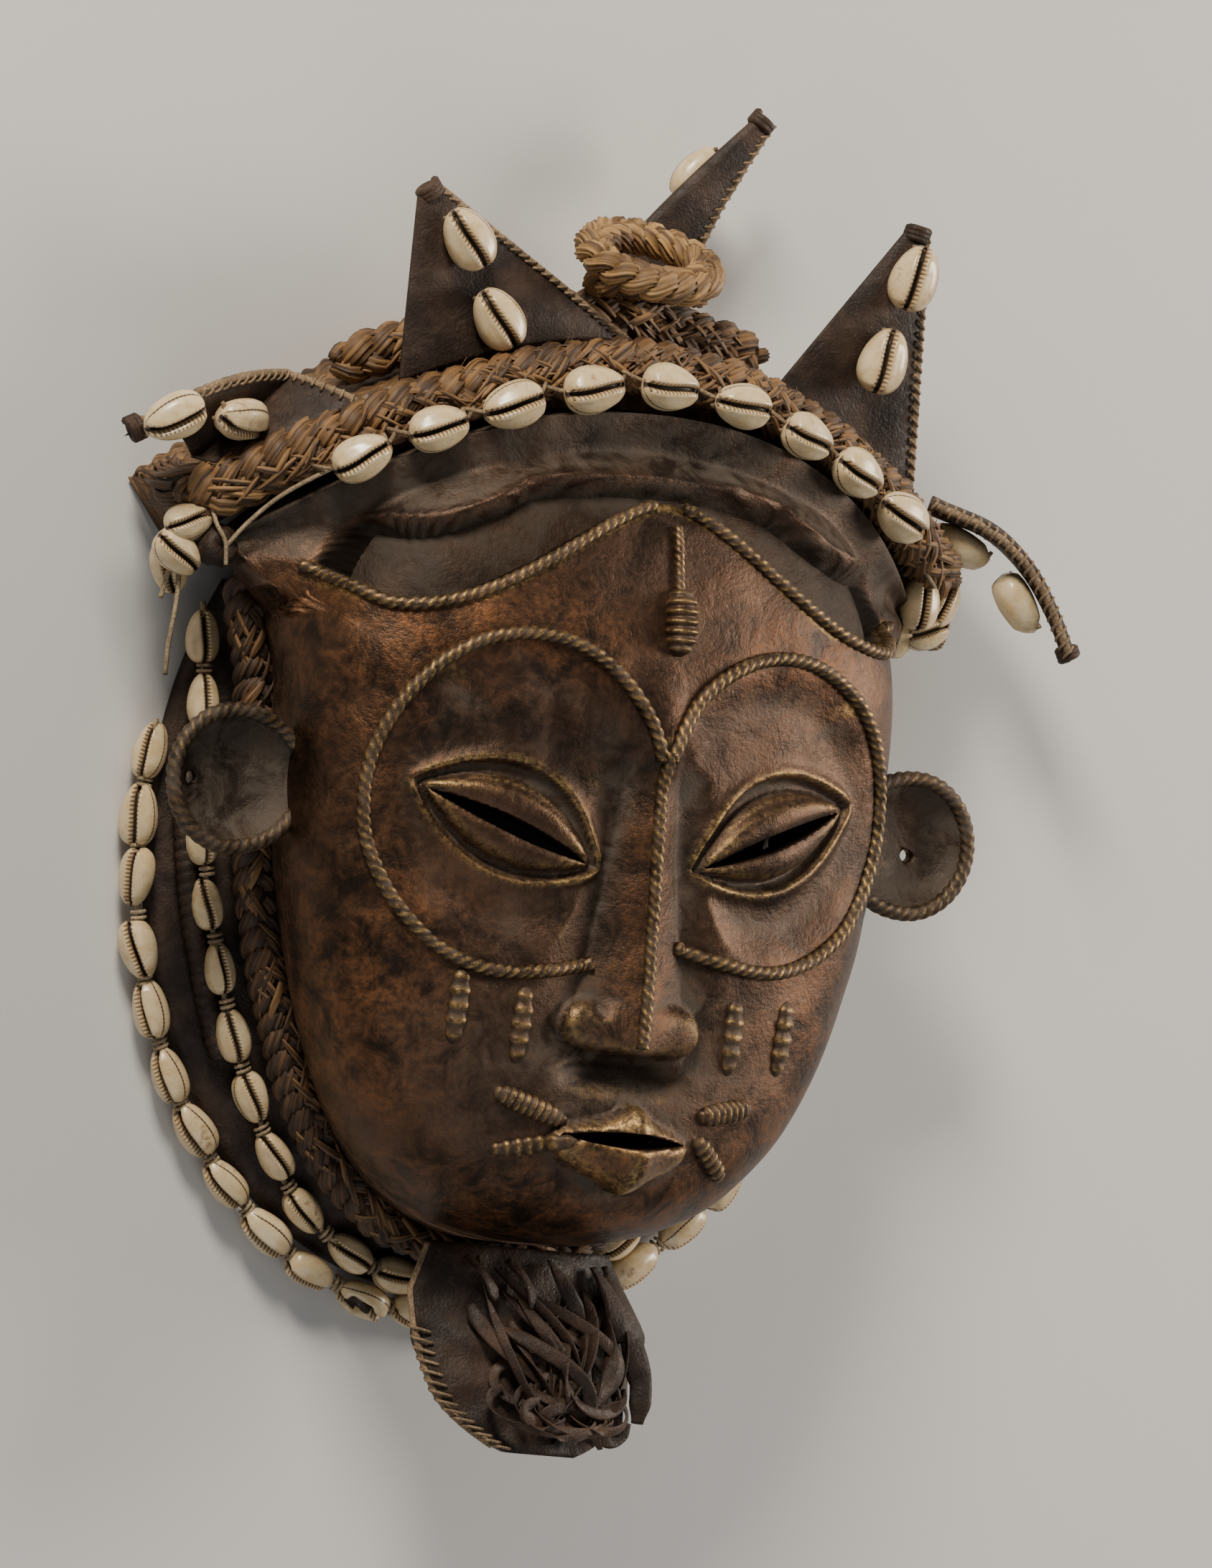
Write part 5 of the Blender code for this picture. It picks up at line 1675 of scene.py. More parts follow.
        def around(count: int) -> tuple[Array, Array]:
            """Shares of the radius across and up, with the side towards the face drawn out.

            Args:
                count: How many directions.

            Returns:
                The shares.
            """
            angle = np.arange(count) * TURN / count
            out = side * np.cos(angle)
            return np.where(out < 0, self.ear_stretch, 1.0) * out, np.sin(angle)

        sides = 56
        across, up = around(sides)
        x = side * (self.ear_x + radius[:, None] * across)
        y = self.ear_y + radius[:, None] * up
        rings = np.stack([x, y, np.broadcast_to(height + rise[:, None], x.shape)], axis=-1)
        rings[..., 2] += 0.5 * waves(rings, 14.0, 11 + side)
        dish = Surface(rings.reshape(-1, 3), tube_faces(len(radius), sides))
        dish.values["wear"] = np.repeat(0.5 * np.exp(-(((radius - 21.0) / 1.5) ** 2)), sides)
        count = 120
        across, up = around(count)
        edge = self.ear_radius - 1.2
        plan = [side * (self.ear_x + edge * across), self.ear_y + edge * up]
        path = np.column_stack([*plan, np.full(count, height + 1.0)])
        return dish, twisted_rope(path, 2.5, 3.3, UP, closed=True)

    def cutters(self) -> Surface:
        """The slits of the eyes and the mouth as closed prisms.

        Returns:
            The three prisms.
        """
        prisms = []
        mouth = (self.mouth_x, self.mouth_y)
        slits = [(mouth, 0.0, self.mouth_slit_half_length, self.mouth_slit_half_height)]
        for side in (-1, 1):
            x, y, slant = self.eye_place(side > 0)
            middle = (side * (x - self.slit_inward), y - self.slit_lower)
            slits.append((middle, side * slant, self.slit_half_length, self.slit_half_height))
        for (centre_x, centre_y), slant, half_length, half_height in slits:
            across = np.linspace(-half_length, half_length, 31)
            high = np.maximum(half_height * (1 - (across / half_length) ** 2), 0.12)
            loop = np.column_stack([np.append(across, across[::-1]), np.append(high, -high[::-1])])
            cos, sin = math.cos(slant), math.sin(slant)
            x = centre_x + loop[:, 0] * cos - loop[:, 1] * sin
            y = centre_y + loop[:, 0] * sin + loop[:, 1] * cos
            prisms.append(self.prism(np.column_stack([x, y]), self.slit_top, self.slit_bottom))
        return Surface.joined(prisms)

    @staticmethod
    def prism(plan: Array, first: float, last: float) -> Surface:
        """A closed upright prism over a plan, from one height to another."""
        rings = np.array([np.column_stack([plan, np.full(len(plan), z)]) for z in (first, last)])
        return Surface(rings.reshape(-1, 3), tube_faces(2, len(plan)))

    def ear_hole(self, side: int) -> Surface:
        """The small hole in an ear as a closed prism.

        Args:
            side: -1 for the left, 1 for the right.

        Returns:
            The prism.
        """
        place = self.right_ear_hole if side > 0 else self.left_ear_hole
        turn = np.arange(14) * TURN / 14
        plan = np.array(place) + self.ear_hole_radius * np.column_stack([np.cos(turn), 0.85 * np.sin(turn)])
        return self.prism(plan, self.ear_hole_bottom, self.ear_hole_top)

    @staticmethod
    def cut(piece: bpy.types.Object, prism: Surface) -> None:
        """Cuts a closed prism right through a piece.

        Args:
            piece: What is cut.
            prism: The closed prism.
        """
        cutter = bpy.data.objects.new("slits", prism.mesh("slits"))
        bpy.context.scene.collection.objects.link(cutter)
        cut = piece.modifiers.new("slits", "BOOLEAN")
        cut.operation = "DIFFERENCE"
        cut.object = cutter
        graph = bpy.context.evaluated_depsgraph_get()
        carved = bpy.data.meshes.new_from_object(piece.evaluated_get(graph))
        piece.modifiers.clear()
        piece.data = carved
        bpy.data.objects.remove(cutter)

    def with_bronze_values(self, surface: Surface, rubbed_and_lit: float, dust: float) -> Surface:
        """Gives a small piece the values that the bronze finish reads.

        Args:
            surface: The piece.
            rubbed_and_lit: How rubbed it is, as copper; on the face the same value also carries painted
                highlights.
            dust: How dusty it is.

        Returns:
            The same piece.
        """
        surface.values.pop("grain", None)
        surface.values.setdefault("wear", np.zeros(len(surface.points)))
        surface.with_value("rubbed_and_lit", rubbed_and_lit)
        surface.values["dust"] = (dust * (1 - 0.75 * surface.values["wear"])).clip(0, 1)
        # no painted shade on the small pieces
        return surface.with_value("painted_shade", 0.0)

    def build(self) -> None:
        """Makes the whole casting."""
        face = place_piece(self.skin(), "bronze_face", BRONZE, ["bronze_mask"])
        self.cut(face, self.cutters())
        for name, rope in self.ropes().items():
            place_piece(self.with_bronze_values(rope, 0.35, 0.75), name, BRONZE)
        for name, ornament in self.ornaments().items():
            place_piece(self.with_bronze_values(ornament, 0.3, 0.7), name, BRONZE)
        for side, name in ((-1, "left"), (1, "right")):
            dish, rope = self.ear(side)
            ear = place_piece(self.with_bronze_values(dish, 0.05, 1.1), f"ear_{name}", BRONZE)
            self.cut(ear, self.ear_hole(side))
            rope.values["wear"] = 0.5 * rope.values["wear"]
            place_piece(self.with_bronze_values(rope, 0.1, 1.0), f"ear_rope_{name}", BRONZE)


@dataclass
class CowrieMaker:
    """One cowrie, its slit side up, and how it is set in its place."""

    half_length: float = 10.0
    half_width: float = 7.2
    half_height: float = 5.4
    rings: int = 46
    ventral: int = 22
    dorsal: int = 9

    def shell(self, seed: int, broken: bool = False) -> Surface:
        """A cowrie at the origin, along X, with its slit towards Z.

        Args:
            seed: Which small differences of shape.
            broken: Whether the slit side is broken open.

        Returns:
            The shell, with the value "place".
        """
        rng = np.random.default_rng(seed)
        egg, bend = 0.12 + 0.06 * rng.uniform(), 0.7 * rng.uniform(0.4, 1.0)
        tilt = np.linspace(0.05, math.pi - 0.05, self.rings)
        u = -np.cos(tilt)
        body = np.sin(tilt) ** 0.86 * (1 - egg * u)
        side = np.linspace(-1, 1, self.ventral)
        q = np.sign(side) * np.abs(side) ** 1.6
        under = np.linspace(0, math.pi, self.dorsal + 2)[1:-1]
        y_share = np.concatenate([q, np.cos(under)])
        top = np.concatenate([(1 - np.abs(q) ** 2.6) ** 0.5, -np.sin(under) * 0.9])
        x = np.repeat(u[:, None] * self.half_length, len(y_share), axis=1)
        y = self.half_width * body[:, None] * y_share
        z = self.half_height * (0.25 + 0.75 * body[:, None]) * np.minimum(body[:, None] * 1.4, 1.0) * top
        line = bend * np.sin(2.4 * u)[:, None]
        facing = top > 0
        beside = np.where(facing, y - line, 9.0)
        window = smooth_step((0.97 - np.abs(u)) / 0.12)[:, None]
        tooth = 0.5 + 0.5 * np.cos(TURN * x / 1.3)
        lips = 0.7 * np.exp(-(((np.abs(beside) - 1.9) / 1.2) ** 2)) * window
        groove = 3.2 * np.exp(-((beside / 0.85) ** 2)) * window
        ridges = 0.3 * tooth * np.exp(-(((np.abs(beside) - 1.2) / 0.7) ** 2)) * window
        z = z + lips - groove + ridges
        if broken:
            hole = np.exp(-(((x - 1.0) / 5.0) ** 4) - ((y - 0.5) / 3.8) ** 4)
            z = z - np.where(facing, 6.0 * hole, 0.0)
            beside = np.where(facing & (hole > 0.4), 0.0, beside)
        points = np.stack([x, y, z], axis=-1).reshape(-1, 3)
        stained = rng.uniform(0.1, 1.0) ** 2
        place = np.stack([x, beside, np.full_like(x, stained)], axis=-1).reshape(-1, 3)
        return Surface(points, tube_faces(self.rings, len(y_share)), {"place": place})

    def placed(
        self,
        centre: Array,
        along: Array,
        face: Array,
        size: float,
        seed: int,
        broken: bool = False,
        slim: float = 1.0,
    ) -> Surface:
        """A cowrie in its place.

        Args:
            centre: Its middle.
            along: The way of its slit.
            face: The way that its slit side looks.
            size: Its size, where 1 is 20 mm.
            seed: Which small differences.
            broken: Whether it is broken open.
            slim: Its width as a share of the usual one.

        Returns:
            The shell.
        """
        made = self.shell(seed, broken)
        made.points[:, 1] = made.points[:, 1] * slim
        along = unit(np.asarray(along, float))
        across = unit(np.cross(face, along))
        upward = np.cross(along, across)
        turned = made.points[:, :1] * along + made.points[:, 1:2] * across + made.points[:, 2:] * upward
        made.points = np.asarray(centre, float) + size * turned
        return made


COWRIES = CowrieMaker()


def loop_thread(centre: Array, along: Array, face: Array, reach: float, radius: float = 0.7) -> Surface:
    """A short thread that ties a shell's end down.

    Args:
        centre: Its middle.
        along: The way of the shell's slit.
        face: The way that the shell looks.
        reach: Half the thread's width.
        radius: The thread's radius.

    Returns:
        The thread.
    """
    across = unit(np.cross(face, along))
    turn = np.linspace(0, math.pi, 9)
    path = centre + reach * (np.cos(turn)[:, None] * across + 0.8 * np.sin(turn)[:, None] * face)
    return round_tube(path, radius, 6, along)


@dataclass
class Brim:
    """Where the brim braid runs, and the braids and shells along it."""

    half_width: float = 137.0
    rise: float = 111.0
    fall: float = 56.0
    power: float = 1.8
    below_nose_root: float = 38.0
    end_drop: float = 37.0
    radius: float = 7.6
    swell: float = 1.2
    crown_radius: float = 6.5
    crown_out: float = 15.5
    crown_from: float = -84.0
    crown_to: float = 50.0
    horn_thickness: float = 6.0
    gap: float = 0.3
    shell_lean: float = 0.4
    shell_turn: Triple = (-0.3, 0.35, 0.0)
    shell_x: tuple[float, ...] = (-96.0, -75.0, -53.0, -27.0, 0.0, 27.0, 53.0, 75.0, 96.0)

    def point(self, x: float | Array, out: float = 0.0, up: float = 0.0) -> Array:
        """A point beside the braid's middle line: out is away from the face, up is over the floor.

        Args:
            x: Distances to the right of the nose root.
            out: How far away from the face.
            up: How far over the middle line.

        Returns:
            The place.
        """
        x = np.asarray(x, float)
        share = np.abs(x) / self.half_width
        slope = -np.sign(x) * self.fall / self.half_width * self.power * share ** (self.power - 1)
        outward = unit(np.stack([-slope, np.ones_like(slope)], axis=-1))
        y = self.rise - self.fall * share**self.power
        z = NOSE_ROOT_HEIGHT - self.below_nose_root - self.end_drop * share**2.6
        return np.stack([x + out * outward[..., 0], y + out * outward[..., 1], z + up], axis=-1)

    def horn_level(self) -> float:
        """How far the horns' middle is below the braid's middle line."""
        return -self.swell * self.radius - self.gap - self.horn_thickness / 2

    def shoulder_out(self) -> float:
        """How far behind the braid's middle line the cap's shoulder ends."""
        return self.crown_out - self.swell * self.crown_radius

    def crown_up(self) -> float:
        """How far the crown braid is below the brim braid's middle line."""
        return self.horn_level() - self.horn_thickness / 2 - self.gap - self.swell * self.crown_radius

    def wisps(self, count: int, seed: int) -> Surface:
        """Loose ends of raffia that stand out of the braids.

        Args:
            count: How many.
            seed: Which ones.

        Returns:
            All of them as one surface.
        """
        rng = np.random.default_rng(seed)
        made = []
        for _ in range(count):
            x = rng.uniform(-self.half_width + 4, self.half_width - 4)
            turn = rng.uniform(-0.5, 2.6)
            start = self.point(x, self.radius * 0.8 * math.cos(turn), self.radius * 0.85 * math.sin(turn))
            along = unit(self.point(x + 1) - self.point(x - 1)) * rng.choice([-1.0, 1.0])
            out = unit(start - self.point(x))
            reach = rng.uniform(4.0, 10.0)
            middle = start + along * reach * 0.6 + out * rng.uniform(0.4, 1.2)
            end = start + along * reach + out * rng.uniform(0.6, 3.4) + rng.normal(0, 0.8, 3)
            path = curved([start - along * 2.0, middle, end], 8)
            width = rng.uniform(0.35, 0.8) * np.linspace(1, 0.3, 8)
            strip = round_tube(path, width, 5, out, 0.4)
            made.append(strip.with_value("tone", rng.uniform(0, 1)))
        return Surface.joined(made)

    def frayed_ends(self, count: int, seed: int) -> Surface:
        """Raffia that comes loose at both ends of the braid and hangs over the cap's ends.

        Args:
            count: How many strips at each end.
            seed: Which ones.

        Returns:
            All of them as one surface.
        """
        rng = np.random.default_rng(seed)
        made = []
        for side in (-1.0, 1.0):
            for _ in range(count):
                share = rng.uniform(0, 1)
                out = rng.uniform(-4.0, 8.0)
                top = self.point(side * (self.half_width - 26.0 * share), out, -2.0)
                foot = self.point(side * (self.half_width + 0.6 - 12.0 * share), out + rng.normal(1.5, 1.0))
                foot[2] = rng.uniform(4.0, 20.0)
                bend = side * (self.half_width + 1.4 - 10.0 * share)
                middle = self.point(bend, out + rng.normal(0.5, 0.8), -7.0)
                path = swaying(curved([top, middle, foot], 14), 12.0, 0.7, seed)
                width = rng.uniform(0.6, 1.5) * np.linspace(1, 0.45, 14)
                strip = round_tube(path, width, 6, (side, 0.5, 0.3), 0.4)
                made.append(strip.with_value("tone", rng.uniform(0, 1)))
        return Surface.joined(made)

    def shells(self) -> None:
        """Nine cowries sewn along the front of the brim braid, with their threads."""
        threads = []
        for number, x in enumerate(self.shell_x, start=1):
            before, middle, after = self.point(np.array([x - 1.0, x, x + 1.0]))
            along = unit(after - before)
            inward = unit(np.cross(along, UP))
            face = unit(self.shell_lean * inward + np.cross(inward, along))
            lean = 0.09 * math.sin(2.3 * number)
            way = unit(along + lean * np.cross(face, along))
            flip = -1.0 if number % 3 == 0 else 1.0
            centre = middle + face * (self.swell * self.radius + COWRIES.half_height)
            look = unit(face + np.array(self.shell_turn))
            shell = COWRIES.placed(centre, flip * way, look, 1.0 + 0.04 * math.sin(5.1 * number), number)
            place_piece(shell, f"brim_shell_{number}", SHELL, [f"brim_cowrie_{number}"])
            for end in (-1, 1):
                root = centre + end * way * 8.7 - face * 2.4
                threads.append(loop_thread(root, way, face, 3.0))
                tail = [root + face * 2.0, root + end * way * 3.0 - face, root + end * way * 5.5 - face * 4.4]
                threads.append(round_tube(curved(tail, 8), 0.7, 6, face))
        place_piece(Surface.joined(threads), "brim_threads", THREAD)

    def build(self) -> None:
        """Makes the braids, the loose raffia and the shells along the brim."""
        strand = Strand()
        brim_path = self.point(np.linspace(-self.half_width, self.half_width, 160))
        brim = strand.plait(brim_path, self.radius * 1.08, self.radius * 1.04, UP, seed=1)
        place_piece(brim, "brim_plait", RAFFIA, ["brim_braid"])
        along = np.linspace(self.crown_from, self.crown_to, 120)
        crown_path = self.point(along, self.crown_out, self.crown_up())
        crown = strand.plait(crown_path, self.crown_radius * 1.08, self.crown_radius * 1.04, UP, seed=2)
        place_piece(crown, "crown_plait", RAFFIA, ["crown_braid"])
        place_piece(loose_strips(brim_path, self.radius, 280, 21), "brim_strips", RAFFIA)
        place_piece(loose_strips(crown_path, self.crown_radius, 110, 24), "crown_strips", RAFFIA)
        place_piece(self.wisps(200, 22), "loose_raffia", RAFFIA)
        place_piece(self.frayed_ends(70, 23), "frayed_ends", DARK_RAFFIA)
        self.shells()


BRIM = Brim()


@dataclass
class Cap:
    """The coils of raffia between the flange and the floor, and the ring of braid on the crown."""

    face: BronzeFace = field(default_factory=BronzeFace)
    clearance: float = 0.8
    end_thickness: float = 11.0
    crown_thickness: float = 27.0
    coils: int = 3
    coil_depth: float = 2.5
    rings_per_coil: int = 12
    strip_pitch: float = 6.5
    step: float = 1.0
    sections: int = 400
    knot_x: float = 2.0
    knot_half_width: float = 19.0
    knot_half_depth: float = 13.0
    knot_tilt: float = 0.55
    knot_strand: float = 5.3
    knot_below_nose_root: float = 47.0

    def coiled(self) -> Surface:
        """The cap's coils, each wrapped with slanting strips.

        Returns:
            The cap.
        """
        x = np.linspace(-self.face.flange_half_width, self.face.flange_half_width, self.sections + 1)
        edge = self.face.flange_edge(x)
        slope = np.gradient(edge, x)
        outward = unit(np.column_stack([-slope, np.ones_like(x)]))
        brim = BRIM.point(x)
        shoulder = (brim[:, 1] - edge) * outward[:, 1] + BRIM.shoulder_out() - BRIM.gap
        share = (np.abs(x) / self.face.flange_half_width).clip(0, 1)
        thick = self.end_thickness + (self.crown_thickness - self.end_thickness) * (1 - share**2)
        thick = np.maximum(thick, shoulder + self.step)
        outermost = np.minimum(np.abs(x + outward[:, 0] * thick), BRIM.half_width)
        top = BRIM.point(outermost)[:, 2] - BRIM.swell * BRIM.radius - BRIM.gap
        foot = top - BRIM.horn_thickness - 2 * BRIM.swell * BRIM.crown_radius - 3 * BRIM.gap
        foot = np.maximum(foot, 0.4 * top)
        run = np.concatenate([[0.0], np.cumsum(np.hypot(np.diff(x), np.diff(edge)))])
        levels = [(np.full_like(x, self.clearance), 0 * x)]
        steps = self.coils * self.rings_per_coil
        for number in range(steps):
            level = (number + 0.5) / steps
            round_share = np.abs(np.sin(math.pi * level * self.coils))
            slant = level * self.coils * 0.8 * (-1) ** (number // self.rings_per_coil)
            strip = np.cos(TURN * (run / self.strip_pitch + slant))
            out = thick - self.coil_depth * (1 - round_share**0.6) + 0.8 * strip * round_share - 0.5
            levels.append((out, foot * level))
        for rise in (0.0, 0.3, 0.6, 0.9, 1.0):
            strip = 0.6 * np.cos(TURN * (run / 5.0 + rise * 1.5))
            levels.append((shoulder + strip * (rise < 1.0) - 0.6, foot + (top - foot) * rise))
        levels.append((np.full_like(x, self.clearance), top))
        rings = []
        for out, height in levels:
            plan = np.column_stack([x, edge]) + outward * out[:, None]
            rings.append(np.column_stack([plan, height]))
        points = np.stack(rings, axis=1)
        high = points[..., 2]
        grain = np.stack([run[:, None] * 0.5 + high, high * 2.0, 0 * high], axis=-1)
        tone = 0.5 + 0.4 * np.sin(run[:, None] * 0.9 + high * 0.8)
        values = {"grain": grain.reshape(-1, 3), "tone": tone.ravel()}
        return Surface(points.reshape(-1, 3), tube_faces(len(x), len(levels)), values)

    def knot(self, lift: float, share: float, tilt: float, seed: int) -> Surface:
        """One turn of the braid on the crown.

        Args:
            lift: How far over the crown braid its middle is.
            share: Its size as a share of the upper ring.
            tilt: How far its front leans down the face.
            seed: Which irregularities.

        Returns:
            The ring.
        """
        turn = np.linspace(0, TURN, 90, endpoint=False)
        crown = BRIM.point(self.knot_x, BRIM.crown_out)[1] + BRIM.swell * BRIM.crown_radius
        depth = share * self.knot_half_depth * np.sin(turn)
        ring = np.column_stack(
            [
                self.knot_x + share * self.knot_half_width * np.cos(turn),
                crown + lift - tilt * depth,
                NOSE_ROOT_HEIGHT - self.knot_below_nose_root + depth,
            ]
        )
        upright = unit(np.array([0.0, 1.0, tilt]))
        strand = Strand(wave=19.0)
        return strand.plait(ring, self.knot_strand * 1.05, self.knot_strand, upright, closed=True, seed=seed)

    def build(self) -> None:
        """Makes the cap and its knot."""
        place_piece(self.coiled(), "cap_coils", RAFFIA, ["raffia_cap"])
        place_piece(self.knot(9.5, 1.0, self.knot_tilt, 7), "crown_ring", GOLD_RAFFIA, ["crown_knot"])
        place_piece(self.knot(2.0, 0.78, 0.0, 8), "crown_coil", RAFFIA)


@dataclass
class Horn:
    """One flat leather horn, from the edge that it is sewn on by to its tip."""

    name: str
    base: Callable[[float], Array]
    rise: Triple
    bow: Triple
    seed: int
    stitched: tuple[int, ...] = (-1, 1)
    thickness: float = 6.0
    tip_half_width: float = 3.5
    cowrie_scale: float = 1.04
    cowrie_turn: float = 0.4
    cowrie_places: tuple[tuple[float, float], ...] = ((0.22, 0.0), (0.7, 0.0))

    def point(self, across: float, share: float) -> Array:
        """A point of the horn's middle sheet.

        Args:
            across: From -1 at one end to 1 at the other.
            share: How far along, from 0 to 1.

        Returns:
            The place.
        """
        start = self.base(across)
        wide = unit(self.base(1.0) - self.base(-1.0))
        end = self.base(0.0) + np.array(self.rise) + across * self.tip_half_width * wide
        return start * (1 - share) + end * share + np.array(self.bow) * math.sin(math.pi * share)

    def face(self, share: float) -> tuple[Array, Array]:
        """The way up the horn and the way that its broad face looks.

        Args:
            share: How far along, from 0 to 1.

        Returns:
            The two directions.
        """
        rise = unit(self.point(0.0, share + 0.02) - self.point(0.0, share - 0.02))
        wide = unit(self.base(1.0) - self.base(-1.0))
        return rise, unit(np.cross(wide, rise))

    def sheet(self) -> Surface:
        """The leather, softly buckled, thin at its edges.

        Returns:
            The leather.
        """
        across = np.sin(np.linspace(-1, 1, 25) * math.pi / 2)
        shares = np.linspace(0, 1, 44)
        rings = []
        for share in shares:
            _, face = self.face(share)
            middle = np.array([self.point(side, share) for side in across])
            buckle = 1.3 * waves(middle, 34.0, self.seed) * (1 - across[:, None].ravel() ** 4)
            buckle = buckle * math.sin(math.pi * min(1.0, 0.15 + share)) ** 0.5
            thick = self.thickness / 2 * (0.25 + 0.75 * (1 - across**4)) * (1 - 0.3 * share)
            front = middle + (buckle * 0.6 + thick)[:, None] * face
            back = middle + (buckle * 0.6 - thick)[:, None] * face
            rings.append(np.concatenate([front, back[::-1]]))
        points = np.array(rings)
        return Surface(points.reshape(-1, 3), tube_faces(len(shares), points.shape[1]))

    def stitches(self) -> Surface:
        """Whipped thread along the edges, with a rolled seam beneath it.

        Returns:
            The seam and its stitches.
        """
        made = []
        _, face = self.face(0.5)
        for side in self.stitched:
            edge = np.array([self.point(side, share) for share in np.linspace(0.02, 0.99, 60)])
            inward = unit(self.point(0.0, 0.5) - self.point(side, 0.5))
            made += whipped_edge(edge, inward, face, 3.1, self.seed)
        return Surface.joined(made)

    def knob(self) -> Surface:
        """The knotted thong at the tip.

        Returns:
            The wound thong.
        """
        tip = self.point(0.0, 1.0)
        way, face = self.face(0.98)
        across = unit(np.cross(face, way))
        turns = np.linspace(0, 5 * math.pi, 46)
        ring = tip + way * (turns / turns[-1] * 3.5 - 2.5)[:, None]
        ring = ring + 3.2 * (np.cos(turns)[:, None] * across + 0.8 * np.sin(turns)[:, None] * face)
        return round_tube(ring, 1.35, 7, way)

    def build(self) -> None:
        """Makes the horn, its seams, its knob and its two cowries."""
        sheet = self.sheet()
        place_piece(sheet, f"{self.name}_leather", LEATHER, [self.name])
        place_piece(self.stitches(), f"{self.name}_stitches", THREAD)
        place_piece(self.knob(), f"{self.name}_knob", DARK_LEATHER)
        threads = []
        for number, (share, across) in enumerate(self.cowrie_places, start=1):
            along, face = self.face(share)
            lift = self.thickness / 2 + self.cowrie_scale * COWRIES.half_height + BRIM.gap - 0.8
            centre = self.point(across, share) + face * lift
            look = unit(face + self.cowrie_turn * unit(np.cross(face, along)) * (1.0 if face[2] > 0 else 0.0))
            shell = COWRIES.placed(centre, along, look, self.cowrie_scale, 40 + 7 * self.seed + number)
            place_piece(shell, f"{self.name}_shell_{number}", SHELL, [f"{self.name}_cowrie_{number}"])
            for end in (-1, 1):
                threads.append(loop_thread(centre + end * along * 9.0 - face * 2.6, along, face, 2.8))
        place_piece(Surface.joined(threads), f"{self.name}_threads", THREAD)


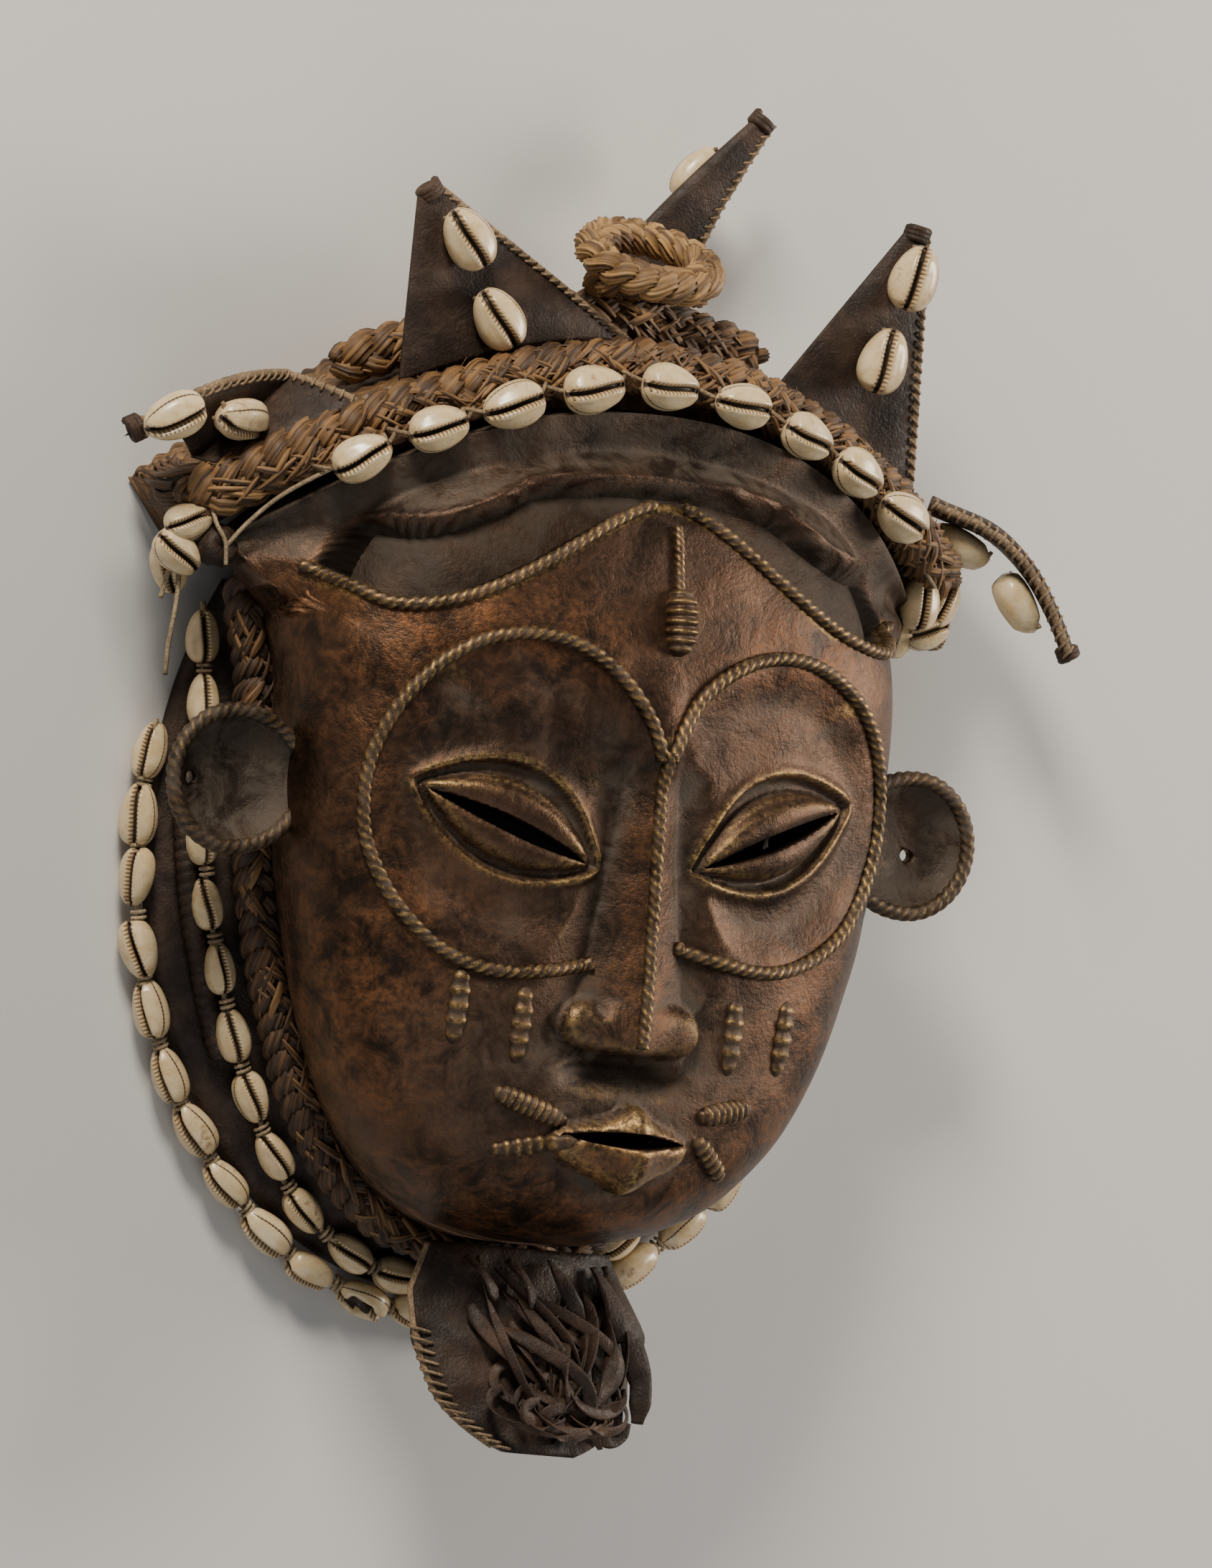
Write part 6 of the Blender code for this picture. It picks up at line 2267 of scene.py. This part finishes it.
@dataclass
class Horns:
    """The five horns and where each stands."""

    left_base: Triple = (-38.0, 38.0, 2.0)
    left_shells: tuple[tuple[float, float], ...] = ((0.2, -0.13), (0.69, 0.0))
    left_rise: Triple = (-36.0, 45.0, 0.0)
    right_base: Triple = (81.0, 26.0, 8.0)
    right_rise: Triple = (16.6, 65.6, 6.0)
    right_shells: tuple[tuple[float, float], ...] = ((0.39, 0.0), (0.79, 0.0))
    back_base: Triple = (15.0, 16.3, -47.8)
    back_half: Triple = (-17.0, 1.5, 0.0)
    back_rise: Triple = (40.0, 64.8, 8.0)
    back_bow: Triple = (-3.0, 0.0, 0.0)
    far_left_base: Triple = (-112.6, 14.5, -15.8)
    far_left_half: Triple = (14.0, 14.0, 2.0)
    far_left_rise: Triple = (-42.1, -7.9, 8.4)
    far_left_bow: Triple = (0.0, 5.0, 6.0)
    far_left_shells: tuple[tuple[float, float], ...] = ((0.29, 0.1), (0.78, 0.0))
    far_right_base: Triple = (121.8, 16.7, -11.8)
    far_right_half: Triple = (8.0, 0.0, -13.0)
    far_right_rise: Triple = (48.0, -42.0, 13.0)
    far_right_bow: Triple = (6.0, 8.0, 0.0)

    @staticmethod
    def on_shoulder(x: float, half: float, drop: float) -> Callable[[float], Array]:
        """The base edge of a horn that lies flat on the cap's shoulder.

        Args:
            x: The edge's middle.
            half: Half its width.
            drop: How far below the others it is.

        Returns:
            What gives the edge's points.
        """

        def base(across: float) -> Array:
            """A point of the edge.

            Args:
                across: From -1 at one end to 1 at the other.

            Returns:
                The place.
            """
            point = BRIM.point(x + half * across, BRIM.shoulder_out() + BRIM.gap)
            point[2] = BRIM.point(0.0)[2] + BRIM.horn_level() - drop
            return point

        return base

    @staticmethod
    def beside(place: Triple, half: Triple) -> Callable[[float], Array]:
        """The straight base edge of a horn that stands off from the brim braid."""
        middle = BRIM.point(*place)
        return lambda across: middle + across * np.array(half)

    def skirt(self) -> tuple[Surface, Surface]:
        """The leather between the far-left horn and the brim braid, and its whipped upper edge.

        Returns:
            The leather and its edge.
        """
        base = self.beside(self.far_left_base, self.far_left_half)
        shares = np.linspace(0.0, 1.0, 26)
        sewn = BRIM.point(-128.0 + 38.0 * shares, 7.0, 0.0)
        free = np.array([base(2.0 * share - 1.0) for share in shares])
        face = unit(np.array([-0.3, 0.2, 1.0]))
        rings = []
        for across in np.linspace(0.0, 1.0, 16):
            sheet = free * (1 - across) + sewn * across
            sheet = sheet + (2.5 * math.sin(math.pi * across) + 0.8 * waves(sheet, 13.0, 77))[:, None] * face
            rings.append(np.concatenate([sheet, sheet[::-1] - 2.2 * face]))
        points = np.array(rings)
        leather = Surface(points.reshape(-1, 3), tube_faces(*points.shape[:2]))
        edge = points[:, len(shares) - 1] - 1.1 * face
        return leather, Surface.joined(whipped_edge(edge, unit(free[0] - free[-1]), face, 3.1, 78))

    def build(self) -> None:
        """Makes all five."""
        leather, seam = self.skirt()
        place_piece(leather, "horn_far_left_skirt", LEATHER)
        place_piece(seam, "horn_far_left_seam", THREAD)
        for horn in self.each():
            horn.build()

    def each(self) -> list[Horn]:
        """The horns in the order in which they are made.

        Returns:
            The five horns.
        """
        flat = (0.0, 0.0, 0.0)
        left, right = self.on_shoulder(*self.left_base), self.on_shoulder(*self.right_base)
        back = self.beside(self.back_base, self.back_half)
        far_left = self.beside(self.far_left_base, self.far_left_half)
        far_right = self.beside(self.far_right_base, self.far_right_half)
        horns = [
            Horn("horn_left", left, self.left_rise, flat, 1, (1,)),
            Horn("horn_right", right, self.right_rise, flat, 2, (1,)),
            Horn("horn_back", back, self.back_rise, self.back_bow, 3, (-1,)),
            Horn("horn_far_left", far_left, self.far_left_rise, self.far_left_bow, 4, (1,)),
            Horn("horn_far_right", far_right, self.far_right_rise, self.far_right_bow, 5, (-1, 1)),
        ]
        horns[0].cowrie_places = self.left_shells
        horns[1].cowrie_places = self.right_shells
        horns[3].cowrie_places = self.far_left_shells
        return horns


@dataclass
class Collar:
    """The leather collar behind the rim with its plait, its wound roll and its two rows of cowries."""

    face: BronzeFace = field(default_factory=BronzeFace)
    half_width: float = 120.0
    centre_y: float = -40.0
    half_height: float = 138.0
    top_y: float = 34.0
    under_rim: float = 4.0
    inner_height: float = 17.4
    thickness: float = 5.0
    foot: float = 9.0
    sections: int = 36
    braid_width: float = 6.0
    braid_height: float = 5.8
    braid_out: float = 3.0
    inner_radius: float = 5.4
    outer_radius: float = 6.0
    pitch: float = 20.5

    def turns(self, count: int | None = None) -> Array:
        """Directions from the collar's centre, from the left temple under the chin to the right one."""
        start = math.asin((self.top_y - self.centre_y) / self.half_height)
        return np.linspace(math.pi - start, TURN + start, (count or self.sections) + 1)

    def edge(self, turns: Array, inset: float) -> Array:
        """Points of the collar's outer edge, drawn in by inset.

        Args:
            turns: Directions from the collar's centre.
            inset: How far the outline is drawn in.

        Returns:
            Distances to the right and up.
        """
        x = (self.half_width - inset) * np.cos(turns)
        y = self.centre_y + (self.half_height - inset) * np.sin(turns)
        return np.column_stack([x, y])

    def rim(self, turns: Array, outset: float) -> Array:
        """Points beside the bronze's back rim, straight in from the collar's edge points.

        Args:
            turns: Directions from the collar's centre.
            outset: How far outside the rim.

        Returns:
            Distances to the right and up.
        """
        x, y = self.edge(turns, 0.0).T
        outward = unit(np.column_stack([x, y - self.centre_y]))
        for _ in range(4):
            low = self.face.rim_height * np.ones(len(y))
            share = self.face.egg_share(x / self.face.tucked(np.ones(len(y)), y, low), y)
            x = x / share
            y = self.face.widest_y + (y - self.face.widest_y) / share
        return np.column_stack([x, y]) + outset * outward

    def strap(self) -> Surface:
        """The sloping strap, creased and uneven at its edge.

        Returns:
            The strap.
        """
        turns = self.turns(220)
        inner, outer = self.rim(turns, -self.under_rim), self.edge(turns, 0.0)
        foot = self.edge(turns, self.foot)
        shares = np.linspace(0, 1, 14)
        rings = []
        for share in shares:
            plan = inner * (1 - share) + outer * share
            z = self.inner_height + (self.thickness - self.inner_height) * share
            rings.append(np.column_stack([plan, np.full(len(plan), z)]))
        for plan, z in ((outer, 0.0), (foot, 0.0), (inner, self.inner_height - self.thickness)):
            rings.append(np.column_stack([plan, np.full(len(plan), z)]))
        points = np.stack(rings, axis=1)
        crumple = waves(points, 15.0, 31) * 0.7
        points[:, 1:14, 2] = points[:, 1:14, 2] + crumple[:, 1:14]
        return Surface(points.reshape(-1, 3), tube_faces(points.shape[0], points.shape[1]))

    def row(
        self, path: Array, radius: float, lean: float, name: str, node: str, seed: int, broken: int = -1
    ) -> None:
        """A string of cowries on its thread.

        Args:
            path: The thread's route.
            radius: How thick the row is.
            lean: How far the shells look outwards.
            name: The row's name.
            node: The CAD node that it stands for.
            seed: Which differences between the shells.
            broken: Which shell is broken open, counted from the left temple.
        """
        rng = np.random.default_rng(seed)
        count = round(length_of(path) / self.pitch)
        places = evenly(path, 2 * count + 1)
        shells = []
        for number in range(count):
            centre = places[2 * number + 1] + rng.normal(0, 0.5, 3) * (1, 1, 0.3)
            along = unit(places[2 * number + 2] - places[2 * number])
            outward = unit(np.cross(along, UP) * np.array([1, 1, 0]))
            if outward @ (centre - np.array([0, self.centre_y, 0])) < 0:
                outward = -outward
            outwards = outward * lean * rng.uniform(0.7, 1.3)
            face = unit(np.array(UP) + outwards + rng.normal(0, 0.1, 3))
            way = unit(along + rng.normal(0, 0.07, 3)) * rng.choice([-1.0, 1.0])
            size = (radius / 6.0) * rng.uniform(0.88, 1.0)
            slim = rng.uniform(0.8, 0.9)
            shells.append(COWRIES.placed(centre, way, face, size, seed + number, number == broken, slim))
        place_piece(Surface.joined(shells), name, SHELL, [node])
        thread = evenly(path, 6 * count)
        knots = []
        for number in range(1, count):
            centre = places[2 * number]
            along = unit(places[min(2 * number + 1, 2 * count)] - places[2 * number - 1])
            for turn in (-0.9, 0.9):
                knots.append(loop_thread(centre + along * turn, along, np.array(UP), 2.3, 0.6))
        line = [round_tube(swaying(thread, 7.0, 0.6, seed), 0.9, 6, UP)]
        place_piece(Surface.joined(line + knots), f"{name}_thread", CORD)

    def roll(self) -> Surface:
        """The leather roll, wound with a strip, between the rows on the left.

        Returns:
            The roll.
        """
        turns = self.turns(300)
        inner = self.rim(turns, self.braid_out + 1.2 * self.braid_width + 2 * self.inner_radius - 1.0)
        keep = (inner[:, 0] < -60.0) & (inner[:, 1] > -112.0) & (inner[:, 1] < -28.0)
        plan = inner[keep]
        path = np.column_stack([plan, np.full(len(plan), 12.2)])
        path = evenly(path, 420)
        angle = (np.arange(14) + 0.5) * TURN / 14
        run = np.linspace(0, length_of(path), len(path))
        wound = 3.0 + 0.45 * np.abs(np.sin(math.pi * run[:, None] / 3.4 + angle[None, :] / 2))
        return sweep(path, wound * np.cos(angle), wound * np.sin(angle))

    def build(self) -> None:
        """Makes the strap, the plait, the roll and the rows."""
        place_piece(self.strap(), "collar_leather", LEATHER, ["side_collar"])
        plan = self.rim(self.turns(200), self.braid_out)
        height = self.face.rim_height - BRIM.gap - self.braid_height
        path = np.column_stack([plan, np.full(len(plan), height)])
        strand = Strand(wave=19.0)
        braid = strand.plait(path, self.braid_width * 1.08, self.braid_height * 1.02, UP, seed=3)
        place_piece(braid, "side_plait", DARK_RAFFIA, ["side_braid"])
        place_piece(loose_strips(path, self.braid_width, 220, 25), "side_strips", RAFFIA)
        place_piece(self.roll(), "wound_roll", LEATHER)
        turns = self.turns()
        outer = self.edge(turns[3:-3], -self.outer_radius - BRIM.gap)
        outer = np.column_stack([outer, np.full(len(outer), self.outer_radius + 1.0)])
        self.row(outer, self.outer_radius, 1.5, "outer_shells", "outer_cowrie_row", 200, 10)
        out = self.braid_out + 1.2 * self.braid_width + self.inner_radius
        inner = self.rim(turns[1:-1], out)
        strap = np.linalg.norm(self.edge(turns[1:-1], 0.0) - self.rim(turns[1:-1], 0.0), axis=1)
        slope = (self.inner_height - self.thickness) / (strap + self.under_rim)
        height = self.thickness + slope * (strap - out).clip(0)
        height = height + self.inner_radius * np.hypot(1, slope) + BRIM.gap
        inner = np.column_stack([inner, height])
        self.row(inner, self.inner_radius, 0.35, "inner_shells", "inner_cowrie_row", 300)


@dataclass
class Clusters:
    """The bunches of shells and seeds at the temples, with their strings.

    A shell has its place, the way of its slit, the way that it looks and its size. A string has its count of
    points, its radius and the places that it passes.
    """

    left: tuple[tuple[Triple, Triple, Triple, float], ...] = (
        ((-137.5, 50.0, 37.0), (1.0, 0.35, 0.1), (-0.35, 0.2, 1.0), 0.8),
        ((-139.0, 40.5, 35.0), (0.7, -0.5, 0.0), (-0.5, 0.0, 1.0), 0.88),
        ((-136.5, 36.0, 27.0), (0.3, -1.0, 0.0), (-0.7, 0.0, 0.7), 0.85),
    )
    right: tuple[tuple[Triple, Triple, Triple, float], ...] = (
        ((126.5, 49.0, 38.5), (0.1, 1.0, 0.0), (-0.2, 0.1, 1.0), 0.88),
        ((137.0, 50.0, 33.5), (0.5, 1.0, 0.0), (-0.1, -0.1, 1.0), 0.85),
        ((133.0, 40.5, 33.0), (1.0, 0.25, 0.0), (-0.3, 0.0, 1.0), 0.82),
        ((124.5, 39.0, 30.0), (0.2, 1.0, 0.2), (-0.6, 0.0, 0.8), 0.8),
        ((139.5, 42.5, 27.0), (0.2, 1.0, 0.0), (0.5, 0.0, 0.8), 0.8),
        ((118.5, 41.5, 22.0), (0.2, 1.0, 0.0), (-0.4, 0.0, 0.9), 0.85),
    )
    strings: tuple[tuple[int, float, tuple[Triple, ...]], ...] = (
        (30, 0.7, ((-127, 43, 42), (-122, 52, 47), (-114, 62, 54), (-98, 74, 63))),
        (24, 0.75, ((-136, 38, 32), (-136.5, 26, 33), (-136, 12, 30), (-135.5, 3, 29))),
        (12, 0.8, ((-139, 38, 32), (-140, 31, 31), (-140.5, 26, 30))),
        (20, 0.7, ((-132, 56, 40), (-131, 50, 43), (-128, 45, 44), (-127, 38, 44))),
        (16, 0.7, ((118, 66, 51), (121, 60, 47), (127, 54, 45))),
    )
    seed_place: Triple = (-127.5, 43.5, 38.0)
    seed_radius: float = 6.6

    def seed_ball(self, centre: Array, radius: float) -> Surface:
        """A dry hollow seed, cracked open in front.

        Args:
            centre: Its middle.
            radius: Its radius.

        Returns:
            The seed.
        """
        tilt = np.linspace(0.04, math.pi - 0.04, 26)
        turn = np.arange(32) * TURN / 32
        sink = np.where(tilt < 0.75, 0.55 + 0.45 * tilt / 0.75, 1.0)
        size = radius * sink[:, None] * (1 + 0.05 * np.cos(3 * turn + 2.0))
        x = size * np.sin(tilt)[:, None] * np.cos(turn)
        y = size * np.sin(tilt)[:, None] * np.sin(turn)
        z = size * np.cos(tilt)[:, None] + 0 * turn
        points = np.stack([x, y, z], axis=-1)
        points = points + 0.35 * waves(points, 3.0, 51)[..., None]
        return Surface(centre + points.reshape(-1, 3), tube_faces(26, 32))

    def build(self) -> None:
        """Makes both bunches."""
        for name, rows, node, seed in (
            ("left_bunch", self.left, "temple_cluster_left", 500),
            ("right_bunch", self.right, "temple_cluster_right", 600),
        ):
            shells = [
                COWRIES.placed(np.array(at), np.array(along), unit(np.array(face)), size, seed + number)
                for number, (at, along, face, size) in enumerate(rows)
            ]
            place_piece(Surface.joined(shells), name, SHELL, [node])
        place_piece(self.seed_ball(np.array(self.seed_place), self.seed_radius), "left_seed", LEATHER)
        tubes = [round_tube(curved(route, count), radius, 6) for count, radius, route in self.strings]
        place_piece(Surface.joined(tubes), "temple_strings", CORD)


@dataclass
class Beard:
    """The leather flap under the chin and the tangle of flat thongs on it."""

    half_width: float = 39.0
    length: float = 62.0
    thickness: float = 4.0
    top_height: float = 54.0
    front_height: float = 72.0
    curl: float = 1.4
    side_sag: float = 9.0
    top_share: float = 0.82
    taper: float = 0.9
    tongue_rows: tuple[tuple[float, float, float, float, float], ...] = (
        (24.0, 6.0, 38.0, 30.0, 5.0),
        (30.0, 10.0, 39.0, 42.0, 4.2),
        (20.0, 4.0, 30.0, 26.0, 3.8),
        (-26.0, 4.0, -15.0, 16.0, 2.6),
        (-12.0, 4.0, -4.0, 18.0, 2.4),
        (4.0, 3.0, 14.0, 20.0, 2.6),
        (33.0, 22.0, 37.0, 50.0, 3.6),
    )

    def height(self, down: Array) -> Array:
        """Height of the beard's middle over the floor, at a distance below the chin."""
        curl = np.sin(np.minimum(self.curl * np.asarray(down, float) / self.length, math.pi / 2))
        return self.top_height + (self.front_height - self.top_height) * curl

    def half_at(self, share: float) -> float:
        """Half the flap's width at a share of its length.

        Args:
            share: How far along, from 0 to 1.

        Returns:
            The half width.
        """
        top = self.top_share + (1 - self.top_share) * min(1.0, 4 * share)
        rounded = math.sqrt(1 - 0.75 * max(0.0, (share - 0.72) / 0.28) ** 2)
        return self.half_width * top * (1 - self.taper * max(0.0, share - 0.35) ** 2) * rounded

    def flap_point(self, x: Array, down: Array) -> Array:
        """A place on the flap's front."""
        sag = self.side_sag * (x / self.half_width) ** 2
        return np.stack([x, -CHIN_DROP - 1.0 - down, self.height(down) - sag], axis=-1)

    def flap(self) -> Surface:
        """The flap, with soft folds.

        Returns:
            The flap.
        """
        across = np.sin(np.linspace(-1, 1, 33) * math.pi / 2)
        rings = []
        for share in np.linspace(0, 1, 46):
            down = np.full(len(across), self.length * share)
            front = self.flap_point(self.half_at(share) * across, down)
            fold = 1.1 * waves(front, 17.0, 61)
            front = front + UP * fold[:, None]
            rings.append(np.concatenate([front, front[::-1] - (0, 0, self.thickness)]))
        points = np.array(rings)
        return Surface(points.reshape(-1, 3), tube_faces(*points.shape[:2]))

    def ribbon(self, x: Array, down: Array, lift: Array, lean: Array, width: float) -> Surface:
        """A flat strip of leather over the flap.

        Args:
            x: Distances to the right along it.
            down: Distances below the chin along it.
            lift: Heights over the flap along it.
            lean: How far it is turned on its edge along it.
            width: Half its width.

        Returns:
            The strip.
        """
        path = self.flap_point(x, down.clip(0, 60.5)) + np.stack([0 * x, 0 * x, lift], axis=-1)
        up = np.column_stack([np.sin(lean), 0.15 * np.cos(lean), np.cos(lean)])
        ends = np.minimum(np.arange(len(x)), np.arange(len(x))[::-1])
        return round_tube(path, width * (0.55 + 0.45 * smooth_step(ends / 5)), 10, up, 0.24)

    def thongs(self) -> Surface:
        """Flat thongs that come out of slits near the chin, fall in arcs and loop back at the foot.

        Returns:
            All the thongs.
        """
        rng = np.random.default_rng(74)
        share = np.linspace(0, 1, 40)
        made = []
        for number in range(24):
            start_x, start_down = rng.uniform(-24, 30), rng.uniform(3, 24)
            end_x, end_down = rng.normal(8, 9), rng.uniform(44, 59)
            bow = rng.normal(0, 10)
            x = start_x + (end_x - start_x) * share**1.3 + bow * np.sin(math.pi * share)
            down = start_down + (end_down - start_down) * share
            top = 1.5 + rng.uniform(2, 9)
            lift = 0.6 + top * np.sin(math.pi * (0.06 + 0.86 * share))
            lean = rng.uniform(-1.0, 1.0)
            lean = lean + rng.uniform(0.6, 1.8) * np.sin(rng.uniform(2, 4.5) * share + number)
            made.append(self.ribbon(x.clip(-33, 35), down, lift, lean, rng.uniform(1.5, 2.6)))
        for number in range(20):
            centre_x, centre_down = rng.normal(8, 8), rng.uniform(40, 51)
            wide, high = rng.uniform(6, 15), rng.uniform(4, 9)
            turn = rng.uniform(-0.6, 1.2) + share * rng.uniform(3.2, 5.2)
            x = centre_x + wide * np.cos(turn)
            down = centre_down + high * np.sin(turn)
            lift = 3.0 + rng.uniform(0, 5) + 2.5 * np.sin(turn * 1.3 + number)
            lean = rng.uniform(-0.6, 0.6) + 1.0 * np.sin(turn + number)
            made.append(self.ribbon(x.clip(-30, 35), down, lift, lean, rng.uniform(1.3, 2.3)))
        return Surface.joined(made)

    def tongues(self) -> Surface:
        """Flat leather tongues at the right and short ends at the top.

        Returns:
            All the tongues.
        """
        rng = np.random.default_rng(81)
        made = []
        for x0, down0, x1, down1, width in self.tongue_rows:
            share = np.linspace(0, 1, 22)
            x = x0 + (x1 - x0) * share + 2.0 * np.sin(3 * share + rng.uniform(0, 3))
            down = down0 + (down1 - down0) * share
            lift = 2.5 + 5.0 * np.sin(math.pi * share * 0.8)
            lean = 0.5 * np.sin(2.5 * share + rng.uniform(0, 3))
            made.append(self.ribbon(x, down, lift, lean, width))
        return Surface.joined(made)

    def stitches(self) -> Surface:
        """Whipped thread down the flap's left edge.

        Returns:
            The seam and its stitches.
        """
        shares = np.linspace(0.02, 0.97, 60)
        halves = np.array([self.half_at(share) for share in shares])
        edge = self.flap_point(-halves, self.length * shares)
        made = [round_tube(evenly(edge - (0, 0, 1.5), 70), 1.2, 8)]
        places = evenly(edge, 22)[8:]
        along = unit(np.gradient(places, axis=0))
        for place, way in zip(places, along):
            path = [
                place + (3.4, 0, 1.8) + way * 1.3,
                place + (0.8, 0, 1.6) + way * 0.6,
                place + (-1.5, 0, -1.4),
                place + (0.4, 0, -4.6) - way * 0.8,
            ]
            made.append(round_tube(curved(path, 10), 0.5, 5, way))
        return Surface.joined(made)

    def build(self) -> None:
        """Makes the flap, the thongs, the tongues and the stitches."""
        place_piece(self.flap(), "beard_leather", LEATHER, ["beard_flap"])
        place_piece(self.thongs(), "beard_tangle", DARK_LEATHER, ["beard_thongs"])
        place_piece(self.tongues(), "beard_tongues", LEATHER)
        place_piece(self.stitches(), "beard_stitches", THREAD)


@dataclass
class Studio:
    """The pale floor, the soft lights and the camera at the photograph's angle."""

    swing: float = math.radians(32.0)
    roll: float = math.radians(5.8)
    distance: float = 8.0
    frame_height: float = 0.476
    aim_across: float = -20.3
    aim_up: float = -16.4
    sensor: float = 24.0
    half_floor: float = 3.0
    floor_drop: float = 0.0005
    air: Triple = (0.9, 0.92, 0.95)
    air_strength: float = 0.22
    lights: tuple[tuple[str, Triple, float, float, Triple], ...] = (
        ("key_light", (-0.9, 1.5, 1.05), 0.5, 50.0, (1.0, 0.93, 0.82)),
        ("side_light", (1.5, 0.3, 0.7), 0.6, 26.0, (1.0, 0.92, 0.82)),
        ("fill_light", (-0.4, -1.4, 1.4), 1.2, 7.0, (0.95, 0.97, 1.0)),
    )

    def camera(self) -> None:
        """Sets the camera so that the mask fills the frame as in the photograph."""
        across = np.array([math.cos(self.swing), 0.0, math.sin(self.swing)])
        up = np.array([0.0, 1.0, 0.0])
        aim = self.aim_across * across + self.aim_up * up
        target = (ANCHOR + np.array([0, 0, NOSE_ROOT_HEIGHT]) + aim) * MM
        back = np.cross(across, up)
        right = math.cos(self.roll) * across + math.sin(self.roll) * up
        upward = np.cross(back, right)
        lens = bpy.data.cameras.new("studio_camera")
        lens.sensor_fit = "VERTICAL"
        lens.sensor_height = self.sensor
        lens.sensor_width = self.sensor * IMAGE_WIDTH / IMAGE_HEIGHT
        lens.lens = self.sensor * self.distance / self.frame_height
        made = bpy.data.objects.new("studio_camera", lens)
        bpy.context.scene.collection.objects.link(made)
        matrix = Matrix(np.column_stack([right, upward, back]).tolist()).to_4x4()
        made.matrix_world = Matrix.Translation(Vector(target + back * self.distance)) @ matrix
        bpy.context.scene.camera = made

    def light(self, name: str, place: Triple, size: float, power: float, colour: Triple) -> None:
        """A soft square light that looks at the mask.

        Args:
            name: Its name.
            place: Where it stands, in metres.
            size: Its width, in metres.
            power: Its strength, in watts.
            colour: Its colour.
        """
        lamp = bpy.data.lights.new(name, "AREA")
        lamp.size = size
        lamp.energy = power
        lamp.color = colour
        made = bpy.data.objects.new(name, lamp)
        made.location = place
        made.rotation_euler = (Vector(place) - Vector((0, 0, 0.06))).to_track_quat("Z", "Y").to_euler()
        bpy.context.scene.collection.objects.link(made)

    def build(self) -> None:
        """Makes the floor, the lights, the world's light and the camera."""
        half = self.half_floor
        mesh = bpy.data.meshes.new("studio_floor")
        corners = [(-half, -half, 0.0), (half, -half, 0.0), (half, half, 0.0), (-half, half, 0.0)]
        mesh.from_pydata(corners, [], [(0, 1, 2, 3)])
        floor = bpy.data.objects.new("studio_floor", mesh)
        floor.location.z = -self.floor_drop
        mesh.materials.append(FLOOR.material())
        bpy.context.scene.collection.objects.link(floor)
        for row in self.lights:
            self.light(*row)
        world = bpy.data.worlds.new("studio_air")
        world.use_nodes = True
        air = world.node_tree.nodes["Background"]
        air.inputs["Color"].default_value = (*self.air, 1.0)
        air.inputs["Strength"].default_value = self.air_strength
        bpy.context.scene.world = world
        self.camera()


def main() -> None:
    """Builds the mask from the casting outwards, then the studio."""
    logging.basicConfig(level=logging.INFO)
    Studio().build()
    for maker in (BronzeFace(), Collar(), Cap(), BRIM, Horns(), Clusters(), Beard()):
        maker.build()
        log.info("%s is built", type(maker).__name__)


if __name__ == "__main__":
    main()
